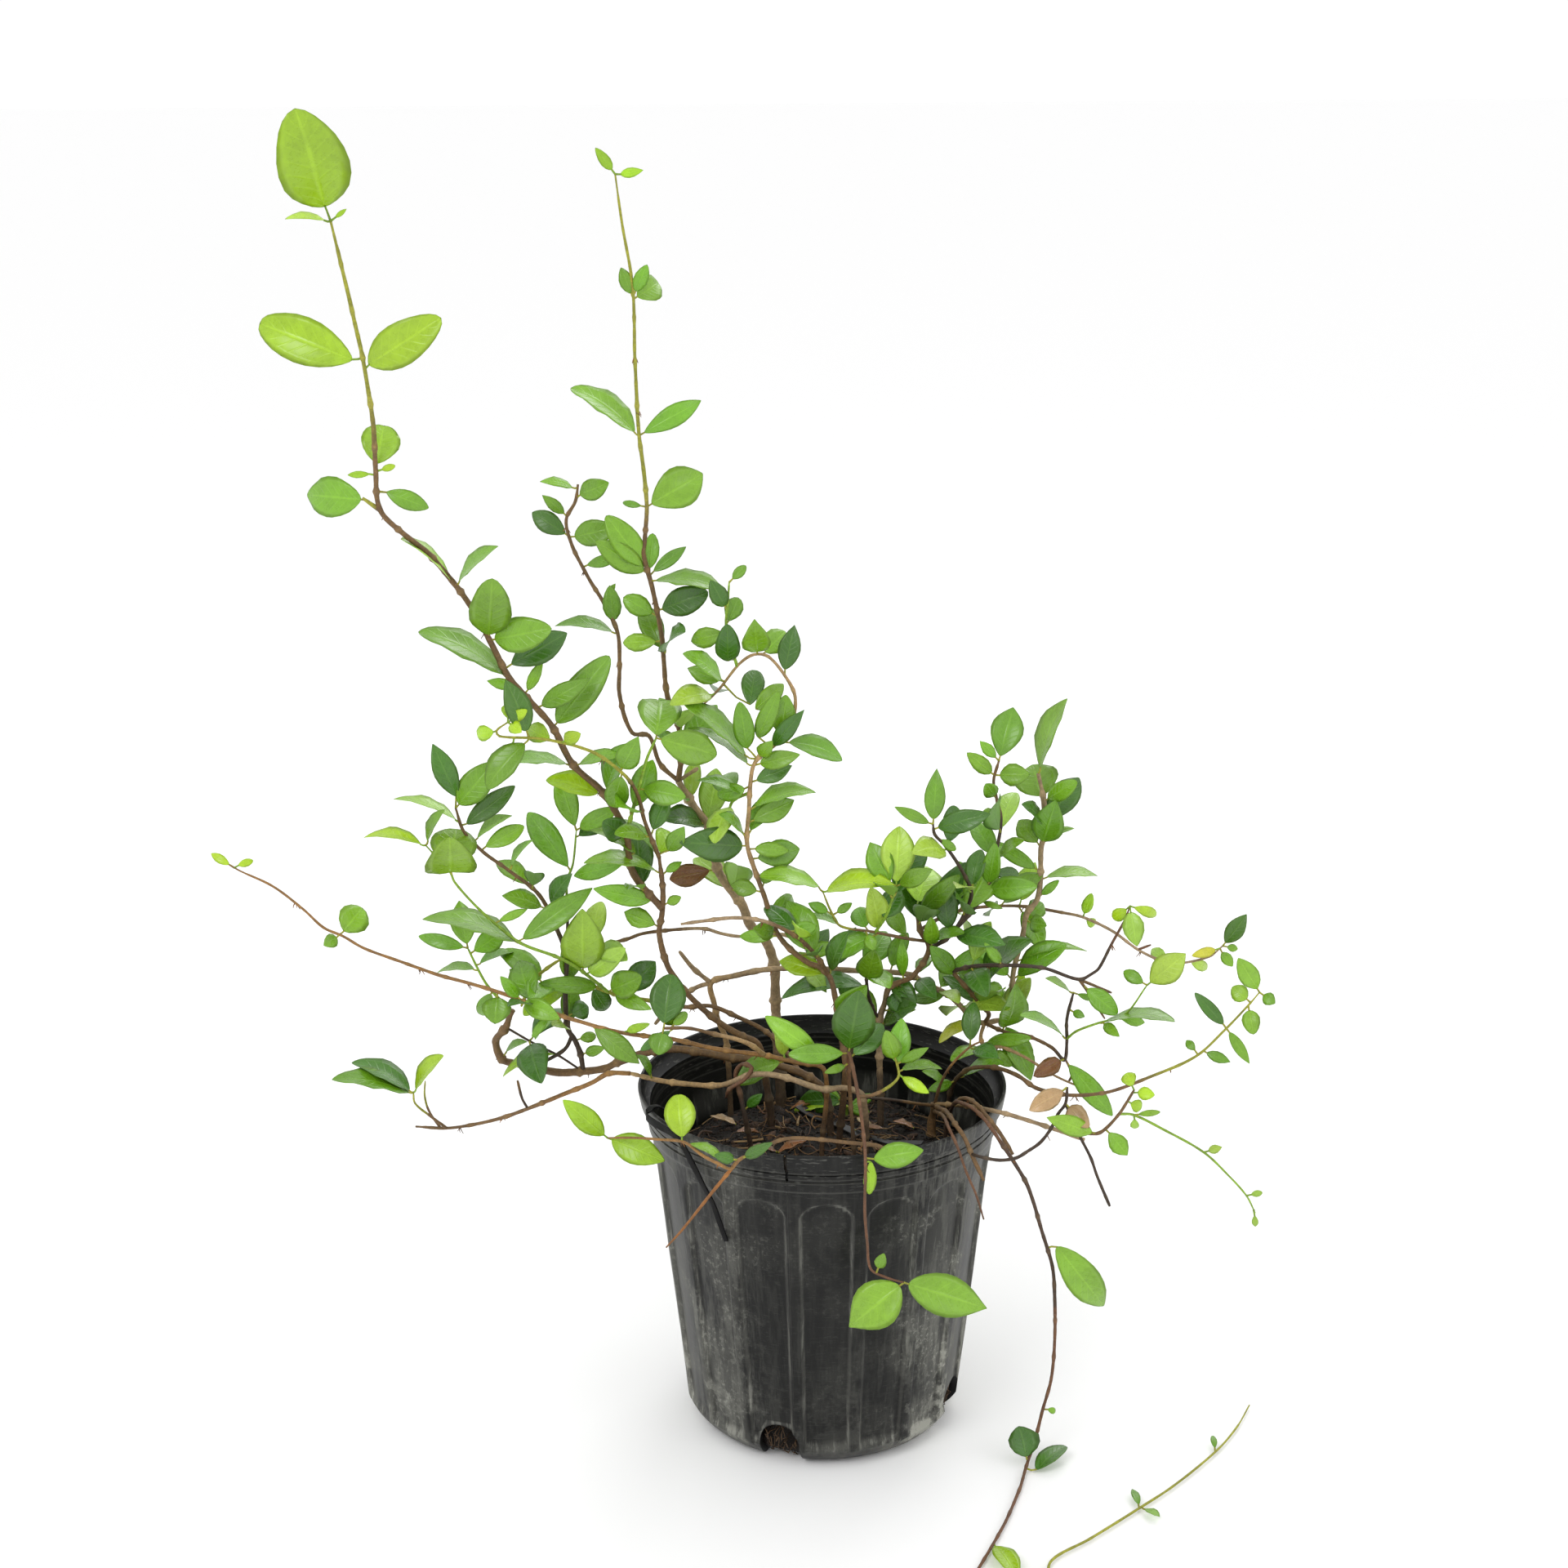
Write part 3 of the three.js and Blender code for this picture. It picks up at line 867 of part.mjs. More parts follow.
function potSolid() {
  const fluteShare = (k, z) => {
    if (k === 0 || k === 4) return 0;
    const top = k === 2 ? FLUTE_TOP : FLUTE_TOP - FLUTE_ARCH;
    if (z > top + 0.1 || z < FLUTE_BOTTOM - 0.1) return 0;
    return 1;
  };
  const [ringHigh, ringLow] = RING_HEIGHTS;
  const shoulder = FLUTE_TOP - FLUTE_ARCH;
  const lipExtra = LIP_RADIUS - WALL_TOP_RADIUS - 0.8;
  const fluted = (z) => columns.map(({ angle, k }) =>
    around(angle, wallRadius(z) - FLUTE_DEPTH * fluteShare(k, z) + lipShift(angle, z), z));
  const plain = (z, extra) => plainAngles.map((angle) =>
    around(angle, wallRadius(z) + extra + lipShift(angle, z), z));
  const outer = [
    plain(0, 0),
    plain(4, 0),
    plain(WALL_LOW_HEIGHT, 0),
    ...[FLUTE_BOTTOM, shoulder, shoulder + 2, FLUTE_TOP, FLUTE_TOP + 2].map(fluted),
    plain(ringLow, 0),
    plain(ringLow + 0.8, RING_DEPTH),
    plain(ringHigh, RING_DEPTH),
    plain(POT_HEIGHT - LIP_BAND, RING_DEPTH),
    plain(POT_HEIGHT - LIP_BAND + 0.8, 2.6),
    plain(POT_HEIGHT, lipExtra),
  ];
  const inner = [
    plain(POT_HEIGHT, lipExtra - WALL),
    plain(POT_HEIGHT - LIP_BAND, -WALL),
    plain(SOIL_TOP - 6, -WALL - FLUTE_DEPTH),
    plain(WALL_LOW_HEIGHT + 3, -WALL - FLUTE_DEPTH),
    plain(FLOOR, -WALL - FLUTE_DEPTH - FLOOR_CURVE),
  ];
  return solidOf(skin([...outer, ...inner]));
}

// A prism with an arched top that points outwards through the wall at the given angle.
function drainCutter(angle) {
  const arch = new THREE.Shape();
  const radius = DRAIN_WIDTH / 2;
  arch.moveTo(-radius, -1);
  arch.lineTo(radius, -1);
  arch.lineTo(radius, DRAIN_TOP - radius);
  arch.absarc(0, DRAIN_TOP - radius, radius, 0, Math.PI, false);
  arch.closePath();
  const prism = new THREE.ExtrudeGeometry(arch, { depth: 40, bevelEnabled: false, curveSegments: 3 });
  prism.rotateX(Math.PI / 2);
  prism.translate(0, -(FOOT_RADIUS - 6), 0);
  prism.rotateZ(degrees(angle));
  return solidOf(prism);
}

function soilSolid(vines) {
  const ring = (radiusAt, z) => plainAngles.map((angle) => around(angle, radiusAt(angle), z));
  const inside = (z, extra) => (angle) =>
    wallRadius(z) - WALL - FLUTE_DEPTH - extra - SOIL_GAP + lipShift(angle, z);
  const rings = [
    ring(inside(FLOOR, FLOOR_CURVE), FLOOR + SOIL_GAP),
    ring(inside(WALL_LOW_HEIGHT + 3, 0), WALL_LOW_HEIGHT + 3),
    ring(inside(SOIL_TOP - 6, 0), SOIL_TOP - 6),
    ring((angle) => 60 + 4 * Math.sin(degrees(3 * angle)), SOIL_TOP),
    ring((angle) => 34 + 5 * Math.sin(degrees(2 * angle + 40)), SOIL_TOP + SOIL_MOUND * 0.7),
    [new THREE.Vector3(4, 4, SOIL_TOP + SOIL_MOUND)],
  ];
  let soil = solidOf(skin(rings));
  for (const { stems } of vines) {
    for (const { root, girth } of stems) {
      if (!root) continue;
      const hole = new THREE.CylinderGeometry(girth[0] + HOLE_CLEARANCE, girth[0] + HOLE_CLEARANCE, 60, 6);
      hole.rotateX(Math.PI / 2);
      hole.translate(root[0], root[1], HOLE_FLOOR + 30);
      soil = soil.subtract(solidOf(hole));
    }
  }
  return soil;
}

// A flat strip of plastic tie through the points, its broad side square to normalAt, which narrows evenly.
function strip(points, widths, thickness, normalAt) {
  const path = points.map((p) => new THREE.Vector3(...p));
  const rings = path.map((middle, i) => {
    const ahead = path[Math.min(i + 1, path.length - 1)];
    const behind = path[Math.max(i - 1, 0)];
    const along = new THREE.Vector3().subVectors(ahead, behind).normalize();
    const across = new THREE.Vector3().crossVectors(along, normalAt(middle)).normalize();
    const normal = new THREE.Vector3().crossVectors(across, along);
    const width = THREE.MathUtils.lerp(widths[0], widths[1], i / (path.length - 1));
    return [[-1, -1], [-1, 1], [1, 1], [1, -1]].map(([a, b]) =>
      middle.clone().addScaledVector(across, (a * width) / 2).addScaledVector(normal, (b * thickness) / 2));
  });
  return solidOf(skin(rings));
}

const group = new THREE.Group();
group.name = "potted_asiatic_jasmine";

function addPart(name, solid, colour, roughness) {
  const material = new THREE.MeshStandardMaterial({ color: colour, roughness, metalness: 0 });
  const mesh = new THREE.Mesh(geometryFrom(solid), material);
  mesh.name = name;
  group.add(mesh);
}

let pot = potSolid();
for (let i = 0; i < DRAIN_COUNT; i++) {
  pot = pot.subtract(drainCutter(DRAIN_FIRST_ANGLE + (360 / DRAIN_COUNT) * i));
}
const slit = new THREE.BoxGeometry(SLIT_WIDTH, 12, 2 * SLIT_DEPTH);
slit.translate(0, -LIP_RADIUS + 1, POT_HEIGHT);
slit.rotateZ(degrees(SLIT_ANGLE));
pot = pot.subtract(solidOf(slit));
addPart("pot", pot.simplify(0.04), 0x26282a, 0.6);
addPart("soil", soilSolid(Object.values(VINES)), 0x3a2a20, 1.0);

Object.entries(VINES).forEach(([name, vine], i) => {
  addPart(name, growVine(vine, 100 * (i + 1)), vine.colour, 0.7);
});

const upwards = () => new THREE.Vector3(0, 0, 1);
const overRim = (p) => (p.z > POT_HEIGHT ? upwards() : new THREE.Vector3(p.x, p.y, 0));
addPart("strip_front", strip(STRIP_FRONT, [4.5, 4.5], STRIP_THICKNESS, upwards), 0x202022, 0.5);
addPart("strip_left", strip(STRIP_LEFT, [3, 1.2], STRIP_THICKNESS, overRim), 0x202022, 0.5);

export default group;
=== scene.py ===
# %% [markdown]
# A potted Asiatic jasmine
#
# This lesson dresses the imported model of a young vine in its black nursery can. The solids of the can, the
# soil, the leafy stems and the two plastic strips are loaded as a fixed frame. Every stem is then grown
# again as a finer piece in the same place: round wiry bark, veined blades, leaf stalks and rootlets.

# %% Load the frame
import math

import bmesh
import bpy
import numpy as np
from mathutils import Matrix, Vector, noise


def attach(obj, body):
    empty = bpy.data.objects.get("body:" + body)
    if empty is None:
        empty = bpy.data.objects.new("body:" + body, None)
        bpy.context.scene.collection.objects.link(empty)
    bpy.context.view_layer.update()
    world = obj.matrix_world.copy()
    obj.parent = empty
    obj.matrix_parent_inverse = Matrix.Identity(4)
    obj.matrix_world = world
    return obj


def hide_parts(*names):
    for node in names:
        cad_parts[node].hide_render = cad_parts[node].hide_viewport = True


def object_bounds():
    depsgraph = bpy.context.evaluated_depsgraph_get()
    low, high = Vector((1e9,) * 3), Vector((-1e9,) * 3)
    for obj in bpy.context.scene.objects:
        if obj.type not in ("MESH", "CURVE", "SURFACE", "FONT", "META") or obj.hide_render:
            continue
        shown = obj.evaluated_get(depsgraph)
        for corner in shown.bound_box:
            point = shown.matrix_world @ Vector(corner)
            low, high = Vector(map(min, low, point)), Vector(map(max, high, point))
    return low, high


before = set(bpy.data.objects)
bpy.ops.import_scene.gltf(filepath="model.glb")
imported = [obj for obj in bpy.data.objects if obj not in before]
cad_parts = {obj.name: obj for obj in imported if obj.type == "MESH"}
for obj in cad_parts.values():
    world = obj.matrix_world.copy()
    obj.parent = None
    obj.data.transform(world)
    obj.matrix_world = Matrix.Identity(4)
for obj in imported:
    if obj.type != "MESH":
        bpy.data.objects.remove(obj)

CAD_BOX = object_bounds()
MM = 0.001
print("the solids reach from", CAD_BOX[0], "to", CAD_BOX[1])

# %% [markdown]
# The camera
#
# The photograph looks a little down at the can from about a metre away. A long lens flattens the plant, so
# the place, the tilt and the lens are given as the values that make the can and its vines land where they
# do in the photograph. A Blender camera looks along its own -Z axis, so its matrix is built from the three
# directions right, up and back.

# %% The camera
EYE = Vector((0.0, -1.055, 0.615))
PITCH_DOWN = math.radians(16.2)
YAW = math.radians(-0.9)
ROLL = math.radians(-0.4)


def new_piece(name, data):
    piece = bpy.data.objects.new(name, data)
    bpy.context.scene.collection.objects.link(piece)
    return piece


level = math.cos(PITCH_DOWN)
ahead = Vector((math.sin(YAW) * level, math.cos(YAW) * level, -math.sin(PITCH_DOWN)))
level_right = Vector((math.cos(YAW), -math.sin(YAW), 0.0))
level_up = level_right.cross(ahead)
right = level_right * math.cos(ROLL) + level_up * math.sin(ROLL)
up = level_up * math.cos(ROLL) - level_right * math.sin(ROLL)

camera_data = bpy.data.cameras.new("camera")
camera_data.lens = 56.25
camera_data.sensor_width = 36.0
camera_data.clip_start = 0.05
camera_data.clip_end = 50.0
camera = new_piece("camera", camera_data)
camera.matrix_world = Matrix.Translation(EYE) @ Matrix((right, up, -ahead)).transposed().to_4x4()
bpy.context.scene.camera = camera
print("the camera looks from", tuple(EYE))

# %% [markdown]
# A helper for node trees
#
# Both Geometry Nodes and materials are trees of small boxes joined by links. Writing each box out takes
# many lines, so this helper adds a box, sets its choices, and links or sets its inputs. Noise mostly stays
# between 0.3 and 0.7, so spread() stretches that part over any other range.

# %% The helper for node trees
class Boxes:
    def __init__(self, tree):
        self.tree = tree

    def fill(self, box, values):
        """Links or sets inputs of a box, in order or by name."""
        for key, value in values.items() if isinstance(values, dict) else enumerate(values):
            if isinstance(value, bpy.types.NodeSocket):
                self.tree.links.new(value, box.inputs[key])
            else:
                box.inputs[key].default_value = value

    def outputs(self, kind, values=(), **choices):
        """Adds a box and gives all its outputs."""
        box = self.tree.nodes.new(kind)
        for key, choice in choices.items():
            setattr(box, key, choice)
        self.fill(box, values)
        return box.outputs

    def add(self, kind, values=(), output=0, **choices):
        """Adds a box and gives one of its outputs."""
        return self.outputs(kind, values, **choices)[output]

    def math(self, operation, *values, clamp=False):
        return self.add("ShaderNodeMath", values, operation=operation, use_clamp=clamp)

    def times(self, first, *others):
        for other in others:
            first = self.math("MULTIPLY", first, other)
        return first

    def plus(self, first, *others):
        for other in others:
            first = self.math("ADD", first, other)
        return first

    def minus(self, first, second):
        return self.math("SUBTRACT", first, second)

    def vector(self, operation, *values):
        return self.add("ShaderNodeVectorMath", values, operation=operation)

    def scaled(self, vector, factor):
        return self.add("ShaderNodeVectorMath", {0: vector, "Scale": factor}, operation="SCALE")

    def split(self, vector):
        return self.outputs("ShaderNodeSeparateXYZ", [vector])

    def joined(self, x, y, z):
        return self.add("ShaderNodeCombineXYZ", [x, y, z])

    def smooth(self, value, low, high, start=0.0, end=1.0):
        keys = {"Value": value, "From Min": low, "From Max": high, "To Min": start, "To Max": end}
        return self.add("ShaderNodeMapRange", keys, interpolation_type="SMOOTHSTEP")

    def spread(self, noise_value, start=0.0, end=1.0):
        return self.smooth(noise_value, 0.3, 0.7, start, end)

    def noise(self, vector, scale, detail=3.0, roughness=0.55):
        keys = {"Vector": vector, "Scale": scale, "Detail": detail, "Roughness": roughness}
        return self.add("ShaderNodeTexNoise", keys)


# %% The helper for materials
class Finish(Boxes):
    """A material, with the boxes that only materials have."""

    def __init__(self, title):
        self.material = bpy.data.materials.new(title)
        self.material.use_nodes = True
        super().__init__(self.material.node_tree)

    def where(self):
        return self.add("ShaderNodeTexCoord", output="Object")

    def stored(self, name, output="Fac"):
        return self.add("ShaderNodeAttribute", output=output, attribute_name=name)

    def blend(self, share, first, second):
        """Two colours mixed; sockets 6 and 7 of the Mix box are its colours, and output 2 the result."""
        return self.add("ShaderNodeMix", {0: share, 6: first, 7: second}, 2, data_type="RGBA")

    def coat(self, colour, roughness, shine=0.5, bump=None):
        """Fills the main shader. A bump is its strength, distance and height."""
        keys = {"Base Color": colour, "Roughness": roughness, "Specular IOR Level": shine}
        if bump:
            parts = dict(zip(("Strength", "Distance", "Height"), bump))
            keys["Normal"] = self.add("ShaderNodeBump", parts, "Normal")
        self.fill(self.tree.nodes["Principled BSDF"], keys)
        return self.material


# %% [markdown]
# Growing with Geometry Nodes
#
# A Geometry Nodes tree is a modifier's recipe. Its sizes are named inputs, which the modifier knows by
# their identifiers. Once the tree has run, the result is kept as a plain mesh and the modifier is removed.

# %% The helper for trees that grow things
def settle(piece):
    """Keeps what a piece's modifiers make of it as its plain mesh, and removes them."""
    depsgraph = bpy.context.evaluated_depsgraph_get()
    mesh = bpy.data.meshes.new_from_object(piece.evaluated_get(depsgraph), depsgraph=depsgraph)
    piece.modifiers.clear()
    piece.data = mesh


class GrowthTree(Boxes):
    """A Geometry Nodes tree with named inputs."""

    def __init__(self, title, sizes):
        super().__init__(bpy.data.node_groups.new(title, "GeometryNodeTree"))
        face = self.tree.interface
        face.new_socket("Geometry", in_out="INPUT", socket_type="NodeSocketGeometry")
        self.keys = {}
        for name, kind, value in sizes:
            socket = face.new_socket(name, in_out="INPUT", socket_type="NodeSocket" + kind)
            socket.default_value = value
            self.keys[name] = socket.identifier
        face.new_socket("Geometry", in_out="OUTPUT", socket_type="NodeSocketGeometry")
        self.given = self.tree.nodes.new("NodeGroupInput").outputs
        self.spot = self.add("GeometryNodeInputPosition")

    def named(self, name, kind="FLOAT"):
        return self.add("GeometryNodeInputNamedAttribute", {"Name": name}, data_type=kind)

    def store(self, geometry, name, value, domain="POINT"):
        keys = {"Geometry": geometry, "Name": name, "Value": value}
        return self.add("GeometryNodeStoreNamedAttribute", keys, data_type="FLOAT", domain=domain)

    def move(self, geometry, **where):
        return self.add("GeometryNodeSetPosition", {"Geometry": geometry, **where})

    def join(self, parts):
        whole = self.tree.nodes.new("GeometryNodeJoinGeometry")
        for part in parts:
            self.tree.links.new(part, whole.inputs[0])
        return whole.outputs[0]

    def realize(self, geometry):
        return self.add("GeometryNodeRealizeInstances", [geometry])

    def shade_smooth(self, geometry):
        return self.add("GeometryNodeSetShadeSmooth", {"Geometry": geometry, "Shade Smooth": True})

    def dress(self, geometry, finish):
        return self.add("GeometryNodeSetMaterial", {"Geometry": self.realize(geometry), "Material": finish})

    def close(self, geometry):
        self.tree.links.new(geometry, self.tree.nodes.new("NodeGroupOutput").inputs[0])
        return self

    def grow(self, base, **sizes):
        """Runs the tree on a piece."""
        step = base.modifiers.new("grow", "NODES")
        step.node_group = self.tree
        for name, value in sizes.items():
            step[self.keys[name]] = value
        settle(base)


# %% [markdown]
# Light and floor
#
# The plant was photographed on a white sweep under large soft lamps. A pale floor, a bright even sky and
# three wide area lamps give the same gentle shadows, and leave every leaf readable. The picture is shown
# with the Standard view, which keeps greens as saturated as they are and white as white.

# %% Light and floor
FLOOR_HALF = 60.0
FLOOR_DROP = 0.0002

floor_mesh = bpy.data.meshes.new("floor")
floor_corners = [(x * FLOOR_HALF, y * FLOOR_HALF, -FLOOR_DROP) for x, y in ((-1, -1), (1, -1), (1, 1), (-1, 1))]
floor_mesh.from_pydata(floor_corners, [], [(0, 1, 2, 3)])
floor_mesh.materials.append(Finish("pale floor").coat((0.97, 0.97, 0.97, 1.0), 0.9))
floor = new_piece("floor", floor_mesh)

sky = bpy.data.worlds.new("studio")
sky.use_nodes = True
sky.node_tree.nodes["Background"].inputs["Color"].default_value = (1.0, 1.0, 1.0, 1.0)
sky.node_tree.nodes["Background"].inputs["Strength"].default_value = 1.02
bpy.context.scene.world = sky
bpy.context.scene.view_settings.view_transform = "Standard"

LAMPS = (
    ("key lamp", (-0.9, -1.3, 1.7), 0.2, 1.0, 10.0),
    ("fill lamp", (1.5, -1.0, 1.1), 0.2, 1.2, 3.0),
    ("rim lamp", (0.5, 1.4, 1.4), 0.25, 1.0, 6.0),
)
for title, stand, aim_height, size, power in LAMPS:
    lamp_data = bpy.data.lights.new(title, "AREA")
    lamp_data.shape = "DISK"
    lamp_data.size = size
    lamp_data.energy = power
    lamp = new_piece(title, lamp_data)
    lamp.location = stand
    lamp.rotation_euler = (Vector((0, 0, aim_height)) - Vector(stand)).to_track_quat("-Z", "Y").to_euler()
print(len(LAMPS), "soft lamps and an even sky")

# %% [markdown]
# The colours of leaves and bark
#
# New leaves at the tips are yellow-green, grown ones mid green, and old shaded ones dark and bluish. Bark
# goes from fresh green through olive to brown, tan or grey. Each leaf and stem stores its own colour as an
# attribute named tint, so one material serves them all and still no two leaves are quite alike.

# %% Colours by name
def srgb(red, green, blue):
    """A colour given from 0 to 255, as the linear light that Blender mixes."""
    def linear(value):
        value = value / 255
        return value / 12.92 if value <= 0.04045 else ((value + 0.055) / 1.055) ** 2.4
    return (linear(red), linear(green), linear(blue), 1.0)


LEAF_COLOURS = {
    "bright": srgb(148, 192, 20),
    "": srgb(104, 156, 27),
    "dark": srgb(60, 108, 22),
    "pale": srgb(146, 186, 62),
    "fresh": srgb(120, 166, 34),
    "yellow": srgb(190, 200, 48),
    "dead": srgb(118, 74, 32),
    "tan": srgb(160, 136, 100),
}
BARK_COLOURS = {
    "brown": srgb(110, 83, 50),
    "grey": srgb(154, 130, 98),
    "tan": srgb(160, 130, 88),
    "ochre": srgb(140, 102, 54),
    "dark": srgb(62, 47, 34),
    "red": srgb(104, 70, 46),
    "orange": srgb(144, 92, 40),
    "olive": srgb(148, 148, 46),
    "green": srgb(130, 164, 46),
}
print(len(LEAF_COLOURS), "leaf colours and", len(BARK_COLOURS), "bark colours")

# %% [markdown]
# Leaf blades
#
# A jasmine leaf is leathery: a deep waxy green on top with a pale midrib and curved side veins, and a flat
# lighter green below. The veins come from the blade's own coordinates, stored while it is grown: blade_u
# runs from edge to edge, blade_v from stalk to tip, and blade_top says which side a face is on. The side
# veins are lines of equal blade_v that lean towards the tip as they near the edge.

# %% The leaf finish
SIDE_VEINS = 8.0


def leaf_finish():
    boxes = Finish("jasmine leaf")
    across = boxes.math("ABSOLUTE", boxes.stored("blade_u"))
    along = boxes.stored("blade_v")
    on_top = boxes.stored("blade_top")
    place = boxes.where()

    midrib = boxes.smooth(across, 0.02, 0.11, 1.0, 0.0)
    rows = boxes.times(boxes.minus(along, boxes.times(across, 0.22)), SIDE_VEINS)
    row = boxes.math("ABSOLUTE", boxes.minus(boxes.math("FRACT", rows), 0.5))
    side_vein = boxes.times(boxes.smooth(row, 0.02, 0.13, 1.0, 0.0), boxes.smooth(across, 0.55, 0.95, 1.0, 0.0))
    vein = boxes.math("MAXIMUM", midrib, boxes.times(side_vein, 0.5))

    mottle = boxes.noise(place, 420.0, 4.0)
    cloud = boxes.noise(place, 60.0, 2.0)
    shade = boxes.plus(boxes.spread(mottle, 0.94, 1.06), boxes.spread(cloud, -0.1, 0.1))
    toned = boxes.scaled(boxes.stored("tint", "Color"), shade)
    lighter = boxes.vector("ADD", boxes.scaled(toned, 1.25), (0.05, 0.07, 0.015))
    veined = boxes.blend(boxes.times(vein, 0.42), toned, lighter)
    below = boxes.vector("ADD", boxes.scaled(toned, 0.95), (0.07, 0.085, 0.035))
    colour = boxes.blend(on_top, below, veined)

    dull = boxes.times(boxes.minus(1.0, on_top), 0.25)
    roughness = boxes.plus(boxes.spread(mottle, 0.25, 0.33), dull)
    height = boxes.minus(boxes.times(cloud, 0.4), vein)
    return boxes.coat(colour, roughness, shine=0.62, bump=(0.5, 0.0003, height))


LEAF_FINISH = leaf_finish()
print("the leaf finish has", len(LEAF_FINISH.node_tree.nodes), "boxes")

# %% [markdown]
# Bark
#
# The wiry stems have thin bark: fine grain and small pale pores. Where the stems swell at the joints, a paler
# ring is painted on as a painted highlight. One noise makes the grain, a second, cut off high, makes the
# pores, and the rings come from an attribute named joint.

# %% The bark finish
def bark_finish():
    boxes = Finish("jasmine bark")
    place = boxes.where()
    grain = boxes.noise(place, 700.0, 5.0, 0.7)
    patches = boxes.noise(place, 90.0)
    pores = boxes.smooth(boxes.noise(place, 1100.0, 1.0), 0.64, 0.7)
    shade = boxes.times(boxes.spread(grain, 0.68, 1.22), boxes.spread(patches, 0.78, 1.16))
    toned = boxes.scaled(boxes.stored("tint", "Color"), shade)
    pale = boxes.vector("ADD", boxes.scaled(toned, 1.3), (0.07, 0.058, 0.036))
    mixed = boxes.blend(boxes.times(pores, 0.55), toned, pale)
    # Painted highlight: the joints, where the stems swell, are mixed towards a paler colour.
    ring = boxes.vector("ADD", pale, (0.03, 0.02, 0.0))
    colour = boxes.blend(boxes.times(boxes.stored("joint"), 0.45), mixed, ring)
    return boxes.coat(colour, boxes.spread(grain, 0.55, 0.8), bump=(0.6, 0.0002, grain))


BARK_FINISH = bark_finish()
print("the bark finish has", len(BARK_FINISH.node_tree.nodes), "boxes")

# %% [markdown]
# The plant's own measurements
#
# Every vine is measured the way it is seen: as pairs (x, z) in millimetres on an upright sheet through the
# middle of the can, looked at from the camera's place. A third number is the depth y, with the floor runner
# far in front and the back of the plant behind; where it is left out, it changes evenly between its
# neighbours. place() slides such a point along its line of sight until it lies at that depth, and seen()
# does the reverse.

# %% From the sheet to the room
EYE_Y = -1055.0
EYE_Z = 615.0


def place(x, z, depth):
    scale = (depth - EYE_Y) / -EYE_Y
    return Vector((x * scale, depth, EYE_Z + (z - EYE_Z) * scale))


def seen(x, y, z):
    scale = (y - EYE_Y) / -EYE_Y
    return (x / scale, EYE_Z + (z - EYE_Z) / scale, y)


# A real place in mm, as it is seen on the sheet, to a tenth of a millimetre as in the list.
def listed(x, y, z):
    return tuple(round(value, 1) for value in seen(x, y, z))


def chance(n):
    """A number from 0 to 1 that is always the same for the same n."""
    value = math.sin(n * 12.9898) * 43758.5453
    return value - math.floor(value)


# %% [markdown]
# The vines
#
# Each vine is a list of stems and a list of leaves. A stem is its girth, its bark, its route and, if it
# stands in the soil, where; any other grows from the nearest stem before it. Girth is the radius at both
# ends in millimetres. Bark names the first and last colour and the share of the length at which one turns
# into the other, or just one colour. A leaf is its stalk end, its tip, its width as seen, and then, where
# they matter, how far its tip lies behind its stalk end, the name of its colour and the shape of its tip.

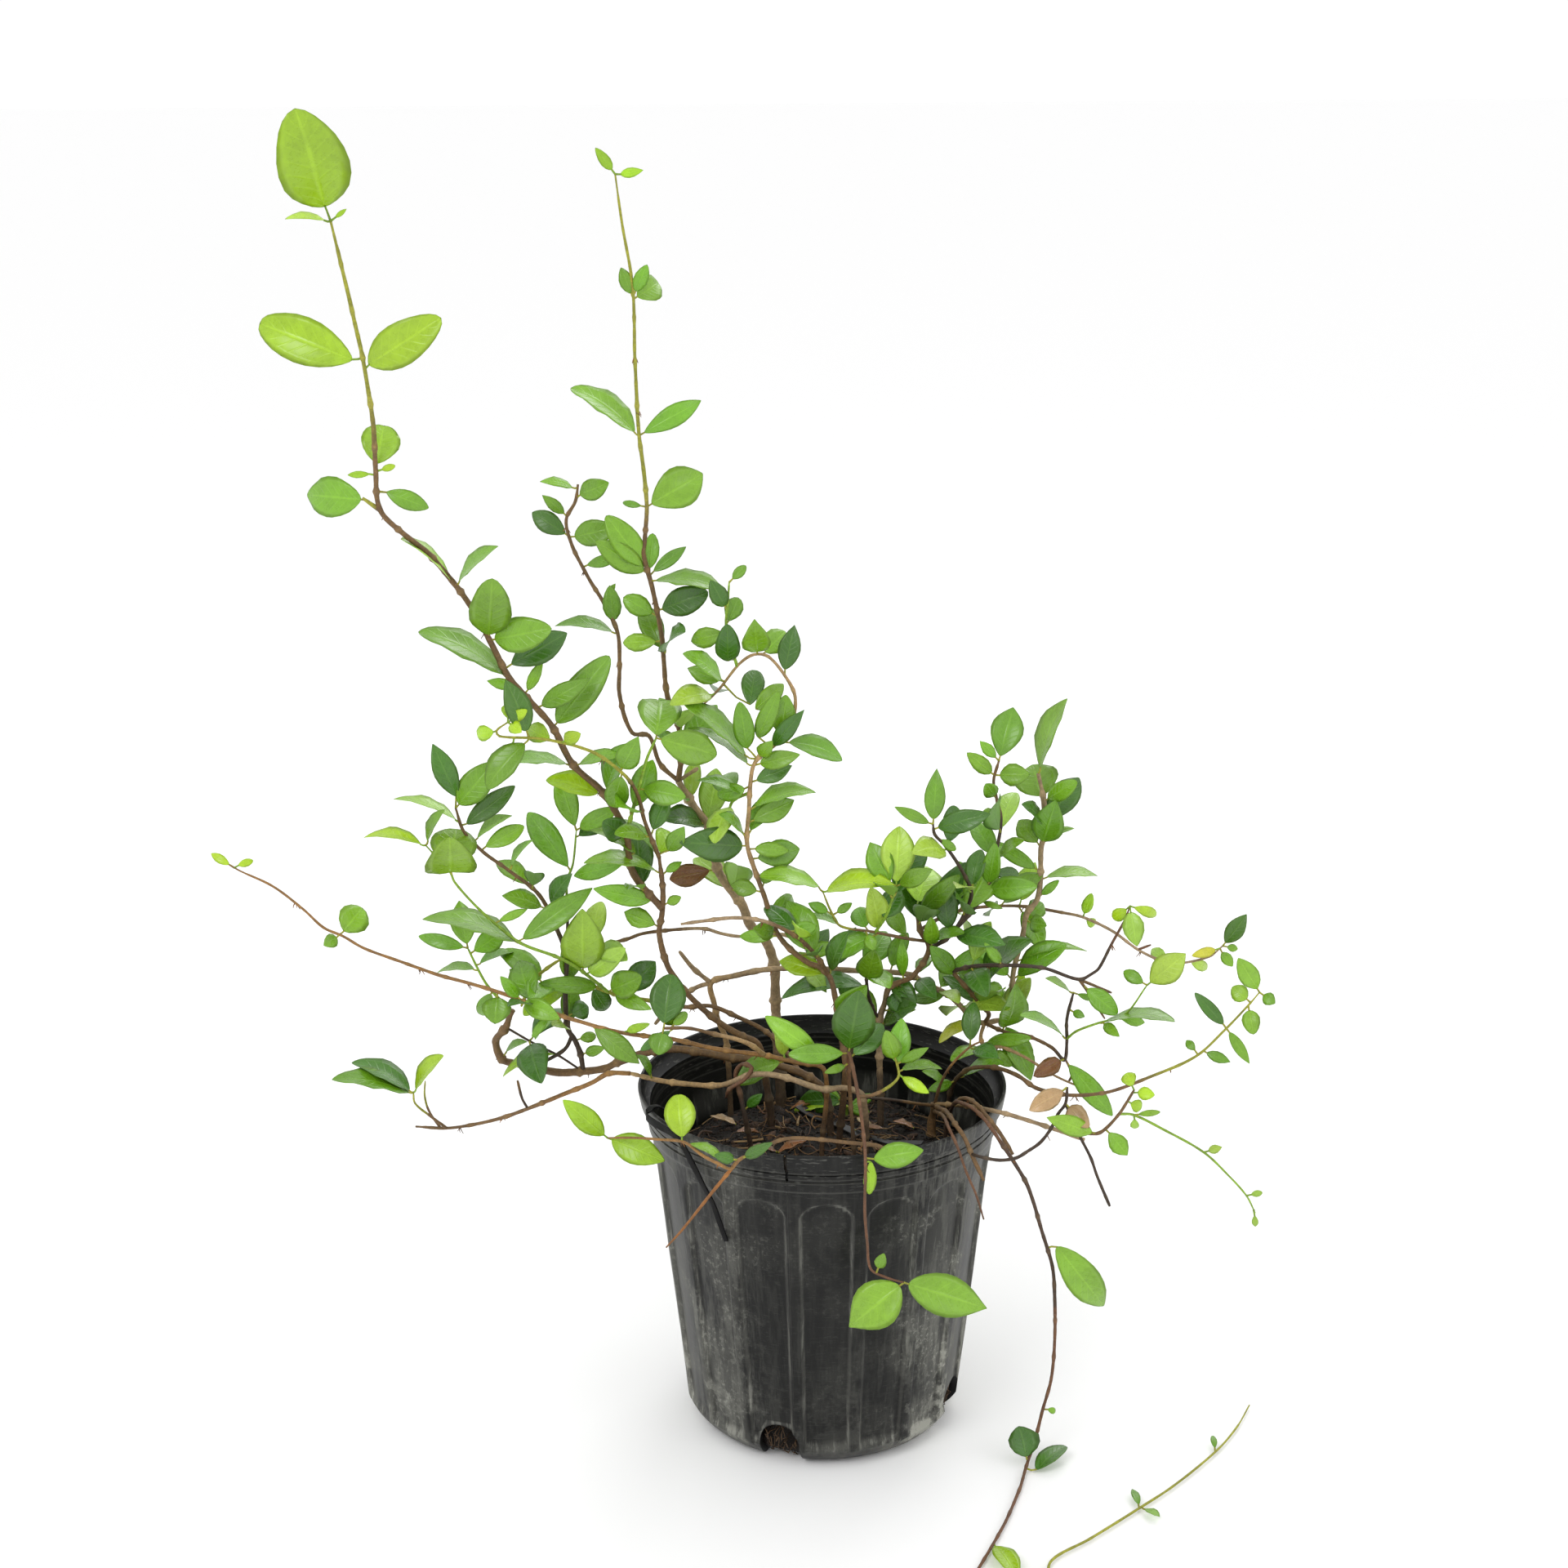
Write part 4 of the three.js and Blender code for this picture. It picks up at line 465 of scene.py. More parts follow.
# %% Stems and leaves
VINES = {}
VINES["stem_leader"] = ([
    ((1.7, 1), "brown", [(-27.5, 174, 17), (-29.7, 183.5, 15), (-36.5, 187), (-44, 191.6), (-50.8, 196.8, 9),
     (-61.2, 207.5), (-66.3, 214.6), (-70.5, 221.7, 4), (-74, 237), (-72.5, 248, 0), (-72, 259.5),
     (-73.3, 274, -6)], (-24, 17)),
    ((1.5, 0.9), ("brown", "olive", 0.76), [(-73, 249.5), (-83, 262.5), (-86.8, 271), (-88, 285, -8),
     (-98, 304.7, -14), (-111, 317.7), (-119.5, 335), (-126.5, 344, -22), (-138, 357.5), (-145.5, 373.5),
     (-152, 387), (-160, 399.5, -34), (-171.6, 414), (-181.7, 422.5, -42), (-191.5, 433), (-192.6, 450, -46),
     (-192.6, 469), (-195, 494, -52), (-198, 513), (-203, 540), (-206, 556, -58)]),
    ((0.9, 0.8), ("brown", "olive", 0.3), [(-191.5, 433), (-199, 438.5)]),
    ((0.9, 0.6), ("brown", "olive", 0.4), [(-73.3, 274), (-79.6, 291.5, -14), (-81.5, 300.5), (-84.2, 307.5),
     (-89.2, 314, -30), (-100, 322.5), (-108.4, 326, -38), (-115.8, 328), (-126.8, 330, -44), (-143.5, 331),
     (-144.8, 333.5), (-139.5, 337.5, -44)]),
    ((0.8, 0.7), "green", [(-88, 285), (-84, 299, -14), (-78, 320, -16), (-73.5, 330, -16)]),
], [
    (-208, 562, -217.5, 602, 28, "bright", "round"), (-208, 557, -225, 558.5, 3, "bright"),
    (-205, 557, -199, 561, 2, "bright"), (-200, 498, -240, 514, 19, "bright", "round"),
    (-193, 495, -162, 515, 17, "bright", "round"), (-192.5, 451, -188, 470.5, 16, 12, "fresh", "round"),
    (-193, 449, -205, 448.5, 3, "bright"), (-192, 450, -184, 452.5, 3, "bright"), (-199, 436, -224, 440, 17),
    (-188.5, 441, -170.5, 434, 8), (-160, 400, -182.5, 421, 3.5, "pale"), (-160, 400, -141.5, 417.5, 5),
    (-145.5, 376, -144, 402, 17.6, "round"), (-144, 376, -119, 380, 15), (-138, 358, -176, 381, 10.5),
    (-137, 364, -112, 378, 13, "dark"), (-135, 353, -148, 356.5, 5), (-131, 350, -123, 366, 5),
    (-126, 344, -103, 357, 9), (-119, 335, -93.5, 367.5, 14), (-111, 318, -144.5, 319.5, 5.5),
    (-110, 318, -90, 323, 5.5), (-72.5, 275, -67, 287, 12.5, "bright"), (-69, 277, -62, 288, 8),
    (-75, 275, -89, 293, 4.5), (-75, 267, -106.5, 274.5, 6, "fresh"), (-72, 251, -64, 255, 4.5),
    (-71, 266, -63, 272, 4), (-75, 241, -90, 248, 9), (-86, 284, -98, 291, 11, "dark"),
    (-84, 276, -103, 289, 6), (-88, 272, -113, 265, 8), (-76, 252, -103, 259, 9, -8),
    (-80, 306, -61, 302.5, 11), (-72.5, 331, -71, 348, 19, "fresh", "round"), (-72, 330, -46, 322, 15, "fresh"),
    (-137, 330, -139, 320.5, 5, "bright"), (-145, 333, -154, 332, 7, "bright"),
    (-119.5, 329, -131, 335, 9, "bright"), (-116, 328, -107.5, 332, 6.5, "bright"),
    (-89, 315.5, -82, 329.5, 10.5), (-89, 314, -93.5, 297, 10.5), (-140, 338, -139, 346, 6, "bright"),
    (-139, 338, -131, 343, 5, "bright"), (-139, 337, -134, 333, 6, "bright"),
])
VINES["stem_spire"] = ([
    ((3.1, 2.2), "grey", [(-21, 197.5, 46), (-21.3, 212), (-21.5, 221), (-25, 233, 45), (-32.6, 242),
     (-36, 251), (-42, 260), (-47, 268.5), (-50.3, 287, 40), (-57, 297.5), (-64, 310, 37)], (-20, 46)),
    ((1.5, 0.9), ("brown", "olive", 0.48), [(-64, 310), (-62, 325, 36), (-63.6, 336.5, 34), (-68.2, 349.7),
     (-70, 376, 28), (-73.6, 397.5), (-77, 412), (-76.5, 419.5, 22), (-75.4, 434), (-76.4, 450.5), (-78, 465),
     (-78.6, 479.5, 14), (-79, 498.7), (-79, 523), (-80, 535, 6), (-83, 553.5), (-85.5, 574.5, 2)]),
    ((1.3, 0.9), "brown", [(-64, 310), (-72, 318, 40), (-76.7, 331), (-84.2, 332.5, 44), (-89.3, 349.7),
     (-89, 363.8, 50), (-89.5, 378), (-95.5, 392), (-100.2, 400.2, 56), (-104, 407.5), (-108.7, 418),
     (-110.6, 428.5, 60), (-106.3, 436.7), (-105, 444, 62)]),
    ((1, 0.9), "grey", [(-64, 310), (-55, 316, 38)]),
], [
    (-85.5, 574.5, -93.3, 585, 4.5, "bright"), (-85, 574, -74, 576, 4, "bright"), (-79, 523, -67.5, 530, 11),
    (-79, 523, -84, 536, 6), (-79, 524, -73, 537, 6), (-78, 465, -106, 487, 9.5), (-78, 465, -51, 480, 9),
    (-75.4, 434, -50, 449, 17), (-75.4, 434, -86, 436, 3), (-76, 406, -93, 430, 12), (-76, 404, -98, 419, 11),
    (-75.5, 404, -73, 422.5, 7), (-75, 404, -58.5, 416.5, 5.5), (-73.5, 402, -42, 399, 7),
    (-71, 385.5, -86.5, 394, 9), (-70, 388, -50, 396, 12, "dark"), (-70.5, 374, -87.5, 373.5, 8, "fresh"),
    (-105, 438.5, -92, 444.5, 9), (-105, 442, -121.2, 446, 4), (-110, 421, -125.6, 432, 9, "dark"),
    (-110, 430, -120.3, 439, 5), (-107, 421, -88, 425, 11), (-104, 408, -88, 412, 5),
    (-89.5, 378, -116.6, 383.3, 5), (-89, 382, -92.4, 399.3, 8), (-96, 392, -90, 400, 3),
    (-49, 268, -69, 263.5, 10, "dead"),
])
VINES["stem_loop"] = ([
    ((1.9, 0.9), ("brown", "tan", 0.5), [(11, 172, -16), (9, 188), (6.5, 204.4, -10), (4, 215.6), (0, 220.5),
     (-6.5, 223.5, -6), (-16.4, 232), (-22.2, 242), (-25.4, 254, 0), (-30.3, 268.5), (-33.5, 281),
     (-32.6, 295, 2), (-31, 314), (-28.4, 320), (-20.4, 326.8, 0), (-14.2, 330.6), (-12.4, 337), (-11.4, 348.7),
     (-15, 357), (-23, 367, 6), (-29.5, 368), (-36, 363.8), (-45, 352.5, 12), (-56.7, 341, 16)], (8, -12)),
    ((0.9, 0.7), "green", [(-37, 363), (-41.5, 380, 8), (-40.5, 393), (-40, 400.5, 6)]),
    ((1.2, 0.9), ("brown", "grey", 0.5), [(3.5, 216.7), (-1.2, 225, -12), (-8.8, 233.7), (-16.5, 239, -16),
     (-26.7, 243.5), (-39.5, 245, -16), (-54, 243.5), (-64, 242, -12)]),
    ((0.9, 0.8), "green", [(-31.8, 305), (-40, 300, 8), (-42, 290, 10)]),
], [
    (-41, 365, -41, 380.5, 10.5, -12, "dark"), (-28, 368, -29, 383, 12), (-26, 367, -15, 379, 11),
    (-16, 359, -11.5, 381, 9.5, "dark"), (-42, 378, -57.5, 374, 9), (-41, 381, -36, 394, 8),
    (-41, 388, -48, 401, 8, "dark"), (-40, 400.5, -32.5, 408, 4.5), (-43, 356, -60, 369, 7, -14),
    (-42, 355, -59, 362, 8), (-31.5, 345, -29, 361.5, 10, 14, "dark"), (-29, 343, -16, 355, 8, 10),
    (-28, 330, -19, 350.5, 8), (-33, 325, -36, 346, 9), (-34, 322, -60.5, 347, 8, -6),
    (-33, 318, -57.5, 337.5, 5.5, 8), (-24, 326, -8, 342, 7.5, -10, "dark"), (-29, 321, -22, 328, 7),
    (-31, 318, -10, 322, 8), (-33.5, 278, -14.5, 277, 7), (-31, 273, -9.5, 278, 12), (-32, 290, -12, 301, 10),
    (-32, 297, -3, 307, 7), (-31, 309, -13, 317, 8, "dark"), (-32, 307, -47, 303, 8), (-34, 304, -55, 311, 5),
    (-34, 279, -63, 281, 15, -16, "dark"), (-27, 257, -41, 261, 8), (-27, 259, -24, 267, 6),
    (-24, 250, -11, 251, 11), (-15, 238, -2, 241, 7), (-20, 238, -31, 240, 9), (-19, 236, -38, 236, 6),
    (-10, 226, 6, 232, 7), (8, 195, 20, 211, 13),
])
VINES["stem_west"] = ([
    ((2, 2.1), "brown", [(1.2, 160, 4), (-8.4, 168, 5), (-20, 172.6), (-25.7, 175.6, 9), (-40.8, 176.2),
     (-55.2, 179, 14), (-68.7, 180.8), (-83.3, 178.5, 18), (-89.2, 176), (-95, 174), (-100.8, 171, 19),
     (-112.5, 169.5), (-122.2, 169, 18), (-131.9, 171), (-142.5, 173.6, 17), (-148.3, 175.7), (-151, 184.4, 14),
     (-148.6, 188.5), (-146, 191.6, 10), (-144, 197.3), (-142.5, 200, 8)], (4, 4)),
    ((1.5, 0.8), ("dark", "brown", 0.5), [(-110, 170), (-111.8, 177.8, 17), (-114.2, 185), (-117.3, 191.1, 13),
     (-118, 207, 10), (-117, 226, 6), (-120.7, 239.5), (-128.3, 256, 0), (-141.8, 268), (-152.7, 276.5, -8),
     (-161.4, 286.5), (-164.6, 297.5, -12)]),
    ((0.9, 0.7), ("dark", "green", 0.5), [(-117, 226), (-115.7, 245.5, 10), (-115.5, 262.5), (-112.5, 271, 15),
     (-110.5, 287, 18)]),
    ((1.2, 1.2), ("brown", "olive", 0.45), [(-10, 169), (-17, 180, 18), (-26.7, 190.1, 24), (-39.2, 196.8),
     (-50.7, 201.9, 26), (-63.2, 201.6), (-78, 204.5, 26), (-88.5, 206.2), (-97, 208.5, 22), (-106, 212),
     (-120, 213.7, 12), (-134.5, 212, 6), (-131, 216.5, 4), (-122, 223.5, 6), (-117, 226, 6)]),
    ((1.1, 1), "olive", [(-134.5, 212), (-138.5, 202, 8)]),
    ((1, 0.9), ("brown", "grey", 0.5), [(-117, 226), (-104, 231, 10), (-89, 234.7, 13), (-82.3, 237.3),
     (-73, 238.7, 14), (-53.8, 239.8), (-45.3, 237.3, 18), (-36.8, 236), (-18, 237, 22), (-10, 233, 22)]),
    ((1, 0.8), "green", [(-99, 209), (-107.3, 217, 4), (-113.8, 222, -4), (-121, 226, -8), (-137.8, 233, -14),
     (-149, 242.5), (-158, 251.5, -20), (-166.7, 262.5), (-168.4, 267, -24), (-179, 280, -28)]),
    ((0.9, 0.7), "green", [(-143.5, 198), (-149, 206, 14), (-153.6, 212), (-157, 218.5, 14),
     (-162, 230.5, 12)]),
    ((0.7, 0.7), "dark", [(-145.5, 192), (-133, 183.4, 10), (-122.4, 177.7), (-113, 171, 18)]),
    ((1, 0.9), "dark", [(-116.6, 187), (-119, 180.8, 12), (-129, 174.2, 8)]),
], [
    (-164, 303, -173.4, 327, 10, "dark"), (-163, 298, -146.6, 318.5, 13),
    (-160, 290, -137.4, 308, 9, 8, "dark"), (-163, 291, -191.4, 304, 4, "pale"), (-156, 283, -140, 295, 4.5),
    (-153, 279, -134, 289, 8, 6), (-141.8, 268, -131.3, 283.5, 3), (-114, 268, -132.5, 296, 12, 12),
    (-111, 289, -118, 313.5, 10), (-110, 288, -91.5, 297.5, 8), (-110, 283, -97, 294, 9, 12, "dark"),
    (-180, 281, -206.5, 286, 5, "bright"), (-179, 280, -170.3, 297, 4),
    (-168, 266, -168, 282, 22, -20, "fresh"), (-168, 267, -165, 289, 20, 16, "fresh"),
    (-138, 233, -181, 247.5, 9.5), (-138, 234, -104, 259.5, 11), (-108.5, 220, -109, 247, 19, -14, "fresh"),
    (-107, 219, -91, 229.5, 10.5, -12, "pale"), (-99, 208, -83, 216.5, 12.5, -8, "fresh"),
    (-97, 208, -78.7, 200.5, 7, -12), (-92, 209, -76, 224, 12, 8, "dark"), (-150, 242, -133.8, 249.5, 4, 6),
    (-162, 230.5, -184.8, 236.5, 6.5), (-162, 231, -165, 253.5, 11, 6), (-161, 228, -145.4, 238, 10, 10),
    (-159, 222, -140, 230, 4, 12), (-158, 220, -177.4, 220, 4, 6), (-134, 214, -143, 220, 5, -4),
    (-101.5, 211.5, -129, 213.3, 8, -14), (-115, 185, -104, 187.5, 5, 6), (-112, 178, -101, 181.3, 5, -4),
    (-148, 178, -137, 185, 3, -6), (-122, 179, -149, 169.5, 4, -8, "pale"),
    (-119, 197, -107, 202, 9, 8, "dark"), (-118, 200, -134, 187, 4, -4), (-78, 204.5, -66, 193, 8, 10),
    (-106, 212, -98.5, 199.5, 9, 8, "dark"),
])
VINES["stem_west_runner"] = ([
    ((1.4, 0.8), "ochre", [(1.2, 170, -20), (-12, 174), (-26.3, 177.5, -20), (-49.4, 180.8),
     (-68.8, 185.5, -22), (-84, 187.6), (-98.4, 190.1, -20), (-108, 193.2), (-120.5, 197.4, -16), (-137, 204.4),
     (-151, 209.8, -14), (-164.7, 214.1), (-176, 217.4, -10), (-192.9, 223.9), (-209.8, 230.6, -2),
     (-219.2, 236.5), (-227.7, 240.6, 4), (-236.5, 249.5, 8), (-249.6, 260.5, 12), (-264.2, 268, 18),
     (-269, 271, 18)], (0, -20)),
    ((1.3, 0.8), ("tan", "brown", 0.5), [(-27, 177.8), (-35, 184, -26), (-51, 188.5, -28), (-61.8, 191.1, -32),
     (-73, 191, -34)]),
], [
    (-267, 270, -277, 276.5, 4, "bright"), (-267, 270, -257.8, 273, 3.5, "bright"),
    (-219.5, 238, -209, 250.5, 14, 12), (-220, 237, -228, 232, 6.5), (-149, 209, -151, 193.5, 13, -8),
    (-152, 208, -158, 197, 7, 8), (-138.5, 206, -121.5, 196, 9, -10), (-138, 206, -147, 216, 6, -8),
    (-107, 192.5, -85, 173.8, 10, -10), (-92, 189.5, -80, 193, 4, -6, "bright"),
    (-125, 199, -134, 186.5, 4, -6), (-73.5, 191, -69, 218, 16, "dark"), (-73, 190, -76, 178, 11, -8),
    (-70, 190, -62, 199, 5, 6), (-68, 190, -84, 180, 5, -6, "dark"),
])
VINES["stem_west_low"] = ([
    ((1.7, 1.8), ("grey", "tan", 0.7), [(19, 157, -28), (10.8, 161.2), (0.3, 160.6, -30), (-15.9, 166.3),
     (-25.4, 168, -26), (-34, 167.4), (-46.3, 162.7, -20), (-61.8, 163.2), (-75.5, 165, -10),
     (-89, 168.6, -4)], (20, -26)),
    ((1.4, 0.8), ("ochre", "brown", 0.4), [(-89, 168.6), (-99, 168.5, -4), (-106.8, 164), (-119.6, 158.5, 0),
     (-137.3, 150.9, 4), (-149.2, 146.4), (-162, 143, 8), (-175.7, 141), (-190.3, 141.8, 12)]),
    ((0.8, 0.7), ("brown", "olive", 0.5), [(-175.7, 141), (-183, 147, 4), (-190, 153.6, -2),
     (-190.5, 159, -4)]),
    ((0.7, 0.6), ("brown", "olive", 0.5), [(-179, 141), (-183.7, 149.8, 14), (-185.3, 157.4),
     (-184.7, 164.9, 18)]),
    ((0.7, 0.8), ("dark", "brown", 0.7), [(-137.3, 150.9), (-139.8, 156), (-141.6, 164.9, 0)]),
    ((1.4, 1.3), ("dark", "red", 0.5), [(-35.9, 146.5, -20), (-38, 158), (-40, 168, -16), (-37, 173.1, -18),
     (-32.6, 171, -24), (-36, 165.5, -28), (-43, 160.5, -29), (-44.5, 156.5, -25)], (-33, -16)),
], [
    (-190.5, 158.5, -227.5, 167.6, 8.5, -8), (-190.5, 160, -218, 175.5, 8.5, 8, "dark"),
    (-190, 159, -176.5, 177.8, 6, -6, "bright"), (-36, 150, -28, 158, 5, -4, "dark"),
    (-78, 166, -85, 178, 4, -8),
])
VINES["stem_bush"] = ([
    ((1.5, 1.5), ("tan", "grey", 0.25), [(-44.2, 185, 34), (-47.5, 194.3), (-49.3, 202.5, 34),
     (-50.8, 213.4, 32), (-40.6, 216.7), (-25, 219.9, 29), (-6.6, 220.5, 26), (18.8, 219, 26), (40, 217.3, 28),
     (49.3, 212), (58, 207.4, 30), (64, 202), (69.3, 195.5, 32), (75, 193.5, 32), (81, 194.7), (86.5, 194, 33),
     (90.7, 197.4), (89, 204.6, 36), (87.6, 212), (88.3, 221, 38), (91.7, 235.5), (93.5, 247, 40), (97.8, 253),
     (99.3, 262, 44), (99.2, 278), (100.8, 285.5, 48), (100, 300), (97.2, 313, 50)], (-44, 34)),
    ((1.3, 1.1), "grey", [(-50.8, 213.4), (-59, 220.7, 30), (-65, 228.7, 26)]),
    ((1.9, 1.3), ("grey", "brown", 0.6), [(26.8, 195.3, 22), (29.1, 203.4), (31, 211, 20), (36.4, 213.8),
     (42, 216.6, 19), (49.2, 229.5, 18), (45, 239), (43.6, 251, 16)], (28, 22)),
    ((1, 0.9), "dark", [(26.8, 196), (24, 200, 20), (21.4, 208, 14), (20.5, 216, 10)]),
    ((1.3, 1.2), "brown", [(75, 193.5), (77, 198, 30), (71.4, 205, 26), (59.6, 219, 20), (49.2, 229.5, 18)]),
    ((1.2, 0.8), "dark", [(49.2, 229.5), (60, 237.6, 14), (68, 254.7, 10), (66, 263), (56.4, 278.9, 2),
     (51.2, 284.6), (50.4, 289.5, -2)]),
    ((1, 0.8), ("dark", "brown", 0.7), [(61, 239.5), (69.4, 249, 18), (75.5, 259.5, 20), (79, 276),
     (81, 291.4, 26), (78.8, 301.3), (77.3, 309.7, 26), (79.5, 319, 24)]),
    ((0.9, 0.7), ("brown", "olive", 0.6), [(46.5, 232), (38.2, 235, 10), (23, 238.2, 6), (8.7, 241, 2),
     (4.5, 247.8), (0.7, 257.5, 0)]),
    ((0.9, 0.7), "green", [(24, 238), (30, 247, -2), (34, 260, -6)]),
    ((1, 0.7), ("brown", "grey", 0.5), [(45, 239), (53.3, 244.4, 26), (60, 247.4), (71.7, 249.8, 40),
     (91, 250.3, 56), (109.3, 247.3), (119, 245, 64), (132.5, 238.3), (144.5, 229.3, 70), (155.6, 223.6),
     (160.6, 222.2, 74), (177, 225.8), (183, 231, 78)]),
    ((0.8, 0.8), "red", [(144.5, 229.3), (150.3, 231.6, 72)]),
    ((1.2, 0.8), ("dark", "red", 0.8), [(59.6, 219), (71, 221.5, 10), (89.7, 221.6, 2), (102.3, 220.2),
     (118.2, 214.8, -6), (124, 217.7), (127, 220.3, -8), (132.3, 231.8), (138, 243.6, -12),
     (140.2, 250.3, -14)]),
    ((0.8, 0.7), "brown", [(118.2, 214.8), (133, 208.3, 4)]),
    ((0.8, 0.6), "brown", [(118.2, 214.8), (124.2, 205.6, -4), (130.4, 195.5, -4)]),
    ((1.1, 0.8), ("brown", "dark", 0.5), [(75, 193.5), (86, 188.5, 20), (94, 187.5, 14), (106.5, 181.1, 6),
     (112.2, 175, 4), (113.2, 184), (113, 195.4, 2), (115.6, 208.3, 2)]),
    ((0.7, 0.7), "brown", [(112.6, 176), (116, 168, 6), (114.5, 164, 8)]),
    ((1.1, 0.7), "tan", [(75, 193.5), (73.5, 186, 26), (76.2, 181), (83, 181.5, 14), (94, 176.5, 8),
     (108, 167.3), (121, 161, 2)]),
    ((0.7, 0.6), "green", [(113.4, 186), (117.8, 189.5, -4), (127.8, 193.5, -8), (139, 197, -10),
     (149.3, 212, -16)]),
    ((1.3, 1.1), "grey", [(-50.4, 214), (-56.7, 211.6, 31), (-62.7, 208), (-69.2, 202.8, 28), (-77, 193, 26)]),
], [
    (44, 252.5, 48, 270.5, 18, "bright"), (-1, 260, -27.5, 265.5, 7.5, -10, "fresh"),
    (2, 258, 32, 263, 9, -12, "bright"), (31, 262, 22, 281, 12, 6), (34.5, 262, 35.3, 288.5, 15, 8, "pale"),
    (35, 261, 50, 268, 8, -8), (27, 243, 36, 259, 11, 10, "dark"), (46, 247, 62.6, 265, 9, -8),
    (57, 250, 69, 262, 5, -14), (5, 247, -6, 252, 5), (5, 246, 14, 252, 4), (10, 241, -6.7, 247, 4, 8),
    (21, 239, 16, 250, 9, 12), (40, 236, 30, 250, 8, 14), (48, 233, 64.8, 238, 5, -10),
    (50, 231, 50, 244, 7, -12), (20, 238, 24, 229, 6, -6), (21, 214, 24, 229, 12, -8),
    (37, 215, 36.5, 233.8, 5.5, -6), (62, 216, 50, 231, 9, -12), (58, 222, 82, 229, 9, 14),
    (70, 208, 94, 235, 9.5, -16, "dark"), (19, 212, -18.8, 208, 8.5, 2, "dark"),
    (33, 211, 37, 198, 10, -6, "dark"), (28, 200, 42.5, 200, 5, -10), (58, 207, 40, 205, 6, 12),
    (72, 192.5, 54, 185.7, 5, -10, "yellow"), (75, 184, 96, 186, 6.5, -14), (76, 181, 60, 176, 5, -14),
    (78, 181, 88, 172, 6, -6), (69, 206, 84, 210, 9, 10), (60, 218, 78, 216, 8, 10), (87, 199, 80, 210, 7, 12),
    (89, 201, 92, 219, 4.5, 10, "bright"), (50.6, 291.8, 51.8, 315, 9), (50.5, 289, 33.3, 297.5, 5),
    (52, 287.5, 75, 294, 10, -10, "dark"), (53, 284, 61, 277, 4), (79.5, 320, 85.5, 344, 14),
    (79, 320, 71, 328, 5), (77.5, 312, 65.5, 322.5, 7), (78.5, 312, 93, 312.7, 10, -6),
    (79, 301, 74, 308, 7, -4), (80.5, 293, 72.5, 295, 5), (97.2, 314, 107.5, 348, 8.5, "fresh"),
    (99.7, 300, 94, 318, 19, 16), (100, 300, 114, 309, 8, -12), (99.4, 279, 105, 299.4, 14, -8),
    (99, 278.6, 88.7, 291.3, 10, 8), (99.5, 281, 113.6, 287.9, 3), (99, 267, 77, 281, 6.5, 8),
    (99.5, 264, 125, 266.2, 5), (98, 254, 107.6, 262.7, 4), (75, 258, 97.6, 260, 10.5, -12),
    (75.5, 260, 78.5, 279.8, 8, -10), (74, 256, 62, 272, 6, 10), (77, 266, 90, 266, 6, 10, "dark"),
    (72, 253, 82, 249.3, 3, -8), (93, 245, 101, 252, 9, 10), (93, 243, 102, 241, 8, -10),
    (119, 245, 122.5, 256, 5, "bright"), (119.5, 245, 125, 241, 4.5, "bright"),
    (183, 231, 193.5, 246, 8, "dark"), (182, 229, 169.5, 226.3, 4.5, -8, "yellow"), (183, 231, 190, 229.5, 3.5),
    (182, 229, 188, 221, 5), (168, 223, 177.3, 220, 5, 10, "pale"), (159, 223, 150, 230, 6, 12, "pale"),
    (140, 250, 132.5, 244, 6, "bright"), (141, 249.5, 144, 231, 9.5, -8, "pale"),
    (140.7, 250.3, 153.5, 245.8, 5, 8, "bright"), (120.5, 212, 136, 197.8, 9, -8), (90, 224, 121, 231, 3.5, 4),
    (113, 186, 92, 198, 3.5, -10), (128, 193.5, 161.5, 198, 4.5, -14), (136, 196, 149.5, 193.5, 5, 4),
    (129, 194, 137, 187, 5, -14), (149.3, 212, 166, 227, 13, -6, "pale"), (149, 212, 138, 219, 6, 6),
    (115.6, 208.3, 125, 205, 3, 4), (113, 200, 121, 196.5, 4, -6), (115, 208, 103, 215.8, 3, -6),
    (112.5, 174, 135.7, 146.7, 9.5, -8), (112, 176, 99, 167.5, 8, -10, "dead"), (83, 223, 75, 232, 5, -8),
])
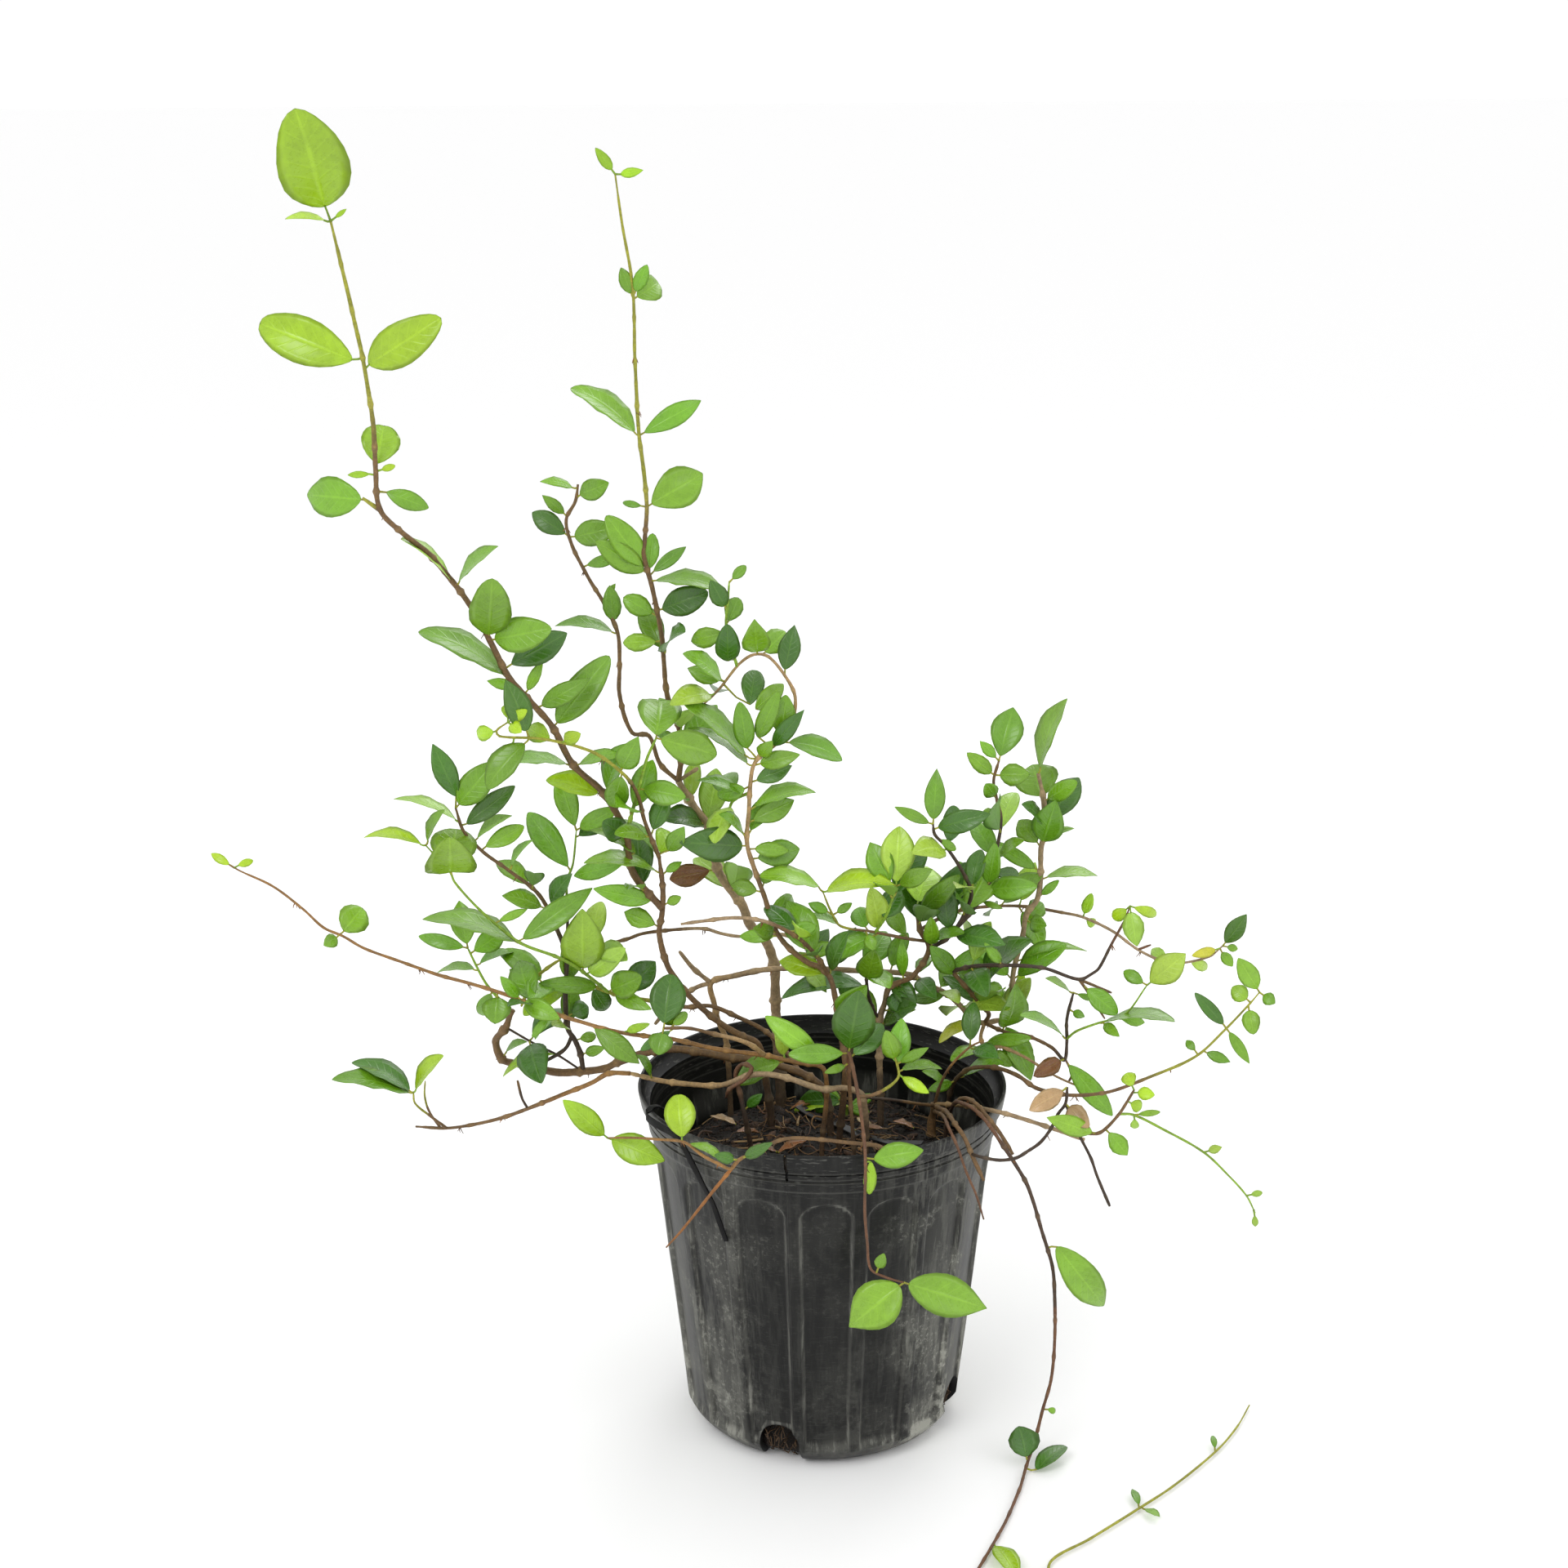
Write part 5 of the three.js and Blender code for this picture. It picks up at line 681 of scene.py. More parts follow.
VINES["stem_crown_right"] = ([
    ((2.6, 1.8), "brown", [(51.8, 148, 15), (52.6, 153, 10)], (52, 16)),
    ((1.1, 0.8), ("brown", "red", 0.4), [(52.3, 150), (56.6, 147, -22), (59.5, 140.5, -60), (63, 132.5, -69),
     (67.9, 118.2, -71), (72.5, 107, -68), (76.3, 94.2, -64)]),
    ((1.2, 1.1), "brown", [(52.5, 152), (58, 149, -20), (63, 141.8, -57), (66.5, 136.5, -64),
     (70.1, 127.7, -68), (76, 114.2, -68)]),
    ((1.2, 1.1), ("tan", "grey", 0.5), [(52.6, 153), (64, 152.5, -4), (72, 151.3, -26), (79, 149.8, -41),
     (87.8, 147.6, -43), (108.9, 140.2, -42), (122.6, 135, -40)]),
    ((0.9, 0.8), "dark", [(69.8, 128.4), (75.4, 126, -74), (83.3, 124.5, -74), (90.6, 125.5, -72),
     (96.4, 129.1, -66), (102.3, 133.8, -60), (107, 140.7, -56), (110, 148, -54), (113.4, 153.2, -52),
     (114, 161.5, -50)]),
    ((0.8, 0.8), "dark", [(113.2, 153), (119.5, 138.7, -54), (126, 125.5), (129, 116.7, -56),
     (135.5, 101, -56)]),
    ((0.9, 0.7), "brown", [(119.5, 138.7), (128.3, 138, -56), (132.2, 140.3), (138.5, 148, -60), (141.5, 153.2),
     (145, 160, -62)]),
    ((0.7, 0.6), "green", [(138.5, 148), (145.2, 147.5, -56), (159.2, 140.2), (178.6, 128.5, -50),
     (190.8, 116.5), (199.5, 106.3), (204, 97.5, -46)]),
    ((0.9, 0.8), ("brown", "dark", 0.6), [(52.3, 152.5, 8), (45, 153.2, -6), (32.5, 155.2, -20),
     (21, 156.2, -30)]),
    ((0.9, 0.7), ("brown", "ochre", 0.5), [(52.8, 153, 8), (55.5, 164, 4), (60, 172.5, 2), (68.5, 181.5, 0),
     (75, 185, -2)]),
], [
    (113.5, 161, 97, 150, 9, -8, "tan"), (114, 153, 124.4, 141.3, 9, -10, "tan"),
    (128, 138, 105.5, 146, 9, -12, "fresh"), (145, 160, 141, 169, 7, "bright"),
    (145, 159, 154.5, 157.5, 6, -5, "bright"), (142.5, 154, 149, 151, 6, 4, "bright"),
    (132, 141, 143, 127, 8.5, -6), (145.2, 147.5, 157.7, 149, 3, "fresh"), (145.5, 147, 146, 140, 4, "pale"),
    (178.6, 128.5, 187, 131.2, 4, "pale"), (203, 98, 204.5, 90, 3, "pale"), (199.5, 106.3, 207, 108, 3, "pale"),
])
VINES["stem_east_long"] = ([
    ((1.4, 0.8), ("brown", "olive", 0.7), [(61, 163, 22), (67.2, 170, 14), (73, 171.5, 8), (81.2, 171.2, 2),
     (91.5, 167, -4), (99.3, 161.2, -10), (107, 159, -16), (114.5, 157.5, -22), (123.7, 157.6, -24),
     (134.8, 159.5, -22), (150.4, 165.8, -22), (172.6, 176.6, -24), (185.3, 189.4, -26), (197, 203.3, -28),
     (200.8, 208.4, -28)], (60, 26)),
], [
    (174, 178, 168, 185, 4, 6), (175.5, 179.5, 189, 174, 5, -4), (186.5, 191, 171.4, 208, 6, 4, "dark"),
    (187, 190.5, 198, 173, 5, -4), (197, 203.5, 188, 211, 8, 6, "fresh"), (196, 202, 199, 188, 8, -8, "fresh"),
    (201, 209, 208, 203, 6), (201, 209.5, 191, 224, 9, -6, "fresh"), (62, 165, 49.7, 160, 5.5, -10),
    (63, 167, 84, 174, 5, -12), (60.5, 160, 47, 170, 4, -6),
])
# Where the floor runner lies, as real places in mm, and how high the middle of the stem is there.
RUNNER_HEIGHT = 1.6
RUNNER_ON_FLOOR = [
    (88.7, -82.3), (80.3, -108.9), (73.6, -126.3), (62, -156), (60, -172), (67, -185), (79, -187), (90, -174),
    (95, -155), (98, -138), (115.8, -122), (139.5, -99), (158.3, -79.8), (182.3, -50.3), (195, -29.7),
    (204, -10.2),
]
VINES["stem_floor_runner"] = ([
    ((1.05, 0.75), ("red", "olive", 0.62), [(61.4, 153, -8), (66.5, 153, -32), (71.5, 150, -46), (77, 144, -55),
     (85, 131.4, -59), (90.8, 122.4, -59), (97.3, 109.7, -59), (104.8, 85, -57), (109.4, 68.8, -54),
     (110.9, 50.9, -52), (111.3, 29.7, -50), (110, 8.5, -49), (106.5, -7, -50), (103, -24, -54),
     listed(94, -62, 3), *(listed(x, y, RUNNER_HEIGHT) for x, y in RUNNER_ON_FLOOR)], (58, 2)),
    ((1.2, 1), "brown", [(61.4, 153), (66.2, 156, -20), (72, 153, -38), (78, 145.5, -48), (83, 138.5, -50),
     (89.5, 127.5, -52)]),
], [
    (111, 80, 136, 46.5, 15.5), (106, -6, 113, -8, 3), (101, -36, 95, -16, 16, 10, "dark"),
    (104, -40, 118.3, -27, 10, 14, "dark"), (83.5, -81, 96, -100, 11, -27, "bright"),
    (156, -62, 151, -50.5, 4, 14), (157, -62.5, 165, -66, 5, -9), (191, -30, 189, -21, 3, 10),
])
VINES["stem_front"] = ([
    ((1.15, 0.85), ("brown", "red", 0.3), [(13, 160, -38), (12.5, 178.5, -43), (15.1, 168, -54),
     (17.5, 153.5, -66), (19, 142, -78), (20.2, 129.8, -86.5), (20.4, 119.3, -91), (20.2, 98, -92),
     (21.4, 81.7, -92), (23.2, 68, -92), (31, 63.5, -94), (38.8, 61, -95)], (15, -38)),
    ((1, 0.8), ("brown", "olive", 0.4), [(17, 156), (26, 158.5, -58), (35.5, 166.4, -52), (34.5, 175, -50)]),
], [
    (13, 180, 17, 208, 19, -7, "dark"), (12, 178.5, -15, 178, 9, -6), (-2, 178, -26, 197, 10, 6, "fresh"),
    (14, 176, 28.5, 193, 11, 8, "dark"), (13, 173, 2, 169, 4, -10), (34.5, 174, 30, 189, 9, -4),
    (34.5, 173, 49, 181, 5, -6), (36, 170, 56, 173, 5, 8), (36, 168, 49.7, 158.6, 5.5, -8, "bright"),
    (35, 171, 37, 196, 10, 10), (24.3, 125, 46.7, 129.5, 11.5, -6), (23, 124, 22.2, 106.5, 6, -3, "bright"),
    (39, 61.2, 12.2, 36.8, 21.5, -3, "fresh", "pointed"), (39.2, 60.8, 79, 47.3, 19, 6, "fresh", "pointed"),
    (26, 67, 29.3, 76, 5.5, -2),
])
VINES["stem_front_left"] = ([
    ((1.2, 0.8), ("brown", "ochre", 0.6), [(31, 124, -66), (27.3, 131.4, -78), (11.7, 133.6, -80.5),
     (-8.7, 135.8, -80.5), (-17.4, 135.3, -81), (-25, 132.5, -83), (-31, 129, -86), (-39.2, 124.5, -89),
     (-42.6, 120.1, -90), (-48.5, 122.7, -86), (-56, 127, -80), (-64.5, 133.7, -72), (-76.8, 135.2, -63),
     (-88, 136, -54), (-100.5, 136, -44)], (30, -50)),
    ((0.9, 0.7), "orange", [(-39.2, 124.5), (-50.7, 109.5, -86), (-66, 89, -76), (-74, 79.5, -70)]),
], [
    (-39, 127, -24, 133, 5.5, -6, "dark"), (-40, 125, -50, 127, 5.5, -6, "dark"), (-64, 134.5, -46, 125, 4, -8),
    (-65, 136, -67, 158.3, 14, "bright"), (-100.5, 136, -74.5, 124.5, 13.5, -10, "bright"),
    (-101, 136.5, -120, 154.5, 10.5, "bright"),
])
VINES["sprout"] = ([
    ((1, 0.8), "green", [(11, 152, 28), (9, 158, 24)], (12, 30)),
], [
    (9, 155, -12, 154, 11, 12, "dark"), (10, 153, -14, 151, 6, 10, "bright"), (11, 152, 22, 149, 6, -6),
    (11, 153, -2, 162, 6, 8), (11.5, 151, 25, 158, 5, 8),
])
# The photograph doesn't show this one, so it is given by real places, and so are its leaves.
VINES["stem_back"] = ([
    ((1.4, 0.8), "brown", [listed(15, 62, 165), listed(16, 76, 173), listed(17, 90, 168), listed(17, 98, 140),
     listed(14, 101, 100), listed(10, 103, 62)], (14, 52)),
    ((0.9, 0.7), ("brown", "green", 0.6), [listed(17, 98, 140), listed(30, 104, 128), listed(38, 108, 108)]),
], [
    (*listed(17, 97, 145)[:2], *listed(-6, 106, 130)[:2], 14, 10),
    (*listed(14, 101, 102)[:2], *listed(-10, 108, 88)[:2], 13, 6),
    (*listed(14, 101, 100)[:2], *listed(34, 112, 84)[:2], 14, 10),
    (*listed(38, 108, 110)[:2], *listed(52, 112, 94)[:2], 10, 8),
    (*listed(38, 108, 108)[:2], *listed(30, 114, 90)[:2], 9, 6),
    (*listed(10, 103, 64)[:2], *listed(-4, 110, 44)[:2], 12, 6),
    (*listed(10, 103, 62)[:2], *listed(24, 108, 42)[:2], 12, 4),
])
print(len(VINES), "vines with", sum(len(leaves) for _, leaves in VINES.values()), "measured leaves")

# %% [markdown]
# Depths along a route
#
# Only some points of a route have a depth. The others get theirs from the known ones before and after,
# by the share of the length that lies between. A side stem starts at the nearest point of those before it.

# %% Filling in the depths
def between(first, last, share):
    return first + (last - first) * share


def mix(first, last, share):
    return tuple(between(p, q, share) for p, q in zip(first, last))


def ease(value, low, high):
    t = min(1.0, max(0.0, (value - low) / (high - low)))
    return t * t * (3 - 2 * t)


def with_depths(route, first_depth=None):
    flat = [(*point, None)[:3] for point in route]
    if first_depth is not None:
        flat[0] = (*flat[0][:2], first_depth)
    lengths = [0.0]
    for a, b in zip(flat, flat[1:]):
        lengths.append(lengths[-1] + math.hypot(b[0] - a[0], b[1] - a[1]))
    known = [i for i, point in enumerate(flat) if point[2] is not None]
    result = []
    for i, (x, z, depth) in enumerate(flat):
        if depth is None:
            before = max(k for k in known if k < i)
            after = min((k for k in known if k > i), default=None)
            depth = flat[before][2]
            if after is not None:
                share = (lengths[i] - lengths[before]) / (lengths[after] - lengths[before])
                depth = between(depth, flat[after][2], share)
        result.append((x, z, depth))
    return result


# %% Finding the nearest stem
def nearest(grown, x, z):
    """The nearest point of the stems on the sheet, and the radius there."""
    best = (math.inf, None, 0.0)
    for path, radii in grown:
        for i, (a, b) in enumerate(zip(path, path[1:])):
            (ax, az, _), (bx, bz, _) = a, b
            span = (bx - ax) ** 2 + (bz - az) ** 2 or 1.0
            t = min(1.0, max(0.0, ((x - ax) * (bx - ax) + (z - az) * (bz - az)) / span))
            point = mix(a, b, t)
            gap = math.hypot(x - point[0], z - point[1])
            if gap < best[0]:
                best = (gap, point, between(radii[i], radii[i + 1], t))
    return best[1:]


def closest(points, target):
    return min(points, key=lambda p: (p - target).length_squared)


# %% [markdown]
# Following a vine
#
# A route is a handful of measured points. A real stem bends smoothly through them, so a Catmull-Rom curve
# is laid through the points: it passes through each one and its direction there is that of its neighbours.

# %% Routes as smooth curves
STEP = 1.6


def smooth_curve(points):
    """Points every STEP along a Catmull-Rom curve through the given ones."""
    knots = [points[0] * 2 - points[1], *points, points[-1] * 2 - points[-2]]
    result = []
    for a, b, c, d in zip(knots, knots[1:], knots[2:], knots[3:]):
        reach = (c - b).length
        start = (c - a) * (reach / max(1e-6, reach + (b - a).length))
        stop = (d - b) * (reach / max(1e-6, (d - c).length + reach))
        pieces = max(1, round(reach / STEP))
        for k in range(pieces):
            t = k / pieces
            h1 = 2 * t ** 3 - 3 * t ** 2 + 1
            h2 = t ** 3 - 2 * t ** 2 + t
            h3 = 3 * t ** 2 - 2 * t ** 3
            h4 = t ** 3 - t ** 2
            result.append(b * h1 + start * h2 + c * h3 + stop * h4)
    result.append(points[-1])
    return result


# %% [markdown]
# The plan of a vine
#
# Before anything is grown, each vine is drawn as a plan: a mesh of bare lines for the stems, the leaf
# stalks and the rootlets, and one loose point for each leaf. Every point carries named attributes, such as
# its girth and tint, or a leaf's direction, upper side, length and width. Geometry Nodes reads the plan.

# %% Drawing the plan
NUMBERS = ("girth", "leaf", "long", "wide", "arch", "fold", "droop", "wave", "tip", "shift")
IN_MILLIMETRES = ("girth", "long", "wide")
DIRECTIONS = ("ahead", "aside", "above")


class Plan:
    """Points, lines and their attributes, in millimetres."""

    def __init__(self):
        self.points, self.lines, self.tints = [], [], []
        self.values = {name: [] for name in NUMBERS}
        self.vectors = {name: [] for name in DIRECTIONS}

    def add(self, point, tint, directions=((0, 0, 0),) * 3, **values):
        self.points.append(Vector(point))
        self.tints.append(tint)
        for column, vector in zip(self.vectors.values(), directions):
            column.append(vector)
        for name, column in self.values.items():
            column.append(values.get(name, 0.0))
        return len(self.points) - 1

    def line(self, points, girths, tints):
        ids = [self.add(p, t, girth=g) for p, g, t in zip(points, girths, tints)]
        self.lines += list(zip(ids, ids[1:]))

    def mesh(self, name):
        mesh = bpy.data.meshes.new(name)
        mesh.from_pydata([p * MM for p in self.points], self.lines, [])
        for key, column in self.values.items():
            scale = MM if key in IN_MILLIMETRES else 1.0
            mesh.attributes.new(key, "FLOAT", "POINT").data.foreach_set("value", [v * scale for v in column])
        rows = [(key, "FLOAT_VECTOR", "vector", column) for key, column in self.vectors.items()]
        for key, kind, slot, column in (*rows, ("tint", "FLOAT_COLOR", "color", self.tints)):
            flat = [number for row in column for number in row]
            mesh.attributes.new(key, kind, "POINT").data.foreach_set(slot, flat)
        return mesh


# %% [markdown]
# One leaf on the plan
#
# Every leaf is a little lighter or darker, warmer, more folded or more wavy than the next, always in the
# same way for the same leaf, because chance() gives the same number each time. Dry leaves curl up. The tip
# is the power that its outline ends in: a low one is round and a high one pointed.

# %% Planting a leaf
PETIOLE = 0.5
TIP_SHAPES = {"round": (0.5, 0.98), "pointed": (1.1, 0.82)}


def plant_leaf(plan, root, base, along, above, length, width, tone, droop, n, tip_shape=None):
    """One leaf point with all its numbers, and the stalk from root to base."""
    shade = 0.82 + 0.38 * chance(n + 0.25)
    warmth = 0.96 + 0.22 * chance(n + 0.35)
    red, green, blue, _ = LEAF_COLOURS[tone]
    dry = tone in ("dead", "tan")
    tip, shift = tip_shape or (0.5 + 0.5 * chance(n + 0.75), 0.84 + 0.26 * chance(n + 0.85))
    plan.add(base, (red * shade * warmth, green * shade, blue * shade * 0.9, 1.0),
             (along, above.cross(along), above), leaf=1.0, long=length, wide=width, arch=0.06,
             fold=0.5 if dry else 0.12 + 0.22 * chance(n + 0.15),
             wave=1.6 if dry else 0.2 + 0.4 * chance(n + 0.65), droop=droop, tip=tip, shift=shift)
    stalk = BARK_COLOURS["green" if tone in ("bright", "pale", "yellow") else "olive"]
    bend = (root + base) / 2 - above * 0.15 * (base - root).length
    plan.line([root, bend, base + along * 0.4], [PETIOLE, PETIOLE * 0.9, PETIOLE * 0.8], [stalk] * 3)


# %% [markdown]
# Measured leaves
#
# The photograph gives a leaf's seen length and seen width. Where it looks shorter than about twice its
# width, the blade points towards or away from the camera; where it looks narrower, it is turned about its
# midrib. Both are worked out from the usual shape of this leaf, about twice as long as wide. A leaf near
# the floor lies flat on it.

# %% Placing a measured leaf
BLADE_RATIO = 2.0
SHORTEST_RATIO = 1.75
FULL_FACE = 0.3
ROUNDER = 1.07
STALK_REACH = 1.4
FLOOR_LEAF_HEIGHT = 12.0


def usual_lean(seen_length, seen_width, n):
    """How far a tip lies behind its stalk end, where the table doesn't say."""
    hidden = math.sqrt(max(0.0, (SHORTEST_RATIO * seen_width) ** 2 - seen_length ** 2))
    if hidden > 0:
        return -hidden if chance(n) < 0.5 else hidden
    return (chance(n + 0.5) - 0.5) * 0.7 * seen_length


def place_leaf(plan, grown, fine, leaf, n):
    x0, z0, x1, z1, width, *notes = leaf
    words = [note for note in notes if isinstance(note, str)]
    tone = next((word for word in words if word in LEAF_COLOURS), "")
    tip_shape = next((TIP_SHAPES[word] for word in words if word in TIP_SHAPES), None)
    point, radius = nearest(grown, x0, z0)
    depth = point[2]
    scale = (depth - EYE_Y) / -EYE_Y
    seen_length = math.hypot(x1 - x0, z1 - z0) * scale
    seen_width = width * scale * ROUNDER
    lean = next((note for note in notes if not isinstance(note, str)), None)
    if lean is None:
        lean = usual_lean(seen_length, seen_width, n)

    root = place(*point)
    tip = place(x1, z1, depth + lean)
    base = place(x0, z0, depth)
    neck = radius + STALK_REACH
    if (base - root).length < neck:
        base = root + (tip - root).normalized() * neck
    along = tip - base
    length = along.length
    along.normalize()

    flat = base.z < FLOOR_LEAF_HEIGHT
    to_eye = Vector((-base.x, EYE_Y - base.y, EYE_Z - base.z)).normalized()
    front = Vector((0, 0, 1)) if flat else to_eye
    facing = (front - along * front.dot(along)).normalized()
    across = along.cross(facing)
    true_width = seen_width if seen_width > FULL_FACE * length else max(seen_width, length / BLADE_RATIO)
    turn = 0.0 if flat else math.acos(min(1.0, seen_width / true_width))
    if across.z < 0:
        turn = -turn
    above = facing * math.cos(turn) + across * math.sin(turn)
    droop = 0.0 if flat else (0.03 + 0.1 * chance(n + 0.45)) * min(1.0, seen_length / length)
    plant_leaf(plan, closest(fine, root), base, along, above, length, true_width, tone, droop, n, tip_shape)


# %% [markdown]
# Rootlets
#
# Where a stem of this vine rests on something it makes short brown rootlets, in little brushes below a
# joint. They are thin lines on the plan.

# %% Placing rootlets
ROOTLET = 0.22
ROOTLETS_IN_A_BRUSH = 3
FULL_TURN = 6.28


def place_rootlets(plan, path, n):
    joint = path[len(path) // 2]
    for k in range(ROOTLETS_IN_A_BRUSH):
        swing = FULL_TURN * chance(n + k)
        reach = 1.6 + 2.2 * chance(n + k + 0.5)
        aim = Vector((math.cos(swing) * 0.6, math.sin(swing) * 0.4, -0.9)) * reach
        bow = Vector((math.sin(swing), math.cos(swing), 0)) * 0.3
        tint = mix(BARK_COLOURS["orange"], BARK_COLOURS["dark"], chance(n + k + 0.7))
        girths = [ROOTLET * 1.5, ROOTLET, ROOTLET * 0.6]
        plan.line([joint, joint + aim * 0.5 + bow, joint + aim], girths, [tint] * 3)


# %% [markdown]
# Leaves that nobody can count
#
# In the middle of the plant the leaves hide each other, so no photograph shows them all. Jasmine carries
# its leaves in opposite pairs at every joint. Where the crown is thick and a joint has no measured leaf, it
# gets such a pair, a little smaller than the others. The crown is two ovals on the sheet, each given by its
# middle and its half width and half height, less the boxes through which the photograph shows white.

# %% Filling the crown
CROWN = ((-66.0, 262.0, 100.0, 108.0), (82.0, 232.0, 74.0, 82.0))
SEEN_THROUGH = ((-86, -18, 140, 247), (90, 200, 140, 264), (-118, -71, 304, 380), (-17, 24, 312, 372),
                (-166, -134, 246, 279), (-134, -110, 220, 246), (-74, -48, 340, 366))
JOINT_STEPS = 8
OPEN_GAP = 5.0
LEAFLESS = 176.0
BARE_JOINTS = 0.1
FILL_TONES = ("dark", "", "pale", "", "dark", "", "bright")


def in_crown(x, z):
    if any(left < x < right_end and low < z < high for left, right_end, low, high in SEEN_THROUGH):
        return False
    return any(((x - cx) / rx) ** 2 + ((z - cz) / rz) ** 2 < 1.0 for cx, cz, rx, rz in CROWN)


def fill_stem(plan, curve, leaf_spots, n):
    for k in range(JOINT_STEPS, len(curve) - 3, JOINT_STEPS):
        n += 1.37
        x, z, _ = seen(*curve[k])
        gap = min((math.hypot(x - a, z - b) for a, b in leaf_spots), default=math.inf)
        if not in_crown(x, z) or curve[k].z < LEAFLESS or gap < OPEN_GAP or chance(n) > 1.0 - BARE_JOINTS:
            continue
        along_stem = (curve[k + 1] - curve[k - 1]).normalized()
        swing = FULL_TURN * chance(n + 0.21)
        aim = Vector((math.cos(swing), math.sin(swing) * 0.7, 0.5 * math.sin(swing * 2)))
        side = along_stem.cross(aim).normalized()
        facing = Vector((0.25 * math.cos(swing), -0.55, 0.75))
        for turn in (-1.0, 1.0):
            m = n + turn * 0.07
            along = (side * turn * 0.85 + along_stem * 0.45 + Vector((0, -0.1, 0.3))).normalized()
            above = (facing - along * facing.dot(along)).normalized()
            length = 15.5 + 12.5 * chance(m + 0.4)
            width = length * (0.48 + 0.12 * chance(m))
            tone = FILL_TONES[int(chance(m + 0.6) * 6.4)]
            plant_leaf(plan, curve[k], curve[k] + along * 3.2, along, above, length, width, tone, 0.08, m)


# %% [markdown]
# Drawing a whole vine
#
# A stem in the soil starts deep in its hole and leaves it at the soil's surface. Old bark keeps its girth,
# and green shoots taper to their tips. Low down, inside the can and below the leaves, the bark is painted
# darker as painted shade.

# %% Stems, their leaves and rootlets
IN_THE_HOLE = 120.4
COLLAR = 139.0
SLENDER = {"stem_leader": 1.12}
USUAL_SLENDER = 0.88
EVEN_BARK = ("brown", "dark", "grey")
ROOTING_BARK = ("brown", "ochre", "tan", "dark", "grey")
ROOTLET_STEPS = 14


def stem_colour_and_girth(curve, ends, bark, slender, rooted):
    start, stop, share = (bark, bark, 1.0) if isinstance(bark, str) else bark
    girths, tints = [], []
    for i, point in enumerate(curve):
        t = i / (len(curve) - 1)
        taper = (1.0 if stop in EVEN_BARK else 1.0 - 0.3 * t * t) * (1.0 if t < 0.97 else 0.75)
        girths.append(between(*ends, t) * taper * slender)
        turned = ease(t, share - 0.04, share + 0.05) if start != stop else 0.0
        # Painted shade: low on a stem in the soil, inside the can, the bark is mixed towards dark.
        painted_shade = 0.85 * ease(LEAFLESS - point.z, 6.0, 26.0) if rooted and t < 0.3 else 0.0
        tints.append(mix(mix(BARK_COLOURS[start], BARK_COLOURS[stop], turned), BARK_COLOURS["dark"], painted_shade))
    return girths, tints, start in ROOTING_BARK


def draw_vine(name, seed):
    stems, leaves = VINES[name]
    plan, grown, fine = Plan(), [], []
    for number, (ends, bark, route, *root) in enumerate(stems):
        if root:
            x, y = root[0]
            path = [seen(x, y, IN_THE_HOLE), *with_depths([seen(x, y, COLLAR), *route])]
        else:
            start, _ = nearest(grown, *route[0][:2])
            path = with_depths([start, *route[1:]], start[2])
        points = [place(*p) for p in path]
        if fine and not root:
            points[0] = closest(fine, points[0])
        curve = smooth_curve(points)
        slender = SLENDER.get(name, USUAL_SLENDER)
        girths, tints, rooting = stem_colour_and_girth(curve, ends, bark, slender, root)
        plan.line(curve, girths, tints)
        grown.append((path, [between(*ends, i / (len(path) - 1)) for i in range(len(path))]))
        fine += curve
        fill_stem(plan, curve, [leaf[:2] for leaf in leaves], seed + number * 17.3)
        for k in range(1, len(curve) // ROOTLET_STEPS if rooting else 0):
            if chance(seed + number * 7 + k * 1.7) < 0.45:
                middle = k * ROOTLET_STEPS
                place_rootlets(plan, curve[middle - 2:middle + 2], seed + number * 31 + k * 3.1)
    for index, leaf in enumerate(leaves):
        place_leaf(plan, grown, fine, leaf, seed + index)
    return plan.mesh(name)


# %% [markdown]
# Growing the stems
#
# The first part of the tree turns the lines into curves and sweeps a small circle along them. Two things
# keep the stems from looking like wire: a slow wobble that moves them a few tenths of a millimetre off
# their route, and a swelling at each joint, which is a narrow peak that repeats along the curve's length.

# %% The stems of the tree
def grow_stems(tree, lines):
    given = tree.given
    curves = tree.add("GeometryNodeMeshToCurve", [lines])
    spot = tree.vector("ADD", tree.spot, tree.joined(given["Seed"], 0.0, 0.0))
    drift = tree.add("ShaderNodeTexNoise", {"Vector": spot, "Scale": 70.0, "Detail": 1.0}, "Color")
    centred = tree.vector("SUBTRACT", drift, (0.5, 0.5, 0.5))
    girth = tree.named("girth")
    woody = tree.smooth(girth, 0.0005, 0.001)
    curves = tree.move(curves, Offset=tree.scaled(centred, tree.times(given["Wobble"], woody)))
    run = tree.add("GeometryNodeSplineParameter", output="Length")
    turn = tree.math("FRACT", tree.math("DIVIDE", run, given["Joint spacing"]))
    peak = tree.smooth(tree.math("ABSOLUTE", tree.minus(turn, 0.5)), 0.0, 0.1, 1.0, 0.0)
    swelling = tree.times(peak, given["Joint swelling"], woody)
    rough = tree.spread(tree.noise(spot, 260.0, 2.0), -0.09, 0.09)
    radius = tree.times(girth, tree.plus(1.0, tree.plus(swelling, rough)))
    curves = tree.store(curves, "joint", tree.times(peak, woody))
    ring = tree.add("GeometryNodeCurvePrimitiveCircle", {"Resolution": given["Sides"], "Radius": 1.0})
    sweep = {"Curve": curves, "Profile Curve": ring, "Scale": radius, "Fill Caps": True}
    return tree.dress(tree.add("GeometryNodeCurveToMesh", sweep), BARK_FINISH)


# %% [markdown]
# Growing the leaves
#
# The second part puts one flat blade, a closed pair of grids, on every leaf point: a plain blade for small
# leaves and a finer one for large. The rows of a grid lie closer together towards stalk and tip, where the
# outline bends most. The two grids bulge apart a little, so the blade has a thickness.

# %% The flat blades of the tree
BLADE_SIZES = ((5, 8, "small"), (7, 13, "large"))
LARGE_BLADE = 0.0165


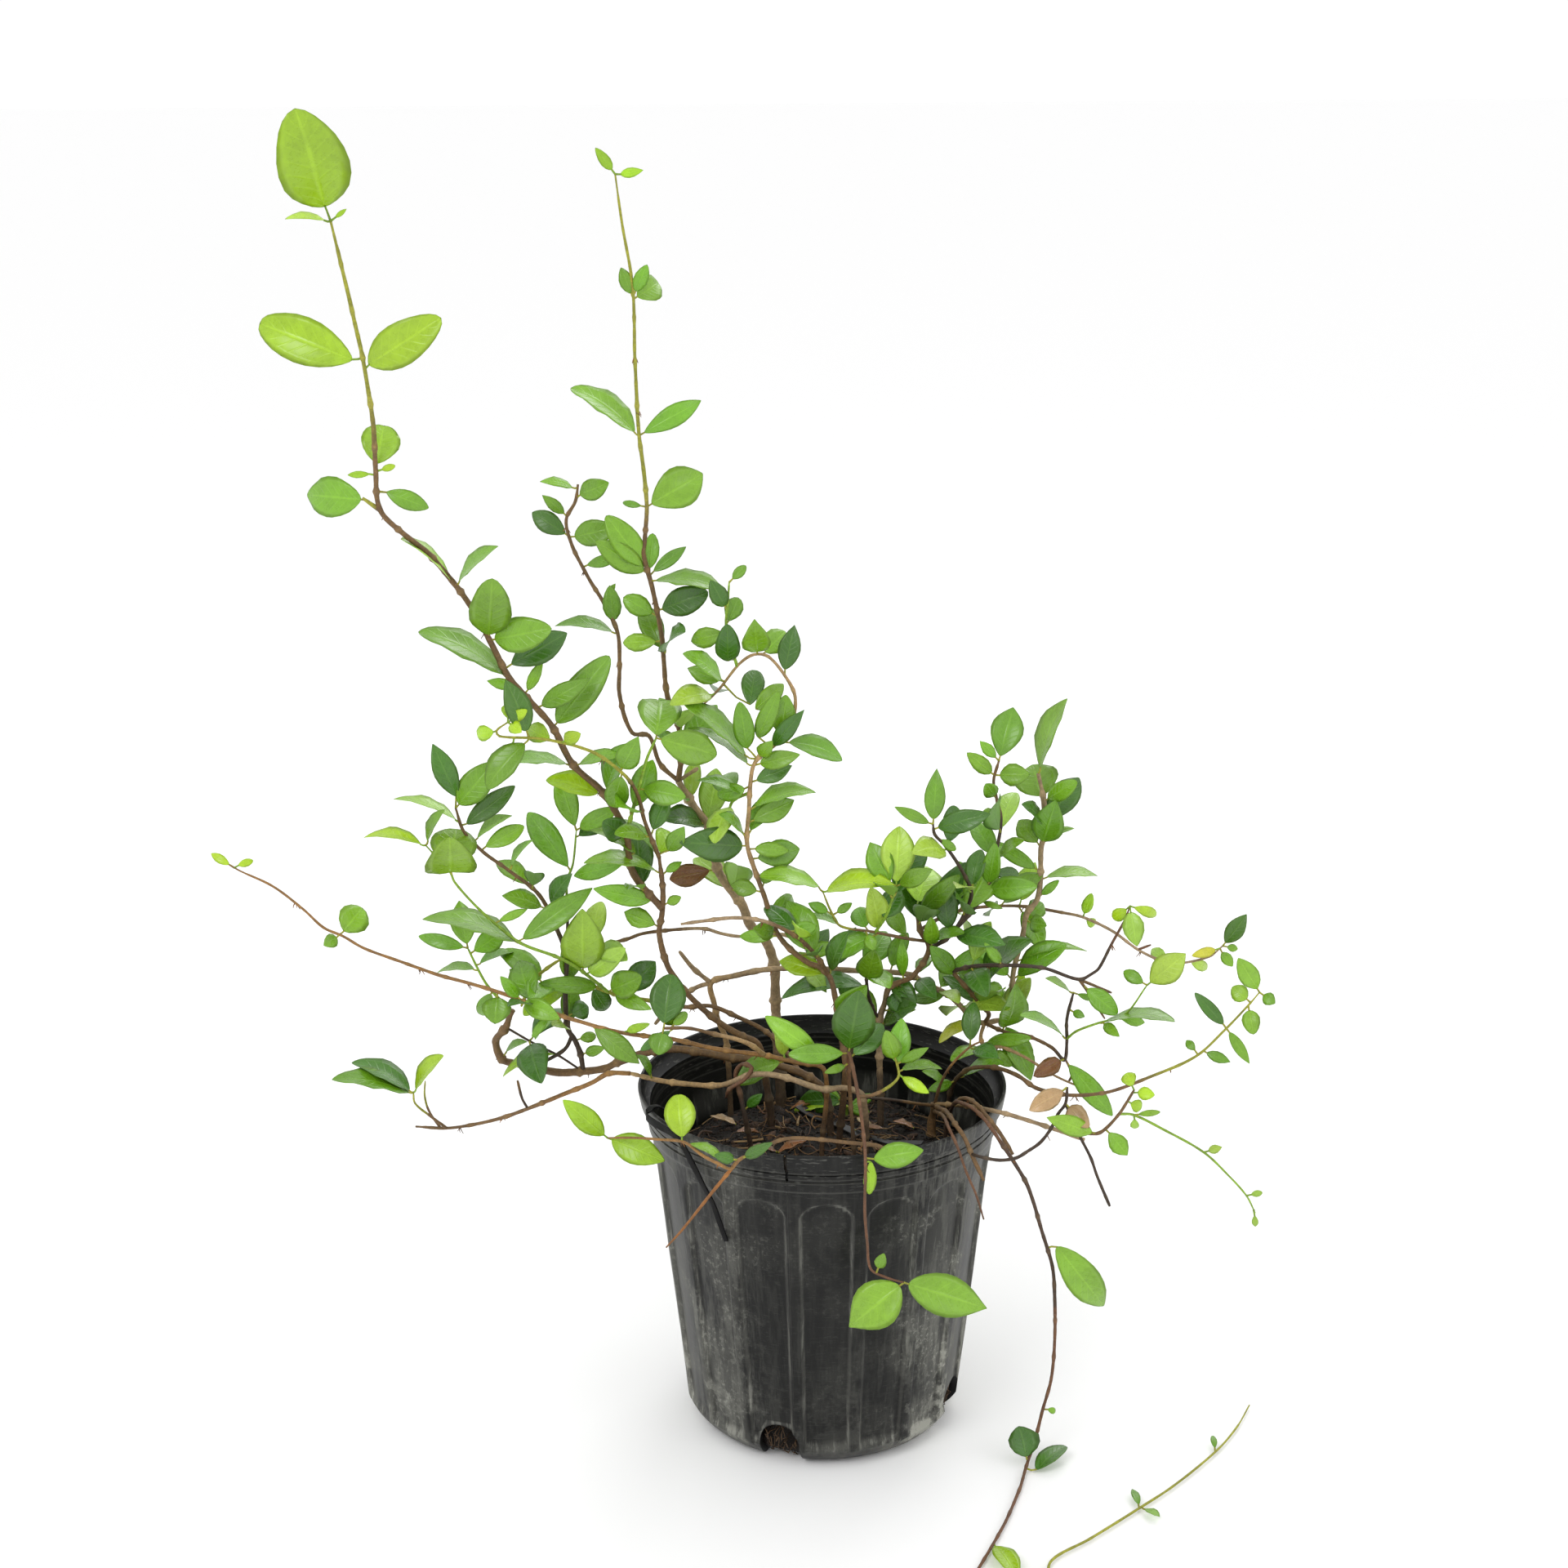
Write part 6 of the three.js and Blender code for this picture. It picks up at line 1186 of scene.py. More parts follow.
def blade_side(tree, side, columns, rows):
    keys = {"Size X": 2.0, "Size Y": 1.0, "Vertices X": columns, "Vertices Y": rows}
    grid = tree.add("GeometryNodeMeshGrid", keys)
    x, y, _ = tree.split(tree.spot)
    closer = tree.times(tree.math("SINE", tree.times(y, math.pi)), 0.5)
    grid = tree.move(grid, Position=tree.joined(x, closer, 0.0))
    grid = tree.store(grid, "blade_u", x)
    grid = tree.store(grid, "blade_v", tree.plus(y, 0.5))
    grid = tree.store(grid, "blade_top", max(0.0, side))
    lift = tree.times(tree.minus(1.0, tree.times(x, x)), tree.minus(0.25, tree.times(y, y)), side)
    grid = tree.store(grid, "lift", lift)
    grid = tree.move(grid, Offset=tree.joined(0.0, 0.0, lift))
    return tree.add("GeometryNodeFlipFaces", [grid]) if side < 0 else grid


def plant_blades(tree, points):
    planted = []
    large = tree.math("GREATER_THAN", tree.named("long"), LARGE_BLADE)
    for columns, rows, size in BLADE_SIZES:
        both = tree.join([blade_side(tree, side, columns, rows) for side in (-1.0, 1.0)])
        blade = tree.add("GeometryNodeMergeByDistance", {"Geometry": both, "Distance": 1e-5})
        chosen = large if size == "large" else tree.minus(1.0, large)
        keys = {"Points": points, "Selection": chosen, "Instance": blade}
        planted.append(tree.add("GeometryNodeInstanceOnPoints", keys))
    return tree.realize(tree.join(planted))


# %% [markdown]
# Bending the leaves
#
# After Realize Instances each vertex still knows its leaf's attributes, so one formula can bend all the
# blades at once: the outline from the sine of blade_v, the fold and the waves from blade_u, the arch and
# the droop from both.

# %% The bent blades of the tree
BASE_POWER = 0.74
GROOVE = 0.00012


def bend_blades(tree, leaves):
    u, v = tree.named("blade_u"), tree.named("blade_v")
    long, wide, lift = tree.named("long"), tree.named("wide"), tree.named("lift")
    target = tree.vector("SUBTRACT", tree.spot, tree.joined(u, tree.minus(v, 0.5), lift))
    arc = tree.math("SINE", tree.times(tree.math("POWER", v, tree.named("shift")), math.pi))
    power = tree.plus(tree.times(tree.minus(tree.named("tip"), BASE_POWER), v), BASE_POWER)
    outline = tree.math("POWER", tree.math("MAXIMUM", arc, 0.0), power)
    half = tree.times(wide, 0.5, tree.plus(0.025, tree.times(outline, 0.975)))
    square = tree.times(u, u)
    fold = tree.times(half, square, tree.named("fold"))
    bow = tree.times(v, tree.minus(1.0, v), 4.0)
    arch = tree.times(bow, tree.named("arch"), long)
    droop = tree.times(tree.math("POWER", v, 3.0), tree.named("droop"), long)
    ripple = tree.math("SINE", tree.plus(tree.times(v, 17.0), tree.times(u, 2.0)))
    ripple = tree.times(ripple, square, tree.times(half, tree.named("wave")), 0.13)
    body = tree.times(lift, 4.0, tree.given["Blade thickness"])
    groove = tree.smooth(tree.math("ABSOLUTE", u), 0.0, 0.2, GROOVE, 0.0)
    rise = tree.minus(tree.plus(fold, arch, tree.plus(ripple, body)), droop)
    rise = tree.minus(rise, groove)
    for direction, reach in (("ahead", tree.times(v, long)), ("aside", tree.times(u, half)), ("above", rise)):
        target = tree.vector("ADD", target, tree.scaled(tree.named(direction, "FLOAT_VECTOR"), reach))
    return tree.dress(tree.move(leaves, Position=target), LEAF_FINISH)


# %% The whole tree of a vine
def vine_tree():
    tree = GrowthTree("grow a vine", [
        ("Sides", "Int", 8),
        ("Wobble", "Float", 0.0004),
        ("Joint spacing", "Float", 0.019),
        ("Joint swelling", "Float", 0.5),
        ("Blade thickness", "Float", 0.0003),
        ("Seed", "Float", 1.0),
    ])
    is_leaf = tree.math("GREATER_THAN", tree.named("leaf"), 0.5)
    points = tree.outputs("GeometryNodeSeparateGeometry", [tree.given["Geometry"], is_leaf], domain="POINT")
    stems = grow_stems(tree, points["Inverted"])
    leaves = bend_blades(tree, plant_blades(tree, points["Selection"]))
    return tree.close(tree.shade_smooth(tree.join([leaves, stems])))


VINE_TREE = vine_tree()
print("the vine tree has", len(VINE_TREE.tree.nodes), "boxes")

# %% [markdown]
# All the vines
#
# Each leafy solid of the frame is replaced by one grown piece: its stems, stalks, rootlets and leaves in a
# single mesh. The plan's helper attributes have done their work by then and are removed.

# %% Growing every vine
KEPT_ATTRIBUTES = {
    "tint", "blade_u", "blade_v", "blade_top", "joint", "position", "material_index", "sharp_face"}
MARGIN = 1e-5


def keep_inside(mesh, low, high):
    """Where the tip of a leaf sticks out of the solids' box, draws it in evenly, four parts out of five."""
    points = np.empty(len(mesh.vertices) * 3, np.float32)
    mesh.vertices.foreach_get("co", points)
    points = points.reshape(-1, 3)
    for axis in range(3):
        for side, limit in ((1.0, high[axis] - MARGIN), (-1.0, -low[axis] - MARGIN)):
            reach = points[:, axis] * side
            over = reach.max() - limit
            if over > 0:
                start = limit - 4.0 * over
                points[:, axis] = side * np.where(reach > start, start + 0.8 * (reach - start), reach)
    mesh.vertices.foreach_set("co", points.ravel())
    mesh.update()


for order, vine_name in enumerate(VINES):
    vine = new_piece("grown_" + vine_name, draw_vine(vine_name, 100 * (order + 1)))
    VINE_TREE.grow(vine, Seed=float(order))
    for attribute in list(vine.data.attributes):
        if attribute.name not in KEPT_ATTRIBUTES and not attribute.name.startswith("."):
            vine.data.attributes.remove(attribute)
    keep_inside(vine.data, *CAD_BOX)
    vine.data.name = vine.name
    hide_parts(vine_name)
    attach(vine, "root")
    print(vine.name, "has", len(vine.data.polygons), "faces")

# %% [markdown]
# The wall of the can
#
# The nursery can is blown black plastic: a wall that widens upwards, sixteen flutes pressed into it under
# round arches, two thin rings and a rolled lip. The lip is knocked out of round: a little oval, with a dent
# at the left. Lengths are in millimetres and angles in degrees, counted from the front to the right.

# %% Measurements of the can
CAN_HEIGHT = 165.0
FLUTE_COUNT = 16
FIRST_FLUTE = 1.5
FLUTE_HALF = 9.4
SEAM_ANGLE = -11.0
HOLE_ANGLES = [-18 + 90 * quarter for quarter in range(4)]
FOOT_RADIUS = 54.0
FOOT_ROUNDING = 11.0
FOOT_HEIGHT = 9.0
WIDENING = 16.8
LIP_STARTS = 45
OVAL, OVAL_ANGLE = 0.9, 80
DENT, DENT_ANGLE, DENT_SPREAD = 3.0, -66, 13


def around(angle, radius, z):
    turn = math.radians(angle)
    return Vector((radius * math.sin(turn), -radius * math.cos(turn), z))


def wall_radius(z):
    if z <= FOOT_HEIGHT:
        return FOOT_RADIUS + FOOT_ROUNDING * math.sqrt(max(z, 0.0) / FOOT_HEIGHT)
    return FOOT_RADIUS + FOOT_ROUNDING + WIDENING * (z - FOOT_HEIGHT) / (CAN_HEIGHT - FOOT_HEIGHT)


def lip_shift(angle, z):
    """How far the wall stands out from its circle, more and more towards the lip."""
    oval = OVAL * math.cos(math.radians(2 * (angle - OVAL_ANGLE)))
    dent = DENT * math.exp(-(((angle - DENT_ANGLE) / DENT_SPREAD) ** 2))
    return ease(z, CAN_HEIGHT - LIP_STARTS, CAN_HEIGHT) * (oval - dent)


# %% Turning a profile
def turned_mesh(name, rings, low_pole, high_pole, outside):
    """Rings of points, each joined to the next, closed by a pole at either end."""
    count = len(rings[0])
    points = [low_pole, *[p for ring in rings for p in ring], high_pole]
    last = len(points) - 1
    faces = []
    for k in range(count):
        after = (k + 1) % count
        faces.append((0, 1 + after, 1 + k))
        faces.append((last, last - count + k, last - count + after))
        for row in range(len(rings) - 1):
            a = 1 + row * count
            b = a + count
            faces.append((a + k, a + after, b + after, b + k))
    mesh = bpy.data.meshes.new(name)
    mesh.from_pydata([Vector(p) * MM for p in points], [], faces)
    marks = [0.0] + [float(flag) for flag in outside for _ in range(count)] + [0.0]
    mesh.attributes.new("outside", "FLOAT", "POINT").data.foreach_set("value", marks)
    return mesh


# %% [markdown]
# The profile
#
# The wall is turned from its profile: out along the underside, up the outside, over the lip and down the
# inside. The foot is a list of radii and heights, and the edges are heights with how far they stand out
# from the plain wall. Columns lie close together at the flutes' edges, and each vertex notes whether it
# belongs to the outside.

# %% The plain wall
FOOT = [(20, 1.4), (38, 1.4), (48.5, 1.3), (49.5, 0.8), (50.3, 0.2), (51.2, 0.0), (53.4, 0.0)]
SIDE = [0.15, 0.5, 1.1, 2, 3.2, 4.8, 6.8, 9, 10.5, 11.6, 12.2, 12.8, 13.4, 14, 14.8, 16, 18]
SIDE += [18 + 5 * k for k in range(1, 22)] + [126 + 0.8 * k for k in range(21)] + [143.2, 144.8]
OUTER_EDGE = [(145.0, 0.1), (145.3, 0.65), (145.8, 0.8), (148, 0.8), (150.3, 0.8), (150.6, 0.15), (151.4, 0.15),
              (151.7, 0.8), (154.0, 0.8), (154.2, 0.35), (154.7, 0.35), (154.9, 0.8), (156.6, 0.8), (157.0, 0.9),
              (157.2, 2.2), (157.5, 2.6), (158.2, 2.7), (161, 2.9), (163.6, 3.1), (164.4, 3.05), (164.8, 2.8)]
INNER_EDGE = [(165, 2.4), (165, 2.0), (164.8, 1.6), (164.2, 1.35), (162.5, 1.2), (159, 0.4), (157, -1.8),
              (150, -2.1), (140, -2.7), (124, -3.6), (80, -3.6), (30, -3.6), (12, -3.6), (7, -4.4), (4, -5.2)]
HALF_FLUTE = [0.0, 2.5, 5.0, 6.8, 7.5, 7.9, 8.3, 8.7, 9.1, 9.4]
RIB = [9.7, 10.0, 10.3, 11.6]

can_angles = []
for flute in range(FLUTE_COUNT):
    middle = FIRST_FLUTE + 360.0 / FLUTE_COUNT * flute
    can_angles += [middle + step for step in [-step for step in HALF_FLUTE[:0:-1]] + HALF_FLUTE + RIB]

can_rings = [[around(a, radius, z) for a in can_angles] for radius, z in FOOT]
for z, extra in [(z, 0.0) for z in SIDE] + OUTER_EDGE + INNER_EDGE:
    can_rings.append([around(a, wall_radius(z) + extra + lip_shift(a, z), z) for a in can_angles])
can_outside = [0] * len(FOOT) + [1] * (len(SIDE) + len(OUTER_EDGE)) + [0] * len(INNER_EDGE)
can_mesh = turned_mesh("nursery can", can_rings, (0, 0, 1.4), (0, 0, 3.0), can_outside)
print("the can's wall has", len(can_mesh.polygons), "faces")

# %% [markdown]
# The look of the can
#
# Black plastic that has stood in a nursery is never black. Water has run down it and left a chalky film:
# streaks that are long upwards and narrow sideways, strongest low down and on the ribs between the flutes,
# with crusty specks here and there. The film is also made stronger at the left and right of the can as seen
# from the camera: that part is painted light, where the lamps catch the round wall. Fine scratches run round
# the lip, and the rings under it get pale lines, which are painted highlights on their edges. The film is
# duller than the bare plastic.

# %% The chalky film
def chalky_film_and_side_light(boxes, place, clouds):
    x, y, z = boxes.split(place)
    tall = boxes.joined(x, y, boxes.times(z, 0.07))
    streaks = boxes.smooth(boxes.noise(tall, 260.0, 6.0, 0.7), 0.46, 0.62)
    wide_streaks = boxes.smooth(boxes.noise(tall, 60.0), 0.44, 0.6)
    specks = boxes.smooth(boxes.noise(place, 380.0, 6.0, 0.75), 0.52, 0.62)
    low = boxes.smooth(z, 0.0, 0.13, 1.0, 0.45)
    to_right = boxes.smooth(x, 0.015, 0.055)
    to_left = boxes.smooth(x, -0.06, -0.01, 0.7, 0.1)
    # Painted light: film and specks are made stronger at the left and right of the can as seen from the camera.
    painted_side_light = boxes.times(boxes.math("MAXIMUM", to_right, to_left), boxes.stored("outside"))
    pressed = boxes.stored("pressed")
    on_rib = boxes.minus(1.0, boxes.times(pressed, 0.45))
    patches = boxes.smooth(boxes.noise(place, 48.0, 5.0, 0.7), 0.5, 0.6)
    patches = boxes.times(patches, boxes.smooth(z, 0.01, 0.07, 1.0, 0.0))
    run_off = boxes.plus(boxes.times(streaks, 0.55), boxes.times(wide_streaks, 0.3))
    run_off = boxes.plus(run_off, boxes.times(clouds, 0.3), boxes.times(patches, 0.9))
    crust_on_lit_sides = boxes.times(clouds, specks, painted_side_light)
    film_and_side_light = boxes.plus(boxes.times(run_off, boxes.times(low, painted_side_light, on_rib)), boxes.times(crust_on_lit_sides, 0.5))
    at_edge = boxes.times(pressed, boxes.minus(1.0, pressed), 4.0)
    lines = boxes.times(at_edge, boxes.smooth(streaks, 0.0, 1.0, 0.1, 0.34))
    return boxes.math("ADD", film_and_side_light, lines, clamp=True)


# %% The scratches, the painted ring highlights and the can finish
RING_HIGHLIGHT_HEIGHTS = (0.1458, 0.1503, 0.1518, 0.1549)


def lip_scratches_and_ring_highlights(boxes, place):
    x, y, z = boxes.split(place)
    around_lip = boxes.joined(boxes.times(x, 0.15), boxes.times(y, 0.15), z)
    scratches_and_highlights = boxes.smooth(boxes.noise(around_lip, 1400.0), 0.58, 0.66)
    scratches_and_highlights = boxes.times(scratches_and_highlights, boxes.smooth(z, 0.14, 0.157, 0.05, 0.3))
    # The pale lines at these heights are a painted highlight on the edges of the rings under the lip.
    for ring_height in RING_HIGHLIGHT_HEIGHTS:
        off_ring = boxes.math("ABSOLUTE", boxes.minus(z, ring_height))
        scratches_and_highlights = boxes.plus(scratches_and_highlights, boxes.smooth(off_ring, 0.0002, 0.0006, 0.16, 0.0))
    return scratches_and_highlights


def can_finish():
    boxes = Finish("weathered black plastic")
    place = boxes.where()
    clouds = boxes.smooth(boxes.noise(place, 34.0, 7.0, 0.66), 0.46, 0.62)
    film_and_side_light = chalky_film_and_side_light(boxes, place, clouds)
    plastic = boxes.blend(boxes.smooth(clouds, 0.0, 1.0), srgb(13, 13, 12), srgb(23, 23, 21))
    # The pale film colour also carries the painted light on the can's sides.
    dust_and_painted_light = boxes.blend(boxes.times(film_and_side_light, 0.9), plastic, srgb(158, 158, 149))
    worn_and_highlighted = boxes.blend(lip_scratches_and_ring_highlights(boxes, place), dust_and_painted_light, srgb(120, 120, 114))
    roughness = boxes.smooth(film_and_side_light, 0.0, 0.6, 0.38, 0.72)
    height = boxes.plus(boxes.times(boxes.noise(place, 420.0), 0.5), boxes.times(film_and_side_light, 0.4))
    return boxes.coat(worn_and_highlighted, roughness, shine=0.24, bump=(0.25, 0.0003, height))


CAN_FINISH = can_finish()
print("the can finish has", len(CAN_FINISH.node_tree.nodes), "boxes")

# %% [markdown]
# Pressing the flutes
#
# Every flute is the same rule turned round the can: how far a point is from the middle of its flute, as an
# angle, and how far it is above the shoulder of the arch. Both together give a number that is 1 on the
# edge of the arch. Inside it the wall moves inwards. Geometry Nodes does this to all sixteen at once. The
# two halves of the mould left a fine raised seam at the front and at the back, which is one more rule.

# %% The tree that presses the flutes
def off_nearest(tree, angle, first, pitch):
    """How far an angle is from the nearest of many evenly spaced ones, as a share of their pitch."""
    turns = tree.math("DIVIDE", tree.minus(angle, first), pitch)
    return tree.minus(tree.math("FRACT", tree.plus(turns, 0.5)), 0.5)


def inside_flute(tree, angle, z):
    given = tree.given
    pitch = tree.math("DIVIDE", 2 * math.pi, given["Count"])
    off_middle = off_nearest(tree, angle, given["First angle"], pitch)
    across = tree.math("DIVIDE", tree.times(off_middle, pitch), given["Half angle"])
    over = tree.math("DIVIDE", tree.math("MAXIMUM", tree.minus(z, given["Shoulder"]), 0.0), given["Arch"])
    reach = tree.math("SQRT", tree.plus(tree.times(across, across), tree.times(over, over)))
    raised = tree.minus(z, given["Bottom"])
    return tree.times(tree.smooth(reach, 0.84, 1.0, 1.0, 0.0), tree.smooth(raised, 0.0, 0.008))


def flute_tree():
    tree = GrowthTree("press the flutes", [
        ("Count", "Float", float(FLUTE_COUNT)),
        ("First angle", "Float", math.radians(FIRST_FLUTE)),
        ("Half angle", "Float", math.radians(FLUTE_HALF)),
        ("Depth", "Float", 0.0018),
        ("Bottom", "Float", 0.007),
        ("Shoulder", "Float", 0.131),
        ("Arch", "Float", 0.009),
        ("Handling", "Float", 0.00035),
        ("Seam angle", "Float", math.radians(SEAM_ANGLE)),
        ("Seam height", "Float", 0.00035),
    ])
    given = tree.given
    x, y, z = tree.split(tree.spot)
    angle = tree.math("ARCTAN2", x, tree.times(y, -1.0))
    inside = inside_flute(tree, angle, z)
    dents = tree.spread(tree.noise(tree.spot, 22.0, 2.0))
    press = tree.plus(tree.times(inside, given["Depth"]), tree.times(dents, given["Handling"]))
    off_seam = off_nearest(tree, angle, given["Seam angle"], math.pi)
    seam = tree.smooth(tree.math("ABSOLUTE", off_seam), 0.0005, 0.0016, 1.0, 0.0)
    press = tree.minus(press, tree.times(seam, given["Seam height"]))
    press = tree.times(press, tree.named("outside"))
    outward = tree.vector("NORMALIZE", tree.joined(x, y, 0.0))
    moved = tree.move(given["Geometry"], Offset=tree.scaled(outward, tree.times(press, -1.0)))
    return tree.close(tree.dress(tree.store(moved, "pressed", inside), CAN_FINISH))


# %% [markdown]
# Holes and the slit
#
# Four arched holes at the foot let water out, and a short slit runs down the lip at the front. They are cut
# with boolean modifiers from simple cutters, and the modifiers are applied at once. Only edges that turn
# sharply stay sharp; everything else is shaded smooth.

# %% The cutters
def face_outwards(mesh):
    shape = bmesh.new()
    shape.from_mesh(mesh)
    bmesh.ops.recalc_face_normals(shape, faces=shape.faces)
    shape.to_mesh(mesh)
    shape.free()


def prism(name, outline, near, far, angle):
    """An upright outline drawn out between two distances from the middle, at an angle round the can."""
    count = len(outline)
    corners = [(s, -distance, z) for distance in (near, far) for s, z in outline]
    faces = [tuple(range(count)), tuple(range(2 * count - 1, count - 1, -1))]
    faces += [(k, count + k, count + (k + 1) % count, (k + 1) % count) for k in range(count)]
    mesh = bpy.data.meshes.new(name)
    turn = Matrix.Rotation(math.radians(angle), 3, "Z")
    mesh.from_pydata([turn @ Vector(corner) * MM for corner in corners], [], faces)
    face_outwards(mesh)
    return new_piece(name, mesh)


def arch_cutter(angle, half=9.5, shoulder=11.5):
    outline = [(-half, -1.0), (half, -1.0)]
    outline += [(half * math.cos(t), shoulder + half * math.sin(t)) for t in np.linspace(0.0, math.pi, 17)]
    return prism("drain cutter", outline, 48.0, 88.0, angle)


def slit_cutter(angle):
    outline = [(-0.6, 151.0), (-0.3, 150.7), (0.3, 150.7), (0.6, 151.0), (0.7, 166.0), (-0.7, 166.0)]
    return prism("slit cutter", outline, 78.0, 90.0, angle)


# %% Cutting the can
def cut(piece, cutter):
    step = piece.modifiers.new("cut", "BOOLEAN")
    step.operation = "DIFFERENCE"
    step.solver = "EXACT"
    step.object = cutter
    settle(piece)
    bpy.data.objects.remove(cutter)


def smooth_with_edges(mesh, degrees):
    mesh.polygons.foreach_set("use_smooth", [True] * len(mesh.polygons))
    mesh.set_sharp_from_angle(angle=math.radians(degrees))


can = new_piece("nursery_can", can_mesh)
flute_tree().grow(can)
for hole_angle in HOLE_ANGLES:
    cut(can, arch_cutter(hole_angle))
cut(can, slit_cutter(SEAM_ANGLE))
smooth_with_edges(can.data, 34)
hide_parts("pot")
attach(can, "root")
print("the can has", len(can.data.polygons), "faces")

# %% [markdown]
# Soil
#
# The can is filled with dark bark soil that has settled: low at the wall and mounded round the stems. The
# mound is turned like the wall was and then roughened, each point pushed up or down by noise. On top lie
# bark chips and clods, scattered by Geometry Nodes, each a small crumpled block with its own size and shade.

# %% The look of soil
def soil_finish():
    boxes = Finish("bark soil")
    place = boxes.where()
    grains = boxes.noise(place, 900.0, 5.0, 0.7)
    clods = boxes.noise(place, 160.0)
    dark = boxes.blend(boxes.spread(grains), srgb(9, 7, 5), srgb(28, 20, 14))
    chip = boxes.blend(boxes.spread(grains), srgb(46, 29, 18), srgb(104, 74, 50))
    colour = boxes.blend(boxes.math("POWER", boxes.stored("shade"), 2.2), dark, chip)
    pale_specks = boxes.smooth(boxes.noise(place, 1500.0, 1.0), 0.7, 0.74)
    colour = boxes.blend(boxes.times(pale_specks, 0.4), colour, srgb(160, 150, 132))
    height = boxes.plus(grains, boxes.times(clods, 0.8))
    return boxes.coat(colour, boxes.spread(clods, 0.78, 0.96), bump=(0.8, 0.0006, height))


SOIL_FINISH = soil_finish()

# %% The mound
SOIL_COLUMNS = 120
MOUND_RINGS = 34
FILL_HEIGHT = 124
FILL_RADIUS = wall_radius(FILL_HEIGHT) - 4.0
UNDERSIDE = (20, 40, 56)
BELOW_THE_FILL = ((5.5, 5.6), (7.5, 9.0), (12, 12.0), (20, 10.0), (25, 5.0), (32, 4.0), (60, 4.0), (90, 4.0),
                  (118, 4.0))


def signed(angle):
    """The same angle between -180 and 180."""
    return (angle + 180) % 360 - 180


def mound_height(radius, angle, wall):
    """Three slopes: round the stems, down to the shoulder and down to the wall."""
    inner = 34 + 5 * math.sin(math.radians(2 * angle + 40))
    outer = 60 + 4 * math.sin(math.radians(3 * angle))
    if radius <= inner:
        return 136 - 1.8 * radius / inner
    if radius <= outer:
        return 134.2 - 4.2 * (radius - inner) / (outer - inner)
    return 130 - 6 * (radius - outer) / (wall - outer)


def rough(point, size, depth):
    return noise.fractal(point * size, 0.9, 2.0, depth)


def mound_ring(share):
    ring = []
    for a in soil_angles:
        wall = FILL_RADIUS + lip_shift(signed(a), FILL_HEIGHT)
        p = around(a, wall * share, 0)
        lift = 1.0 * rough(p, 0.07, 4) + 0.5 * rough(p, 0.3, 3)
        ring.append(around(a, wall * share, mound_height(wall * share, signed(a), wall) + lift - 0.6))
    return ring


soil_angles = [360.0 / SOIL_COLUMNS * k for k in range(SOIL_COLUMNS)]
soil_rings = [[around(a, radius, 3.5) for a in soil_angles] for radius in UNDERSIDE]
for z, gap in BELOW_THE_FILL:
    radii = [wall_radius(z) - gap + 0.6 * rough(around(a, 60, z), 0.1, 3) for a in soil_angles]
    soil_rings.append([around(a, radius, z) for a, radius in zip(soil_angles, radii)])
soil_marks = [0] * len(soil_rings) + [1] * MOUND_RINGS
soil_rings += [mound_ring(share) for share in np.linspace(1.0, 0.04, MOUND_RINGS)]
soil_mesh = turned_mesh("bark soil", soil_rings, (0, 0, 3.5), (0, 0, 135.6), soil_marks)
print("the mound has", len(soil_mesh.polygons), "faces")

# %% [markdown]
# Scattering chips
#
# Distribute Points on Faces puts points only where the attribute outside is 1, which is the top, and not
# close to the wall. Each point gets a crumpled block, turned at random and half sunk. Realize Instances
# makes them real, and the random shade that each one stored makes it a dark crumb or pale bark.

# %% The tree that scatters chips
CRUMB = {"within": 0.0722, "sizes": (0.00045, 0.0011), "shades": (0.0, 0.55), "stretch": (1.3, 1.0, 0.8)}
CHIP = {"within": 0.0668, "sizes": (0.0011, 0.0027), "shades": (0.35, 1.0), "stretch": (1.9, 1.0, 0.45)}
CRUMPLE = 1.1


def random_number(tree, low, high, seed):
    return tree.add("FunctionNodeRandomValue", {2: low, 3: high, 8: seed}, 1, data_type="FLOAT")


def random_vector(tree, low, high, seed):
    return tree.add("FunctionNodeRandomValue", {0: low, 1: high, 8: seed}, data_type="FLOAT_VECTOR")


def crumpled_block(tree):
    block = tree.add("GeometryNodeMeshIcoSphere", {"Radius": 1.0, "Subdivisions": 1})
    drift = tree.add("ShaderNodeTexNoise", {"Vector": tree.spot, "Scale": 1.1}, "Color")
    crumple = tree.vector("SUBTRACT", drift, (0.5, 0.5, 0.5))
    return tree.move(block, Offset=tree.scaled(crumple, CRUMPLE))


def scatter(tree, number, density, kind):
    ground = tree.given["Geometry"]
    flat_spot = tree.vector("MULTIPLY", tree.spot, (1.0, 1.0, 0.0))
    from_middle = tree.add("ShaderNodeVectorMath", [flat_spot], "Value", operation="LENGTH")
    chosen = tree.times(tree.named("outside"), tree.math("LESS_THAN", from_middle, kind["within"]))
    keys = {"Mesh": ground, "Selection": tree.math("GREATER_THAN", chosen, 0.5)}
    keys.update({"Density": density, "Seed": tree.plus(tree.given["Seed"], float(number))})
    points = tree.add("GeometryNodeDistributePointsOnFaces", keys, distribute_method="RANDOM")
    uneven = random_vector(tree, (0.7, 0.7, 0.7), (1.3, 1.3, 1.3), 11 + number)
    size = random_number(tree, *kind["sizes"], 21 + number)
    size = tree.scaled(tree.vector("MULTIPLY", kind["stretch"], uneven), size)
    turned = random_vector(tree, (-0.6, -0.6, 0.0), (0.6, 0.6, 6.28), 31 + number)
    keys = {"Points": points, "Instance": crumpled_block(tree), "Rotation": turned, "Scale": size}
    laid = tree.add("GeometryNodeInstanceOnPoints", keys)
    shade = random_number(tree, *kind["shades"], 41 + number)
    return tree.realize(tree.store(laid, "shade", shade, "INSTANCE"))


